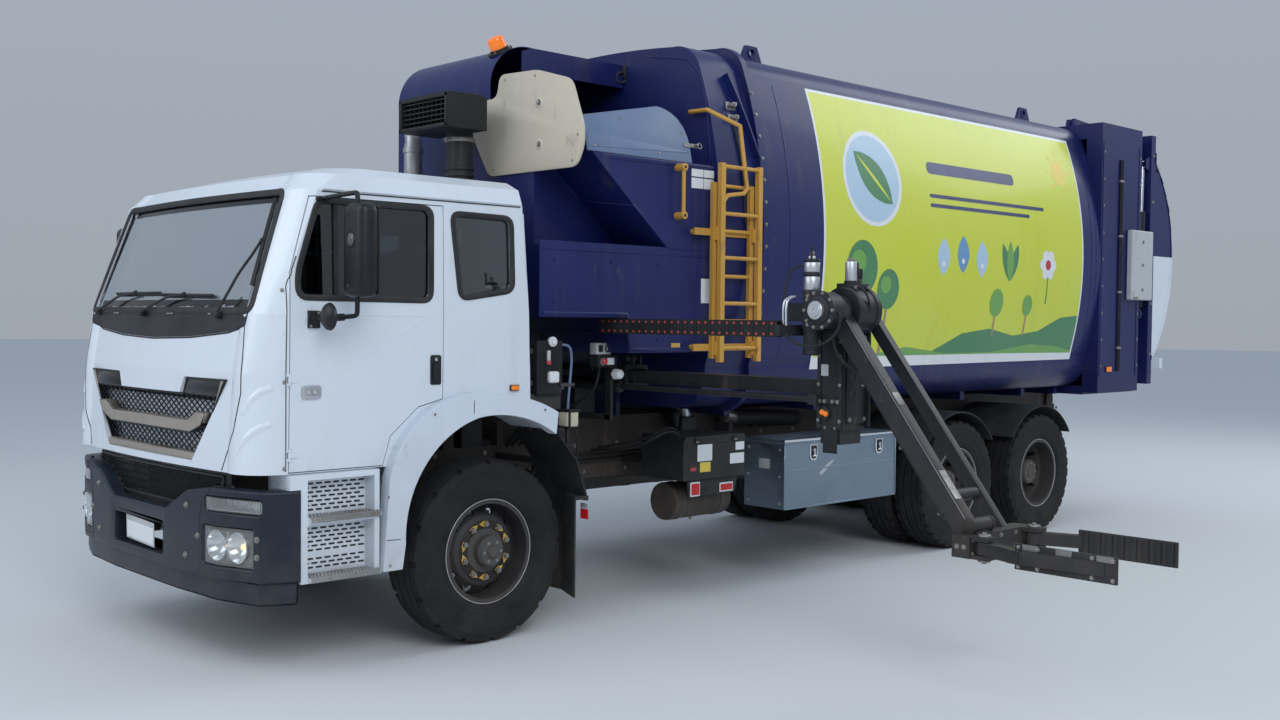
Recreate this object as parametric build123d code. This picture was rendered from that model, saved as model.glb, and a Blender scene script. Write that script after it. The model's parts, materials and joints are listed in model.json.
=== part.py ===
from build123d import *
import math
import os

# Side-loading garbage truck, full size, in millimetres.
# Build frame: x forwards from the front axle, y to the truck's left, z up from the ground.
# Every node is moved at the end so that the origin is under the middle of the whole object.

# Ground, wheels and axles
TYRE_R = 522
TYRE_W = 295
RIM_R = 286
RIM_FLANGE_R = 300
RIM_WALL = 14
HUB_Z = TYRE_R
FRONT_WHEEL_Y = 1050
REAR_OUTER_Y = 1070
TWIN_SPACING = 340
REAR_AXLES_X = {"mid": -4750, "rear": -6050}
DISC_FACE = 75
HAND_HOLES = 10
STUB_R = 45
REAR_STUB_R = 60
KINGPIN_Y = 800
KINGPIN_R = 24
STEER_ARM = 190
TRACK_ROD_Z = 400
FIT = 0.05
SEAT = 0.3
CLEAR = 8

# Springs on the axles
FRONT_SPRING_Z = 520 + SEAT
REAR_SPRING_Z = HUB_Z + 110 + SEAT
FRONT_SPRING_HALF = 800
REAR_SPRING_HALF = 600
FRONT_LEAF_RISE = 150
REAR_LEAF_RISE = 40
LEAVES = 4
LEAF_T = 16

# Chassis
RAIL_Y = 430
RAIL_H = 270
RAIL_FLANGE = 85
RAIL_T = 10
RAIL_TOP = 1030
RAIL_FRONT = 1290
RAIL_REAR = -7700
GEARBOX_END = -1100
CROSS_XS = (1180, -1250, -2600, -3900, -6000, -6700, -7640)

# Tipping body
SILL_H = 150
SILL_W = 80
SILL_FRONT = -620
FLOOR_Z = RAIL_TOP + SEAT + SILL_H
TIP_X = -7560
TIP_Z = 1100
TIP_PIN_R = 30
TIP_EAR_R = 60
BARREL_FRONT = -1810
BARREL_REAR = -7000
PLATE = 8
SIDE_Y = 1250
SIDE_MID_Z = 2500
TOP_Z = 3740
HOPPER_Y = 1200
LUG_Z = 3800
LUG_R = 25
HOPPER_FRONT = -640
HOPPER_TOP = 2860
LEDGE_Z = 2310
HOPPER_BOTTOM = 1640
HOPPER_STEP_X = -1050
RECESS_Y = 760
HOPPER_STEP_Z = 1860
SHIELD_X = HOPPER_FRONT + SEAT

# Tailgate, its cylinders and the tipping hoist
GATE_X = -7380
GATE_Z = 3790
GATE_PIN_R = 22
GATE_FACE = -7995
GATE_EYE = (-7945, 3420)
GATE_FOOT = (-7900, 1950)
GATE_CYL_Y = 1185
HOIST_FOOT = (-5900, 880)
HOIST_TOP = (-4500, 1110)
HOIST_Y = 230
HOIST_PIN_R = 30

# Cab
CAB_REAR = -300
CAB_HALF = 1170
CAB_WALL = 45
CAB_FLOOR_Z = 1345
CAB_ROOM_Z = 1400
SILL_Z = 1055
ROOF_Z = 2640
GUTTER_Z = 2500
SCREEN_Z = 1860
DOOR_GAP = 5
DOOR_HINGE = (1250, CAB_HALF + 4)
HINGE_ZS = (1120, 1500)
HINGE_H = 60
HINGE_R = 8
HINGE_PIN_R = 4
WINDOW_CORNER = 45
FLARE_Y = 1240

# Front
BUMPER_FRONT = 1535
BUMPER_LINE = ((1210, 1225), (1395, 1150), (1500, 860), (BUMPER_FRONT, 400))
BUMPER_BACK = ((1210, 1130), (1320, 1080), (1412, 820), (1450, 400))
BUMPER_LOW = 510
BUMPER_TOP = 975
BUMPER_DIP = ((820, 990), (820, 975), (580, 942), (340, 820))
GRILLE_HOLE = ((560, 1090), (870, 1525), (430, 1525), (385, 1440))
MESH_TOP = 1430
MESH_W = 64
MESH_H = 36
MESH_BAR = 9

# Side lifter
SLIDE_X = -1362
BEAM_Z = 1480
BEAM_W = 150
BEAM_H = 80
BEAM_INNER_Y = 500
SLIDE_MOUTH_Y = 950
MAST_Y = 2610
MAST_W = 180
MAST_L = 200
MAST_BOTTOM = 1250
SLIDE_ROD = (-1240, 1415)
SLIDE_ROD_R = 18
PIVOT_Y = 2680
PIVOT_Z = 1910
ARM_ANGLE = 37.5
ARM_LENGTH = 1462
ARM_SHAFT_R = 40
FRONT_BAR = (-1250, -1180)
BACK_BAR = (-1525, -1475)
GRIP_HALF = 300
JAW_PIN_R = 22
JAW_PIN_X = 235
HEAD_Y = PIVOT_Y + ARM_LENGTH * math.sin(math.radians(ARM_ANGLE))
HEAD_Z = PIVOT_Z - ARM_LENGTH * math.cos(math.radians(ARM_ANGLE))
JAW_PIN_Y = HEAD_Y + 110
HOSE_CLIPS = (430, 830, 1230)
HOSE_R = 9
CHAIN_X = -970
CHAIN_Z = 1800


# Helpers
def block(x0, x1, y0, y1, z0, z1):
    """Box between two corners."""
    size = Box(abs(x1 - x0), abs(y1 - y0), abs(z1 - z0))
    return Pos((x0 + x1) / 2, (y0 + y1) / 2, (z0 + z1) / 2) * size


def rod(start, end, radius):
    """Round bar from one point to another."""
    a, b = Vector(*start), Vector(*end)
    plane = Plane(origin=a, z_dir=(b - a))
    return extrude(plane * Circle(radius), amount=(b - a).length)


def side_plate(points, y0, y1):
    """Outline in x and z, from y0 to y1."""
    face = make_face(Polyline(*[(x, z) for x, z in points], close=True))
    return extrude(Plane(origin=(0, y0, 0), x_dir=(1, 0, 0), z_dir=(0, -1, 0)) * face, amount=-(y1 - y0))


def cross_plate(points, x0, x1):
    """Outline in y and z, from x0 to x1."""
    face = make_face(Polyline(*[(y, z) for y, z in points], close=True))
    return extrude(Plane(origin=(x0, 0, 0), x_dir=(0, 1, 0), z_dir=(1, 0, 0)) * face, amount=x1 - x0)


def plan_plate(points, z0, z1):
    """Outline in x and y, from z0 to z1."""
    face = make_face(Polyline(*points, close=True))
    return extrude(Plane(origin=(0, 0, z0)) * face, amount=z1 - z0)


def bar_between(start, end, width, height):
    """Square bar in the y-z plane, width along x."""
    a, b = Vector(*start), Vector(*end)
    plane = Plane(origin=a, x_dir=(1, 0, 0), z_dir=(b - a))
    return extrude(plane * Rectangle(width, height), amount=(b - a).length)


def mirrored(line):
    """Line of places in x and y (or y and z) carried over the centreline, from left to right."""
    return list(line) + [(x, -y) for x, y in reversed(line)]


def across(line):
    """Outline in y and z, given for the left half."""
    return list(line) + [(-y, z) for y, z in reversed(line)]


def side_block(x0, x1, y0, y1, z0, z1, side):
    """Box on one side of the centreline: side is 1 or -1, y is the distance outwards."""
    return block(x0, x1, side * y0, side * y1, z0, z1)


NODES = {}


def node(name, *pieces):
    """Store one node: its solids, each its own."""
    solids = []
    for piece in pieces:
        if isinstance(piece, (list, tuple)):
            for inner in piece:
                solids.extend(inner.solids())
        else:
            solids.extend(piece.solids())
    NODES[name] = solids


# Wheels
def wheel_axis(x, y, z=HUB_Z):
    """Plane whose z runs outwards along the wheel's axle, on the left side."""
    return Plane(origin=(x, y, z), x_dir=(1, 0, 0), z_dir=(0, 1, 0))


def turned(points, x, y, z=HUB_Z):
    """Ring or disc turned about the wheel's axle: points are radius and distance outwards."""
    profile = make_face(Polyline(*points, close=True))
    body = revolve(Plane.XZ * profile, axis=Axis.Z)
    return wheel_axis(x, y, z).location * body


def tyre(x, y):
    """Tyre with rounded shoulders, a hole for the rim's barrel."""
    half = TYRE_W / 2
    bead = RIM_FLANGE_R + SEAT
    outer_half = [
        (TYRE_R, half - 55), (TYRE_R - 18, half - 22), (TYRE_R - 60, half - 4), (RIM_R + 90, half),
        (bead, half - 20), (bead, half - 33), (RIM_R + SEAT, half - 37),
    ]
    inner_half = [(radius, -distance) for radius, distance in reversed(outer_half)]
    return turned(inner_half + outer_half, x, y)


def rim_barrel(x, y):
    """Rolled rim seen inside the tyre, flanges at both lips."""
    half = TYRE_W / 2 - 24
    points = [
        (RIM_R - RIM_WALL, -half), (RIM_FLANGE_R, -half), (RIM_FLANGE_R, -half + 8), (RIM_R, -half + 12),
        (RIM_R, half - 12), (RIM_FLANGE_R, half - 8), (RIM_FLANGE_R, half), (RIM_R - RIM_WALL, half),
    ]
    return turned(points, x, y)


def wheel_disc(x, y, face):
    """Convex disc with hand holes near the rim; face is where the hub seats, outwards of the tyre's middle."""
    joint_r = RIM_R - RIM_WALL + 2
    points = [
        (85, face), (175, face), (200, face - 12), (RIM_R - 20, face - 85), (joint_r, face - 85),
        (joint_r, face - 99), (RIM_R - 26, face - 99), (192, face - 26), (170, face - 14), (85, face - 14),
    ]
    disc = turned(points, x, y)
    plane = wheel_axis(x, y)
    for i in range(HAND_HOLES):
        angle = math.radians(360 / HAND_HOLES * i)
        hole = Pos(234 * math.cos(angle), 234 * math.sin(angle), 0) * Cylinder(24, 400)
        disc -= plane.location * hole
    return disc


def hub(x, y, face, length):
    """Hub through the disc, from its inboard end out to the cap."""
    points = [(0, face - length), (150, face - length), (150, face - 12), (86, face - 12), (86, face + 60),
              (74, face + 78), (0, face + 78)]
    return turned(points, x, y)


def build_wheels():
    """Front wheels with convex discs outwards, rear twins with the outer disc dished."""
    for side in ("left", "right"):
        sign = 1 if side == "left" else -1

        def put(piece):
            return piece if sign > 0 else mirror(piece, about=Plane.XZ)

        node(f"tyre_front_{side}", put(tyre(0, FRONT_WHEEL_Y)))
        rim = rim_barrel(0, FRONT_WHEEL_Y) + wheel_disc(0, FRONT_WHEEL_Y, DISC_FACE)
        rim += hub(0, FRONT_WHEEL_Y, DISC_FACE, 190)
        bore = rod((0, FRONT_WHEEL_Y - 200, HUB_Z), (0, FRONT_WHEEL_Y + 20, HUB_Z), STUB_R + FIT)
        node(f"rim_front_{side}", put(rim - bore))
        for axle, x in REAR_AXLES_X.items():
            inner_y = REAR_OUTER_Y - TWIN_SPACING
            node(f"tyres_{axle}_{side}", put(tyre(x, REAR_OUTER_Y)), put(tyre(x, inner_y)))
            rims = rim_barrel(x, REAR_OUTER_Y) + rim_barrel(x, inner_y)
            rims += reverse_disc(x, REAR_OUTER_Y, 1)
            rims += reverse_disc(x, inner_y, -1)
            middle = (REAR_OUTER_Y + inner_y) / 2
            drum = [(0, -210), (170, -210), (170, -20), (150, 20), (110, 24), (110, 195), (95, 215), (0, 215)]
            rims += turned(drum, x, middle)
            bore = rod((x, middle - 230, HUB_Z), (x, middle + 30, HUB_Z), REAR_STUB_R + FIT)
            node(f"rims_{axle}_{side}", put(rims - bore))


def reverse_disc(x, y, way):
    """Disc of a twin wheel, dished away from its twin."""
    offset = TWIN_SPACING / 2
    seat = -way * offset
    lip = way * 40
    joint_r = RIM_R - RIM_WALL + 2
    points = [
        (100, seat), (180, seat), (RIM_R - 20, lip - way * 60), (joint_r, lip - way * 60),
        (joint_r, lip - way * 46), (RIM_R - 26, lip - way * 46), (188, seat + way * 14), (100, seat + way * 14),
    ]
    disc = turned(points, x, y)
    plane = wheel_axis(x, y)
    for i in range(HAND_HOLES):
        angle = math.radians(360 / HAND_HOLES * i)
        hole = Pos(232 * math.cos(angle), 232 * math.sin(angle), lip - way * 80) * Cylinder(22, 120)
        disc -= plane.location * hole
    return disc


def build_axles():
    """Front beam with kingpin eyes, two drive axle housings, knuckles and the track rod."""
    beam = block(-50, 50, -KINGPIN_Y + 75, KINGPIN_Y - 75, 400, 480)
    for s in (1, -1):
        eye = Pos(0, s * KINGPIN_Y, HUB_Z) * Cylinder(52, 150)
        inner_y, outer_y = s * (KINGPIN_Y - 110), s * (KINGPIN_Y - 30)
        arm = cross_plate([(inner_y, 400), (outer_y, 460), (outer_y, 590), (inner_y, 480)], -45, 45)
        beam += eye + arm
        beam -= Pos(0, s * KINGPIN_Y, HUB_Z) * Cylinder(KINGPIN_R + FIT, 170)
        beam += block(-70, 70, s * 360, s * 460, 470, 520)
    housings = [beam]
    for x in REAR_AXLES_X.values():
        middle = REAR_OUTER_Y - TWIN_SPACING / 2
        tube = rod((x, 220 - middle, HUB_Z), (x, middle - 220, HUB_Z), 75)
        tube += rod((x, -middle - 20, HUB_Z), (x, middle + 20, HUB_Z), REAR_STUB_R)
        tube += Pos(x, 0, HUB_Z) * Sphere(200)
        tube += rod((x, 0, HUB_Z), (x + 300, 0, HUB_Z + 30), 90)
        for s in (1, -1):
            tube += block(x - 70, x + 70, s * 390, s * 470, HUB_Z + 40, HUB_Z + 110)
        housings.append(tube)
    mid_x, rear_x = REAR_AXLES_X["mid"], REAR_AXLES_X["rear"]
    shaft = rod((rear_x + 301, 0, HUB_Z + 30), (mid_x - 205, 0, HUB_Z + 20), 45)
    front_shaft = rod((mid_x + 301, 0, HUB_Z + 30), (GEARBOX_END - 15, 0, 735), 50)
    front_shaft += rod((GEARBOX_END - 40, 0, 735), (GEARBOX_END - SEAT, 0, 735), 60)
    node("axles", housings, shaft, front_shaft)

    for side, sign in (("left", 1), ("right", -1)):
        y = sign * KINGPIN_Y
        yoke = block(-48, 48, y + sign * 60, y + sign * 115, HUB_Z - 120, HUB_Z + 120)
        for z in (HUB_Z - 120, HUB_Z + 82):
            yoke += Pos(0, y, z + 19) * Cylinder(52, 38)
            yoke += block(-48, 48, y, y + sign * 100, z, z + 38)
        yoke += rod((0, y, HUB_Z - 120), (0, y, HUB_Z + 120), KINGPIN_R)
        yoke += rod((0, y + sign * 100, HUB_Z), (0, sign * (FRONT_WHEEL_Y + 15), HUB_Z), STUB_R)
        arm_z = TRACK_ROD_Z + 2
        steer = block(-STEER_ARM - 30, -20, y + sign * 20, y + sign * 55, arm_z, HUB_Z - 82)
        steer += block(-STEER_ARM - 30, -STEER_ARM + 30, y - sign * 30, y + sign * 55, arm_z, arm_z + 30)
        steer += rod((-STEER_ARM, y, TRACK_ROD_Z - 18), (-STEER_ARM, y, TRACK_ROD_Z + 32), 14)
        node(f"knuckle_{side}", yoke + steer)
    track = rod((-STEER_ARM, -KINGPIN_Y + 30, TRACK_ROD_Z - 20), (-STEER_ARM, KINGPIN_Y - 30, TRACK_ROD_Z - 20), 18)
    for s in (1, -1):
        track += Pos(-STEER_ARM, s * KINGPIN_Y, TRACK_ROD_Z - 20) * Cylinder(32, 36)
    track -= Pos(-STEER_ARM, KINGPIN_Y, TRACK_ROD_Z - 20) * Cylinder(14 + FIT, 50)
    track -= Pos(-STEER_ARM, -KINGPIN_Y, TRACK_ROD_Z - 20) * Cylinder(14 + 6, 50)
    node("track_rod", track)


def leaf_top(seat_z, rise):
    """Height of the main leaf's ends."""
    return seat_z + LEAF_T * LEAVES + rise


def leaf_spring(x, y, seat_z, half, rise):
    """Stack of leaves bent up at the ends, with its clamp on the axle."""
    pack = None
    for i in range(LEAVES):
        reach = half * (1 - 0.16 * i)
        low = seat_z + LEAF_T * (LEAVES - 1 - i)
        lift = rise * (reach / half) ** 2
        under = [(x - reach, low + lift), (x, low), (x + reach, low + lift)]
        over = [(px, pz + LEAF_T) for px, pz in reversed(under)]
        leaf = side_plate(under + over, y - 40, y + 40)
        pack = leaf if pack is None else pack + leaf
    clamp = block(x - 60, x + 60, y - 48, y + 48, seat_z + SEAT, seat_z + LEAF_T * LEAVES + 22)
    return pack + clamp


def build_springs():
    """Leaf springs front and rear, hangers on the chassis rails."""
    packs = []
    for s in (1, -1):
        packs.append(leaf_spring(0, s * 410, FRONT_SPRING_Z, FRONT_SPRING_HALF, FRONT_LEAF_RISE))
        for x in REAR_AXLES_X.values():
            packs.append(leaf_spring(x, s * 430, REAR_SPRING_Z, REAR_SPRING_HALF, REAR_LEAF_RISE))
    node("springs", packs)


def build_chassis():
    """Two channel rails, crossmembers, spring hangers, tow pin bracket and rear tip hinge ears."""
    rails = None
    for s in (1, -1):
        web = block(RAIL_REAR, RAIL_FRONT, s * (RAIL_Y - RAIL_T), s * RAIL_Y, RAIL_TOP - RAIL_H, RAIL_TOP)
        for z in (RAIL_TOP - RAIL_H, RAIL_TOP - RAIL_T):
            web += block(RAIL_REAR, RAIL_FRONT, s * (RAIL_Y - RAIL_FLANGE), s * RAIL_Y, z, z + RAIL_T)
        rails = web if rails is None else rails + web
    for x in CROSS_XS:
        rails += block(x - 40, x + 40, -RAIL_Y + RAIL_T, RAIL_Y - RAIL_T, RAIL_TOP - 230, RAIL_TOP - 60)
    under_rail = RAIL_TOP - RAIL_H + 5
    foot_x, foot_z = HOIST_FOOT
    for s in (1, -1):
        hanger_z = leaf_top(FRONT_SPRING_Z, FRONT_LEAF_RISE) + SEAT
        for x in (FRONT_SPRING_HALF, -FRONT_SPRING_HALF):
            rails += block(x - 45, x + 45, s * 370, s * RAIL_Y, hanger_z, under_rail)
        hanger_z = leaf_top(REAR_SPRING_Z, REAR_LEAF_RISE) + SEAT
        for axle in REAR_AXLES_X.values():
            for x in (axle + REAR_SPRING_HALF, axle - REAR_SPRING_HALF):
                rails += block(x - 40, x + 40, s * (RAIL_Y - 60), s * RAIL_Y, hanger_z, under_rail)
        for dy in (-50, 38):
            y = s * HOIST_Y + dy
            rails += block(CROSS_XS[4] + 30, foot_x + 35, y, y + 12, foot_z - 40, foot_z + 40)
        rails += rod((foot_x, s * HOIST_Y - 50, foot_z), (foot_x, s * HOIST_Y + 50, foot_z), HOIST_PIN_R)
        ear_x0, ear_x1 = TIP_X - TIP_EAR_R, TIP_X + TIP_EAR_R
        ear = rod((TIP_X, s * (RAIL_Y + 8), TIP_Z), (TIP_X, s * (RAIL_Y + 28), TIP_Z), TIP_EAR_R)
        ear += block(ear_x0, ear_x1, s * (RAIL_Y + 8), s * (RAIL_Y + 28), RAIL_TOP - 120, TIP_Z)
        ear += block(ear_x0, ear_x1, s * (RAIL_Y - 5), s * (RAIL_Y + 28), RAIL_TOP - 120, RAIL_TOP - 60)
        ear -= rod((TIP_X, s * 380, TIP_Z), (TIP_X, s * 480, TIP_Z), TIP_PIN_R + FIT)
        rails += ear
        rails += block(1165, 1260, s * 345, s * RAIL_Y, RAIL_TOP - 2, SILL_Z - SEAT)
        rails += block(-280, -200, s * 375, s * RAIL_Y, RAIL_TOP - 2, CAB_FLOOR_Z - SEAT)
    node("chassis_frame", rails)


def build_underbody():
    """Engine, boxes and tanks hung on the chassis rails."""
    engine = block(-250, 1080, -330, 330, 640, 1290)
    gearbox = block(GEARBOX_END, -250, -230, 230, 660, 1000)
    power = engine + gearbox
    for s in (1, -1):
        mount_y = s * (RAIL_Y - RAIL_T - SEAT)
        power += block(400, 500, s * 325, mount_y, 850, 910) + block(-900, -820, s * 225, mount_y, 850, 910)
    node("engine", power)

    battery = block(-2140, -1545, 800, HOPPER_Y, 800, 1040)
    lid = side_plate([(-2150, 1040), (-1535, 1040), (-1560, 1085), (-2125, 1085)], 795, HOPPER_Y + 5)
    hanger = block(-2000, -1700, RAIL_Y, 800, 860, 900)
    node("battery_box", battery + lid + hanger)

    tool = block(-3860, -2540, 840, 1215, 520, 1000)
    tool += block(-3870, -2530, 835, 1225, 985, 1012)
    hanger = block(-3700, -2700, RAIL_Y, 840, 860, 900)
    node("tool_box", tool + hanger)

    tanks = []
    for x0, x1, y, z, r in ((-2130, -1600, 960, 640, 125), (-3400, -2300, -860, 760, 300)):
        tanks.append(rod((x0, y, z), (x1, y, z), r))
    straps = block(-1900, -1860, 940, 980, 700, 800)
    fuel_hangers = [block(x, x + 60, -560, -RAIL_Y, 740, 800) for x in (-3200, -2600)]
    node("tanks", tanks[0] + straps, tanks[1] + fuel_hangers[0] + fuel_hangers[1])


# Cab
def cab_section(z, nose, corner_x, half, inset=0):
    """Plan outline of the cab at one height: rear, sides, corner arcs and a bowed front."""
    rear = CAB_REAR + 60 * max(0.0, (z - 1400) / 1100) + inset
    nose, corner_x, half = nose - inset, corner_x - 0.6 * inset, half - inset
    turn_y = half - 260
    turn_x = nose - 45
    bend = (corner_x + 0.72 * (turn_x - corner_x), turn_y + 0.72 * (half - turn_y) + 12)
    lines = [
        Line((rear, half, z), (corner_x, half, z)),
        ThreePointArc((corner_x, half, z), (bend[0], bend[1], z), (turn_x, turn_y, z)),
        ThreePointArc((turn_x, turn_y, z), (nose, 0, z), (turn_x, -turn_y, z)),
        ThreePointArc((turn_x, -turn_y, z), (bend[0], -bend[1], z), (corner_x, -half, z)),
        Line((corner_x, -half, z), (rear, -half, z)),
        Line((rear, -half, z), (rear, half, z)),
    ]
    return make_face(Wire(lines))


# Sections: height, nose x, where the corner starts, half width
CAB_SECTIONS = (
    (SILL_Z, 1500, 1282, CAB_HALF),
    (1560, 1470, 1278, CAB_HALF),
    (SCREEN_Z, 1425, 1268, CAB_HALF),
    (2080, 1348, 1236, CAB_HALF - 6),
    (GUTTER_Z, 1200, 1080, CAB_HALF - 20),
    (2590, 1120, 950, CAB_HALF - 50),
    (ROOF_Z, 940, 740, CAB_HALF - 160),
)


def cab_form(inset):
    """Loft through the cab's sections, each drawn in by the inset."""
    faces = [cab_section(z, nose, corner, half, inset) for z, nose, corner, half in CAB_SECTIONS]
    return loft(faces, ruled=True)


def cab_inside(inset):
    """Room inside the cab: the drawn-in form, cut off at the floor and under the roof."""
    room = cab_form(inset) & block(-2000, 2000, -1500, 1500, CAB_ROOM_Z, ROOF_Z - inset * 0.6)
    return room


DOOR_OUTLINE = (
    (1256, SILL_Z + 4), (703, SILL_Z + 4), (655, 1215), (480, 1362), (320, 1400), (310, 2465), (1121, 2465),
    (1246, 2070),
)
WINDOW_OUTLINE = ((1192, 1955), (408, 1951), (398, 2435), (1078, 2435), (1194, 2070))
QUARTER_OUTLINE = ((195, 1966), (-155, 2019), (-151, 2414), (246, 2418))


def panel_face(points, corner=0, gap=0):
    """Outline with rounded corners, drawn in by a gap."""
    face = make_face(Polyline(*points, close=True))
    if corner:
        face = fillet(face.vertices(), corner)
    if gap:
        face = offset(face, amount=-gap)
    return face


def side_prism(face_or_points, y0, y1):
    """Outline in x and z as a solid from y0 to y1."""
    face = face_or_points
    if isinstance(face_or_points, tuple):
        face = make_face(Polyline(*face_or_points, close=True))
    return extrude(Plane(origin=(0, y0, 0), x_dir=(1, 0, 0), z_dir=(0, -1, 0)) * face, amount=-(y1 - y0))


def hinge(side, low):
    """Door hinge: the door's knuckle with its leaf, the shell's ears with the pin, room for both."""
    x, y = DOOR_HINGE[0], side * DOOR_HINGE[1]
    inner_y, outer_y = side * (CAB_HALF - 3), side * (CAB_HALF + 6)
    ear_h = HINGE_H / 4
    relief = rod((x, y, low - 1), (x, y, low + HINGE_H + 1), HINGE_R + DOOR_GAP)
    notch = rod((x, y, low + ear_h), (x, y, low + 3 * ear_h), HINGE_R + DOOR_GAP)
    knuckle = rod((x, y, low + ear_h + 1), (x, y, low + 3 * ear_h - 1), HINGE_R)
    knuckle += block(x - 45, x, inner_y, outer_y, low + ear_h + 1, low + 3 * ear_h - 1)
    knuckle -= rod((x, y, low), (x, y, low + HINGE_H), HINGE_PIN_R + FIT)
    ears = rod((x, y, low), (x, y, low + HINGE_H), HINGE_PIN_R)
    for z in (low, low + 3 * ear_h):
        ears += rod((x, y, z), (x, y, z + ear_h), HINGE_R)
        ears += block(x, x + 18, side * (CAB_HALF - 8), outer_y, z, z + ear_h)
    return knuckle, ears, relief, notch


def build_cab():
    """Cab shell, doors, glass and what stands inside."""
    outer = cab_form(0)
    room = cab_inside(CAB_WALL)
    footwell = block(720, 1340, -CAB_HALF, CAB_HALF, SILL_Z + 30, CAB_ROOM_Z + 1) & cab_form(CAB_WALL)
    shell = outer - room - footwell
    skin_y = CAB_HALF - CAB_WALL
    tunnel = block(-400, 1150, -370, 370, SILL_Z - 10, CAB_FLOOR_Z)
    inner_arches = block(-400, 700, -skin_y, skin_y, SILL_Z - 10, CAB_FLOOR_Z)
    arch_cut = make_face(Wire([
        Line((688, 762), (688, 400)), Line((688, 400), (-500, 400)),
        Line((-500, 400), (-500, 1205)), ThreePointArc((-500, 1205), (-200, 1320), (119, 1340)),
        ThreePointArc((119, 1340), (544, 1146), (688, 762)),
    ]))
    shell = shell - tunnel - inner_arches - side_prism(arch_cut, -1400, 1400)
    wall = outer - cab_form(CAB_WALL)
    behind_door = cab_form(CAB_WALL + CLEAR)
    pane = cab_form(14) - cab_form(19)
    door_face = panel_face(DOOR_OUTLINE, 0, DOOR_GAP)
    window_face = panel_face(WINDOW_OUTLINE, WINDOW_CORNER)
    window_glass = panel_face(WINDOW_OUTLINE, WINDOW_CORNER, SEAT)
    quarter_face = panel_face(QUARTER_OUTLINE, WINDOW_CORNER)
    quarter_glass = panel_face(QUARTER_OUTLINE, WINDOW_CORNER, SEAT)
    side_spans = {1: (1000, 1300), -1: (-1300, -1000)}

    for side, sign in (("left", 1), ("right", -1)):
        y0, y1 = side_spans[sign]
        shell -= side_prism(DOOR_OUTLINE, y0, y1) - behind_door
        shell -= side_prism(quarter_face, y0, y1)
        door = wall & side_prism(door_face, y0, y1)
        door -= side_prism(window_face, y0, y1)
        for z in HINGE_ZS:
            knuckle, ears, relief, notch = hinge(sign, z)
            door = door - relief + knuckle
            shell = shell - notch + ears
        node(f"door_{side}", door)
        node(f"door_glass_{side}", pane & side_prism(window_glass, y0, y1))

    top_z, low_z = GUTTER_Z - 15, SCREEN_Z + 25
    shell -= cross_plate([(-1010, low_z), (1010, low_z), (955, top_z), (-955, top_z)], 850, 1600)
    shell -= block(-400, -150, -600, 600, 1960, 2380)
    shell -= cross_plate(across(GRILLE_HOLE), 1380, 1560)
    node("cab_shell", shell)

    low, high, top, bottom = 955 - SEAT, 1010 - SEAT, top_z - SEAT, low_z + SEAT
    panes = [pane & cross_plate([(-high, bottom), (high, bottom), (low, top), (-low, top)], 850, 1600)]
    for y0, y1 in side_spans.values():
        panes.append(pane & side_prism(quarter_glass, y0, y1))
    panes.append(pane & block(-400, -150, -600 + SEAT, 600 - SEAT, 1960 + SEAT, 2380 - SEAT))
    node("cab_glass", panes)

    dash = block(1010, 1500, -1080, 1080, 1530, 1840) & cab_form(CAB_WALL + SEAT)
    column = rod((1020, 560, 1700), (840, 560, 1890), 28)
    wheel_plane = Plane(origin=(835, 560, 1895), z_dir=(-180, 0, 190))
    wheel = wheel_plane.location * Torus(215, 16)
    spoke = wheel_plane.location * (Box(420, 30, 14) + Cylinder(45, 30))
    seats = []
    for y in (560, -560):
        seats.append(block(120, 640, y - 250, y + 250, CAB_ROOM_Z + SEAT, 1800))
        seats.append(block(20, 160, y - 240, y + 240, 1800 + SEAT, 2400))
    node("cab_interior", dash + column + wheel + spoke, seats)


def mesh_layer(outline, x0, x1, way):
    """Parallel slanted bars of the grille's diamond mesh, cut off at the outline."""
    low, high = min(z for y, z in outline) - 10, max(z for y, z in outline) + 10
    reach = max(y for y, z in outline)
    run = way * (high - low) * MESH_W / MESH_H
    frame = cross_plate(outline, x0, x1)
    bars = []
    for i in range(int((2 * reach + abs(run)) / MESH_W) + 1):
        y = -reach - max(0.0, run) + i * MESH_W
        bar = cross_plate([(y, low), (y + MESH_BAR, low), (y + MESH_BAR + run, high), (y + run, high)], x0, x1)
        bars.extend((bar & frame).solids())
    return bars


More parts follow.
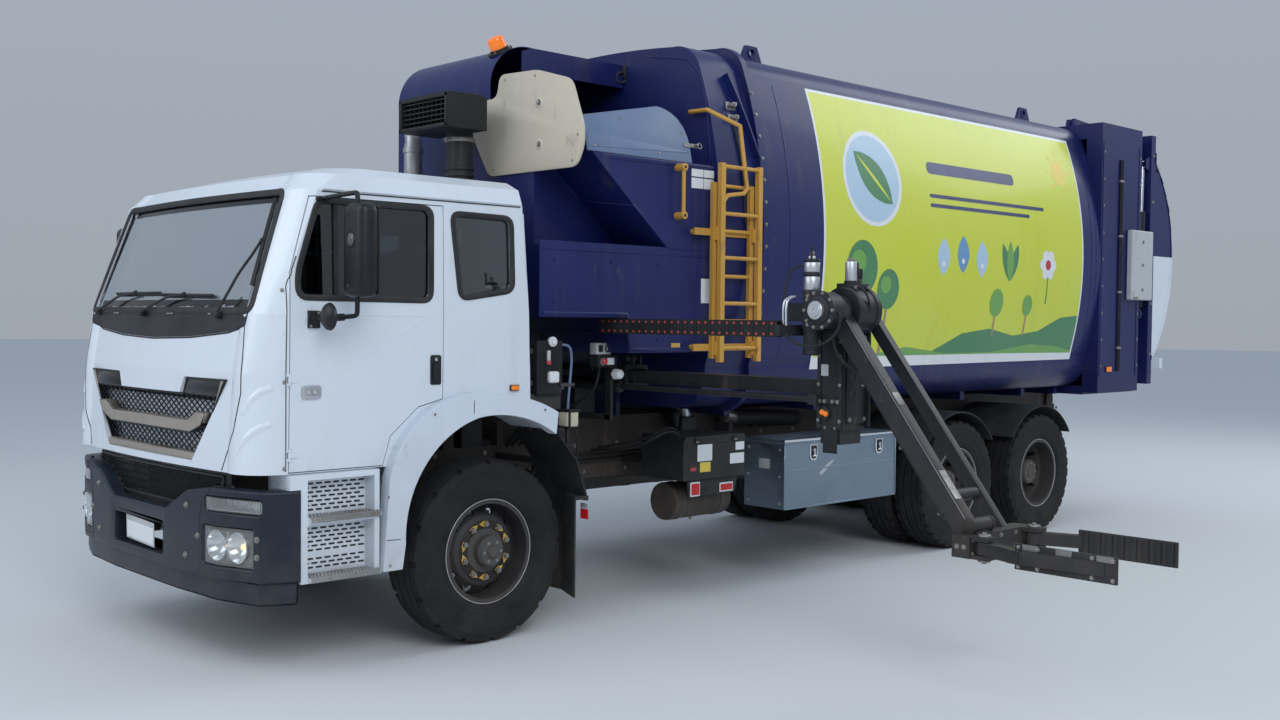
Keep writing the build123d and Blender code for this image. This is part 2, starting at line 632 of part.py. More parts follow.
def build_grille():
    """Upper grille in its notched opening, with a diamond mesh in two layers, and the lower grille under the nose."""
    hole = make_face(Polyline(*across(GRILLE_HOLE), close=True))
    rim = along_x(offset(hole, amount=-SEAT), 1405, 1450) - along_x(offset(hole, amount=-14), 1400, 1455)
    band_left = [(388, MESH_TOP), (800, MESH_TOP), (862, 1520), (430, 1520)]
    band = cross_plate(band_left, 1436, 1444) + cross_plate([(-y, z) for y, z in band_left], 1436, 1444)
    lip = cross_plate(across(((552, 1091), (578, 1128))), 1425, 1470)
    bar_outline = ((520, 1232), (650, 1275), (700, 1345), (590, 1345), (500, 1298))
    bar = cross_plate(across(bar_outline), 1424, 1476)
    mesh_outline = across(((562, 1100), (803, MESH_TOP + 6)))
    upper = (rim + band + lip + bar).fuse(*mesh_layer(mesh_outline, 1424, 1430, 1))
    upper = upper.fuse(*mesh_layer(mesh_outline, 1430, 1436, -1))

    front_line = ((1401 - SEAT, 850), (1412 - SEAT, 820), (1450 - SEAT, 400))
    back_line = ((1391 - SEAT, 850), (1402 - SEAT, 820), (1440 - SEAT, 400))
    sheet = plan_plate(mirrored(front_line) + list(reversed(mirrored(back_line))), 800, SILL_Z - SEAT)
    outline = across(((380, 800), (600, 915), (850, 960), (850, SILL_Z)))
    sheet &= cross_plate(outline, 1380, 1460)
    opening = ((400, 850), (610, 945), (800, 978), (800, 1020))
    sheet -= cross_plate(across(opening), 1380, 1460)
    slats = []
    for z in (868, 906, 944, 982):
        half = 790 if z > 970 else 400 + (z - 850) * 2.1
        slat = plan_plate(mirrored(front_line) + list(reversed(mirrored(back_line))), z, z + 12)
        slats.append(slat & block(1380, 1460, -half - 60, half + 60, z - 1, z + 14))
    sheet = sheet.fuse(*slats) & cross_plate(outline, 1380, 1460)
    node("grille", upper, sheet)


def build_bumper():
    """Bumper with a dip in the middle, lamp pockets, a slot and the valance under it, and its lamps."""
    plan = mirrored(BUMPER_LINE) + list(reversed(mirrored(BUMPER_BACK)))
    bumper = plan_plate(plan, BUMPER_LOW, BUMPER_TOP)
    bumper -= cross_plate(across(BUMPER_DIP), 1100, 1600)
    for s in (1, -1):
        bumper -= block(1300, 1600, s * 745, s * 1100, 580, 780)
        bumper -= block(1300, 1600, s * 775, s * 1150, 855, 930)
    bumper -= block(1300, 1600, -325, 325, 565, 735)
    for s in (1, -1):
        bumper += block(RAIL_FRONT + SEAT, 1452, s * 340, s * 425, 715, 795)
    low_line = ((1215, 1200), (1385, 1120), (1470, 840), (1500, 400))
    low_back = ((1215, 1180), (1370, 1105), (1452, 830), (1480, 400))
    valance = plan_plate(mirrored(low_line) + list(reversed(mirrored(low_back))), 395, BUMPER_LOW + 2)
    node("bumper", bumper + valance)

    lamps = []
    for s in (1, -1):
        low = [(1300, s * 740), (1497, s * 740), (1488, s * 860), (1402, s * 1105), (1300, s * 1105)]
        lamp = plan_plate(low, 580 + SEAT, 780 - SEAT)
        lamps.append(lamp & block(1302, 1530, s * (745 + SEAT), s * (1100 - SEAT), 580, 780))
        high = [(1300, s * 770), (1502, s * 770), (1494, s * 860), (1392, s * 1155), (1300, s * 1155)]
        lamp = plan_plate(high, 855 + SEAT, 930 - SEAT)
        lamps.append(lamp & block(1302, 1530, s * (775 + SEAT), s * (1150 - SEAT), 855, 930))
    node("front_lamps", lamps)


def build_front():
    """Front arches, mud guards and steps."""
    flares = []
    outside = cab_form(-SEAT)
    for s in (1, -1):
        face = make_face(Wire([
            Line((740, 505), (700, 1000)), ThreePointArc((700, 1000), (500, 1310), (0, 1411)),
            ThreePointArc((0, 1411), (-240, 1385), (-455, 1300)), Line((-455, 1300), (-440, 1170)),
            ThreePointArc((-440, 1170), (-150, 1288), (119, 1293)), ThreePointArc((119, 1293), (470, 1060), (600, 640)),
            Line((600, 640), (620, 505)), Line((620, 505), (740, 505)),
        ]))
        lip = side_prism(face, s * (CAB_HALF - 12), s * FLARE_Y) - outside
        liner_face = make_face(Wire([
            Line((672, 505), (668, 760)), ThreePointArc((668, 760), (530, 1130), (119, 1320)),
            ThreePointArc((119, 1320), (-200, 1300), (-470, 1190)), Line((-470, 1190), (-478, 1200)),
            ThreePointArc((-478, 1200), (-200, 1312), (119, 1332)), ThreePointArc((119, 1332), (538, 1138), (680, 762)),
            Line((680, 762), (684, 505)), Line((684, 505), (672, 505)),
        ]))
        liner = side_prism(liner_face, s * 760, s * (CAB_HALF + 10))
        flares.append(lip + liner)
    node("front_arches", flares)

    guards = []
    for s in (1, -1):
        slope = [(-462, 1160), (-462, 1175), (-610, 1010), (-700, 760), (-690, 755), (-598, 1002)]
        top_part = side_plate(slope, s * 800, s * 1232)
        curl = [(-586, 1235), (-598, 1235), (-702, 1000), (-702, 800), (-690, 800), (-690, 996)]
        flap = plan_plate([(x, s * y) for x, y in curl], 180, 780)
        lip = [(-586, 1232), (-700, 1232), (-700, 800), (-690, 800), (-690, 996)]
        bridge = plan_plate([(x, s * y) for x, y in lip], 765, 785)
        stay = block(-655, -605, s * (RAIL_Y + SEAT), s * 810, 950, 985)
        guards.append(top_part + flap + bridge + stay)
        for x in REAR_AXLES_X.values():
            face = make_face(Wire([
                ThreePointArc((x - 480, HUB_Z + 340), (x, HUB_Z + 588), (x + 480, HUB_Z + 340)),
                Line((x + 480, HUB_Z + 340), (x + 486, HUB_Z + 350)),
                ThreePointArc((x + 486, HUB_Z + 350), (x, HUB_Z + 600), (x - 486, HUB_Z + 350)),
                Line((x - 486, HUB_Z + 350), (x - 480, HUB_Z + 340)),
            ]))
            guard = side_prism(face, s * 560, s * 1225)
            guard += block(x - 30, x + 30, s * (RAIL_Y + SEAT), s * 572, HUB_Z + 400, HUB_Z + 440)
            guard += block(x - 30, x + 30, s * 560, s * 572, HUB_Z + 400, HUB_Z + 595)
            guards.append(guard)
    node("mudguards", guards)

    steps = []
    for s in (1, -1):
        case = block(745, 1202, s * 860, s * 1205, 495, 1050)
        case += block(745, 1202, s * 860, s * 1160, 1049, SILL_Z - SEAT)
        case += block(1190, 1262, s * 1000, s * 1205, BUMPER_TOP + SEAT, 1050)
        case += block(1190, 1262, s * 1000, s * 1160, 1049, SILL_Z - SEAT)
        for z0, z1 in ((525, 790), (832, 1020)):
            case -= block(775, 1165, s * 1110, s * 1300, z0, z1)
        case -= block(700, 1180, s * 800, s * 1098, 510, 1040)
        for z in (500, 806):
            case += block(745, 1160, s * 1090, s * 1225, z, z + 24)
        steps.append(case)
    node("steps", steps)


def build_stacks():
    """Air intake and exhaust stack behind the cab."""
    pipe_up = rod((-420, 280, 1300), (-420, 280, 3020), 85)
    head = block(-470, -170, -30, 500, 3020, 3230)
    head -= block(-290, -160, 0, 470, 3045, 3205)
    for i in range(5):
        head += block(-275, -180, 0, 470, 3068 + 30 * i, 3076 + 30 * i)
    foot = block(-500, -340, 200, RAIL_Y, 1240, 1300) + block(-500, -340, 345, RAIL_Y, RAIL_TOP + SEAT, 1260)
    node("air_intake", pipe_up + head + foot)
    stack = rod((-430, -260, 1300), (-430, -260, 3000), 60)
    bend = sweep(Plane(origin=(-430, -260, 2995)) * Circle(55),
                 path=Wire([Line((-430, -260, 2995), (-430, -260, 3040)),
                            ThreePointArc((-430, -260, 3040), (-447, -300, 3090), (-500, -340, 3140))]))
    foot = block(-500, -360, -RAIL_Y, -200, 1240, 1300) + block(-500, -360, -RAIL_Y, -345, RAIL_TOP + SEAT, 1260)
    node("exhaust_stack", stack + bend + foot)


# Body
def barrel_section(inset):
    """Barrel's cross-section, drawn in by the plate's thickness."""
    d = inset
    lines = []
    for s in (1, -1):
        lines += [
            Line((0, FLOOR_Z + 70 + d), (s * (860 - d), FLOOR_Z + 70 + d)),
            ThreePointArc((s * (860 - d), FLOOR_Z + 70 + d), (s * (1060 - d), 1340 + d), (s * (1130 - d), 1540)),
            ThreePointArc((s * (1130 - d), 1540), (s * (SIDE_Y - d), SIDE_MID_Z), (s * (1040 - d), 3560 - d * 0.5)),
            ThreePointArc((s * (1040 - d), 3560 - d * 0.5), (s * (950 - d), 3660 - d), (s * (800 - d), 3700 - d)),
        ]
    top = ThreePointArc((800 - d, 3700 - d), (0, TOP_Z - d), (-800 + d, 3700 - d))
    lines.append(top)
    return make_face(Wire(lines))


def along_x(face, x0, x1):
    """Cross-section in y and z drawn out along x."""
    return extrude(Plane(origin=(x0, 0, 0), x_dir=(0, 1, 0), z_dir=(1, 0, 0)) * face, amount=x1 - x0)


def build_body():
    """Barrel, hopper, rear frame, shield, hood, ladder and tipping sills."""
    skin = along_x(barrel_section(0), BARREL_REAR, BARREL_FRONT)
    skin -= along_x(barrel_section(PLATE), BARREL_REAR - 10, BARREL_FRONT - PLATE)
    skin -= block(BARREL_FRONT - 60, BARREL_FRONT + 20, -1050, 1050, HOPPER_BOTTOM + 60, 2700)
    rim = along_x(barrel_section(-40), -2250, -2200) - along_x(barrel_section(PLATE), -2260, -2190)
    saddles = None
    for x in (-2300, -3300, -4300, -5300, -6300, -6900):
        saddle = block(x - 30, x + 30, -880, 880, FLOOR_Z, FLOOR_Z + 72)
        saddles = saddle if saddles is None else saddles + saddle
    lugs = None
    for x in (-2700, -6500):
        for s in (1, -1):
            piece = side_plate([(x - 160, 3640), (x + 160, 3640), (x + 60, 3850), (x - 60, 3850)], s * 690, s * 715)
            piece -= rod((x, s * 600, LUG_Z), (x, s * 800, LUG_Z), LUG_R)
            piece -= along_x(barrel_section(PLATE / 2), x - 300, x + 300)
            lugs = piece if lugs is None else lugs + piece
    node("barrel", skin + rim + saddles + lugs)

    node("rear_frame", rear_frame())

    covers = []
    for s in (1, -1):
        box = block(-7960, -7520, s * (SIDE_Y + SEAT), s * (SIDE_Y + 60), 2080, 2750)
        covers.append(box)
    node("lock_covers", covers)

    sills = None
    top_x, top_z = HOIST_TOP
    under_floor = FLOOR_Z - SEAT
    for s in (1, -1):
        sill = block(TIP_X, SILL_FRONT, s * (RAIL_Y - SILL_W), s * RAIL_Y, RAIL_TOP + SEAT, under_floor)
        end_r = TIP_Z - RAIL_TOP - SEAT
        sill += rod((TIP_X, s * (RAIL_Y - SILL_W), TIP_Z), (TIP_X, s * RAIL_Y, TIP_Z), end_r)
        sill += block(TIP_X - end_r, TIP_X, s * (RAIL_Y - SILL_W), s * RAIL_Y, TIP_Z, under_floor)
        sill += rod((TIP_X, s * (RAIL_Y - 20), TIP_Z), (TIP_X, s * (RAIL_Y + 32), TIP_Z), TIP_PIN_R)
        sills = sill if sills is None else sills + sill
    for x in (-1000, -2200, -3600, top_x + 330, -6500, -7400):
        sills += block(x - 40, x + 40, 10 - RAIL_Y, RAIL_Y - 10, RAIL_TOP + 60, under_floor)
    for s in (1, -1):
        for dy in (-60, 48):
            y = s * HOIST_Y + dy
            sills += block(top_x - 40, top_x + 70, y, y + 12, top_z - 40, under_floor)
        sills += block(top_x - 60, top_x + 330, s * (HOIST_Y - 60), s * (RAIL_Y - 20), under_floor - 10, under_floor)
    node("body_sills", sills)

    build_hopper()


def rear_frame():
    """Plates of the rear tunnel, two rings of posts round it, side panels, hinge brackets and cylinder pins."""
    inner_y, roof_z, top_z = 1100, 3600, 3720
    floor_top = FLOOR_Z + 80
    x0, x1 = GATE_FACE + SEAT, BARREL_REAR - SEAT
    front_ring, rear_ring = BARREL_REAR - 60, -7700
    pieces = [
        block(x0, x1, -inner_y, inner_y, FLOOR_Z, floor_top),
        block(x0, x1, -inner_y, inner_y, roof_z - 20, roof_z),
    ]
    cap = block(rear_ring + SEAT, front_ring - SEAT, -SIDE_Y, SIDE_Y, top_z - PLATE, top_z)
    for a, b in ((rear_ring - 100, rear_ring), (front_ring, x1)):
        pieces.append(block(a, b, -SIDE_Y, SIDE_Y, roof_z + SEAT, top_z))
        for s in (1, -1):
            pieces.append(side_block(a, b, inner_y + SEAT, SIDE_Y, FLOOR_Z + 20, roof_z, s))
    for s in (1, -1):
        pieces.append(side_block(x0, x1, inner_y - PLATE, inner_y, floor_top + SEAT, roof_z - 20 - SEAT, s))
        panel_x0, panel_x1 = rear_ring + SEAT, front_ring - SEAT
        panel_top = top_z - PLATE - SEAT
        pieces.append(side_block(panel_x0, panel_x1, SIDE_Y - PLATE, SIDE_Y, FLOOR_Z + 20, panel_top, s))
        foot_x, foot_z = GATE_FOOT
        pieces.append(rod((foot_x, s * (inner_y + SEAT), foot_z), (foot_x, s * (GATE_CYL_Y + 40), foot_z), 24))
        outline = [(GATE_X - 80, roof_z + SEAT), (GATE_X + 80, roof_z + SEAT), (GATE_X + 80, 3715),
                   (GATE_X + 45, GATE_Z + 45), (GATE_X - 45, GATE_Z + 45), (GATE_X - 80, 3715)]
        bracket = side_plate(outline, s * 700, s * 740)
        bracket -= rod((GATE_X, s * 650, GATE_Z), (GATE_X, s * 790, GATE_Z), GATE_PIN_R + FIT)
        pieces.append(bracket)
        cap -= side_block(GATE_X - 80 - SEAT, GATE_X + 80 + SEAT, 700 - SEAT, 740 + SEAT, 3700, 3730, s)
    pieces.append(cap)
    return pieces


def split(solid, *cutters):
    """The parts of a welded shell that lie in each cutter, as plates of their own."""
    return [solid & cutter for cutter in cutters]


def hopper_plates():
    """Hollow hopper between cab and barrel: recess at both sides ahead of the diagonal edge, open top."""
    t = PLATE
    outer = block(BARREL_FRONT, HOPPER_FRONT, -HOPPER_Y, HOPPER_Y, HOPPER_BOTTOM, HOPPER_TOP)
    inner_y = HOPPER_Y - t
    inner = block(BARREL_FRONT - 10, HOPPER_FRONT - t, -inner_y, inner_y, HOPPER_BOTTOM + t, HOPPER_TOP + 10)
    over = HOPPER_TOP + 20
    wedge = ((-1365, LEDGE_Z), (-710, over), (-300, over), (-300, LEDGE_Z))
    wide_wedge = ((-1365 - 12, LEDGE_Z - t), (-722, over), (-300, over), (-300, LEDGE_Z - t))
    for s in (1, -1):
        outer -= side_prism(wedge, s * RECESS_Y, s * 1400)
        inner -= side_prism(wide_wedge, s * (RECESS_Y - t), s * 1400)
    outer -= block(HOPPER_STEP_X, HOPPER_FRONT + 10, -1400, 1400, HOPPER_BOTTOM - 10, HOPPER_STEP_Z)
    inner -= block(HOPPER_STEP_X - t, HOPPER_FRONT + 10, -1400, 1400, HOPPER_BOTTOM - 10, HOPPER_STEP_Z + t)
    shell = outer - inner

    back, front, low, high = BARREL_FRONT - 10, HOPPER_FRONT + 10, HOPPER_BOTTOM - 10, over
    step_top = HOPPER_STEP_Z + t
    span = inner_y - SEAT
    riser_x = HOPPER_STEP_X - t
    cutters = [
        block(back, riser_x - SEAT, -span, span, low, step_top),
        block(riser_x, HOPPER_STEP_X, -span, span, low, step_top),
        block(HOPPER_STEP_X + SEAT, front, -span, span, low, step_top),
        block(HOPPER_FRONT - t, front, -span, span, step_top + SEAT, LEDGE_Z),
        block(HOPPER_FRONT - t, front, -span, span, LEDGE_Z + SEAT, high),
    ]
    inside_front = HOPPER_FRONT - t - SEAT
    for s in (1, -1):
        cutters.append(side_block(back, front, inner_y, HOPPER_Y + 10, low, LEDGE_Z, s))
        cutters.append(side_block(back, front, inner_y, HOPPER_Y + 10, LEDGE_Z + SEAT, high, s))
        cutters.append(side_block(back, inside_front, 700, span, step_top + SEAT, LEDGE_Z, s))
        cutters.append(side_block(back, inside_front, 700, RECESS_Y, LEDGE_Z + SEAT, high, s))
        cutters.append(side_block(back, inside_front, RECESS_Y + SEAT, span, LEDGE_Z + SEAT, high, s))
    return split(shell, *cutters)


def build_hopper():
    """Hopper plates with wings and braces, leaning flap, shield, hood, ladder and packer."""
    t = PLATE
    plates = hopper_plates()
    wing_x0, wing_x1 = HOPPER_FRONT + SEAT, -335
    for s in (1, -1):
        plates.append(side_block(wing_x0, wing_x1, HOPPER_Y - t, HOPPER_Y, HOPPER_STEP_Z, LEDGE_Z, s))
    for x in (-1150, -1700):
        plates.append(block(x, x + 40, -420, 420, FLOOR_Z, HOPPER_BOTTOM - SEAT))
    for y in (-700, 660):
        brace_x1 = HOPPER_STEP_X - t - SEAT
        plates.append(block(BARREL_FRONT + 40, brace_x1, y, y + 40, HOPPER_BOTTOM + t + SEAT, HOPPER_STEP_Z + t))
    base = HOPPER_TOP + 2.5
    face = make_face(Wire([
        Line((-700, base), (-1593, base)), Line((-1593, base), (-1593, 2985)),
        ThreePointArc((-1593, 2985), (-1515, 3150), (-1343, 3215)), Line((-1343, 3215), (-700, 3085)),
        Line((-700, 3085), (-700, base)),
    ]))
    flap = side_prism(face, HOPPER_Y - 10, HOPPER_Y)
    flap = Pos(0, HOPPER_Y, HOPPER_TOP) * (Rot(12, 0, 0) * (Pos(0, -HOPPER_Y, -HOPPER_TOP) * flap))
    node("hopper", plates, flap)

    shield = cross_plate([
        (310, 2760), (30, 3200), (30, 3255), (390, 3255), (420, 3400), (800, 3385), (1130, 3290),
        (1245, 3000), (1245, 2880), (1180, 2760),
    ], SHIELD_X, SHIELD_X + 14)
    node("shield", shield)

    hood_z = HOPPER_TOP + SEAT
    back_x = BARREL_FRONT + SEAT
    front_x = HOPPER_FRONT
    inner_x = front_x - PLATE
    face = make_face(Wire([
        Line((front_x, hood_z), (front_x, 3300)), ThreePointArc((front_x, 3300), (-740, 3560), (-980, 3640)),
        Line((-980, 3640), (back_x, 3640)), Line((back_x, 3640), (back_x, 3632)), Line((back_x, 3632), (-980, 3632)),
        ThreePointArc((-980, 3632), (-734, 3554), (inner_x, 3300)), Line((inner_x, 3300), (inner_x, hood_z)),
        Line((inner_x, hood_z), (front_x, hood_z)),
    ]))
    hood_right, hood_left = -RECESS_Y, 300
    hood = side_prism(face, hood_right, hood_left)
    cheek = [(inner_x, hood_z), (inner_x, 3300), (-734, 3550), (-980, 3636), (back_x, 3636), (back_x, hood_z)]
    hood += side_plate(cheek, hood_right, hood_right + PLATE)
    hood += side_plate([(-900, 3480), (-900, 3610), (-980, 3636), (back_x, 3636), (back_x, 3480)],
                       hood_left - PLATE, hood_left)
    node("hood", hood)

    node("ladder", ladder())

    ram = block(-1000, HOPPER_FRONT - PLATE - CLEAR, -720, 720, HOPPER_STEP_Z + PLATE + SEAT, 2250)
    ram -= block(-950, HOPPER_FRONT, -670, 670, HOPPER_STEP_Z + 60, 2300)
    node("packer", ram)


def tube_line(places, radius):
    """Round bar bent through the places, rounded at each bend."""
    bar = rod(places[0], places[1], radius)
    for a, b in zip(places[1:], places[2:]):
        bar += Pos(*a) * Sphere(radius) + rod(a, b, radius)
    return bar


# Ladder frames: rails' x, their y from and to, bottom, top, rungs' heights
LADDER_FRAMES = (
    ((-1745, -2109), 1308, 1342, 1577, 2870, (1668, 1960, 2257, 2544, 2850)),
    ((-1722, -2080), 1264, 1292, 1600, 2745, (1844, 2138, 2434, 2728)),
)


def ladder():
    """Sliding ladder in front of a fixed one, brackets to the body, grab handle and bent handrail."""
    frames = None
    for rails_x, y0, y1, low, high, rungs in LADDER_FRAMES:
        middle = (y0 + y1) / 2
        for x in rails_x:
            rail = block(x - 20, x + 20, y0, y1, low, high)
            frames = rail if frames is None else frames + rail
        for z in rungs:
            frames += rod((rails_x[1], middle, z), (rails_x[0], middle, z), 13)
    for z in (1650, 2400):
        frames += block(-2090, -1560, 1255, 1266, z, z + 45)
        frames += block(-1775, -1715, 1290, 1310, z - 30, z + 60) + block(-2120, -2070, 1290, 1310, z - 30, z + 60)
        frames += rod((-1600, HOPPER_Y + SEAT, z + 22), (-1600, 1257, z + 22), 18)
        frames += block(-1780, -1740, HOPPER_Y + SEAT, 1257, z + 5, z + 40)
    handle = rod((-1456, 1262, 2515), (-1456, 1262, 2822), 13)
    for z in (2515, 2822):
        handle += rod((-1456, HOPPER_Y + SEAT, z), (-1456, 1275, z), 24)
    rail = [
        (BARREL_FRONT + SEAT, 1000, 3236), (-1775, 1000, 3236), (-1740, 1190, 3226), (-1912, 1325, 3124),
        (-1989, 1325, 2721), (-1957, 1325, 2686), (-1800, 1325, 2663), (-1760, 1325, 2620),
    ]
    return [frames + tube_line(rail, 14), handle]


def dome_form(face_x, y, grow):
    """Tailgate's domed side outline as a solid, grown by a distance."""
    low, high = (face_x, 1300 - grow), (face_x, 3640 + grow)
    face = make_face(Wire([Line(low, high), ThreePointArc(high, (-8660 - grow, 2560), low)]))
    return side_prism(face, -y, y)


def build_tailgate():
    """Domed tailgate on two long hinge arms, its side cylinders and the tipping hoist."""
    face_x = GATE_FACE - CLEAR
    ring_x = face_x - 90
    cheek_y = 1180
    inner = make_face(Wire([
        Line((face_x + 20, 1330), (face_x + 20, 3610)), ThreePointArc((face_x + 20, 3610), (-8648, 2560), (face_x + 20, 1330)),
    ]))
    dome = dome_form(face_x, cheek_y, 0) - side_prism(inner, PLATE - cheek_y, cheek_y - PLATE)
    behind = block(-8700, ring_x - SEAT, SEAT + PLATE - cheek_y, cheek_y - PLATE - SEAT, 1200, 3800)
    pieces = [dome & behind]
    ring_low, ring_high = 1260, 3700
    pieces.append(block(ring_x, face_x, SEAT - 1110, 1110 - SEAT, ring_low, 1370))
    pieces.append(block(ring_x, face_x, SEAT - 1110, 1110 - SEAT, 3580, ring_high))
    eye_x, eye_z = GATE_EYE
    for s in (1, -1):
        pieces.append(dome & side_block(-8700, ring_x - SEAT, cheek_y - PLATE, cheek_y, 1200, 3800, s))
        pieces.append(side_block(ring_x, face_x, 1110, SIDE_Y, ring_low, ring_high, s))
        arm_foot = ring_high + SEAT
        arm = side_plate([
            (GATE_X + 42, GATE_Z - 30), (GATE_X + 42, GATE_Z + 50), (ring_x, GATE_Z + 5), (ring_x, arm_foot),
            (face_x, arm_foot), (face_x, 3728), (GATE_X - 60, 3728 + CLEAR),
        ], s * 752, s * 782)
        arm += rod((GATE_X, s * 695, GATE_Z), (GATE_X, s * 782, GATE_Z), GATE_PIN_R)
        pieces.append(arm)
        ear = [(face_x + SEAT, 3340), (face_x + SEAT, 3500), (eye_x + 25, eye_z + 40), (eye_x + 25, eye_z - 40)]
        for dy in (-52, 38):
            y = s * GATE_CYL_Y + dy
            pieces.append(side_plate(ear, y, y + 14))
    lamp_bar = block(-8560, -8490, -1150, 1150, 1400, 1500)
    for y in (-900, 900):
        lamp_bar += block(-8500, -8130, y - 30, y + 30, 1400, 1500)
    pieces.append(lamp_bar - dome_form(face_x, 1300, SEAT))
    node("tailgate", pieces)

    barrels, rods = ram_pair(GATE_FOOT, GATE_EYE, GATE_CYL_Y, 45, 24, 1000, 1370, 24)
    node("gate_barrels", barrels)
    node("gate_rods", rods)
    barrels, rods = ram_pair(HOIST_FOOT, HOIST_TOP, HOIST_Y, 60, 42, 1180, 1312, HOIST_PIN_R)
    node("hoist_barrels", barrels)
    node("hoist_rods", rods)


def ram_pair(foot, eye, y, barrel_r, rod_r, barrel_length, rod_length, pin_r):
    """Left and right hydraulic cylinders in the x-z plane: barrels with a foot eye, rods with a rod eye."""
    a, b = Vector(foot[0], 0, foot[1]), Vector(eye[0], 0, eye[1])
    way = (b - a).normalized()
    barrels, rods = [], []
    for s in (1, -1):
        shift = Vector(0, s * y, 0)

        def at(distance):
            return tuple(a + way * distance + shift)

        barrel = rod(at(66), at(barrel_length), barrel_r)
        barrel -= rod(at(92), at(barrel_length - 30), rod_r + 6)
        barrel -= rod(at(90), at(barrel_length + 5), rod_r + FIT)
        foot_x, foot_z = foot
        lug = rod((foot_x, s * y - 28, foot_z), (foot_x, s * y + 28, foot_z), pin_r + 22)
        lug += rod(at(0), at(80), 26)
        bore = rod((foot_x, s * y - 40, foot_z), (foot_x, s * y + 40, foot_z), pin_r + FIT)
        barrels.append(barrel + lug - bore)
        full = (b - a).length
        bar = rod(at(full - rod_length), at(full - 20), rod_r)
        bar += rod((eye[0], s * y - 30, eye[1]), (eye[0], s * y + 30, eye[1]), rod_r + 12)
        rods.append(bar)
    return barrels, rods


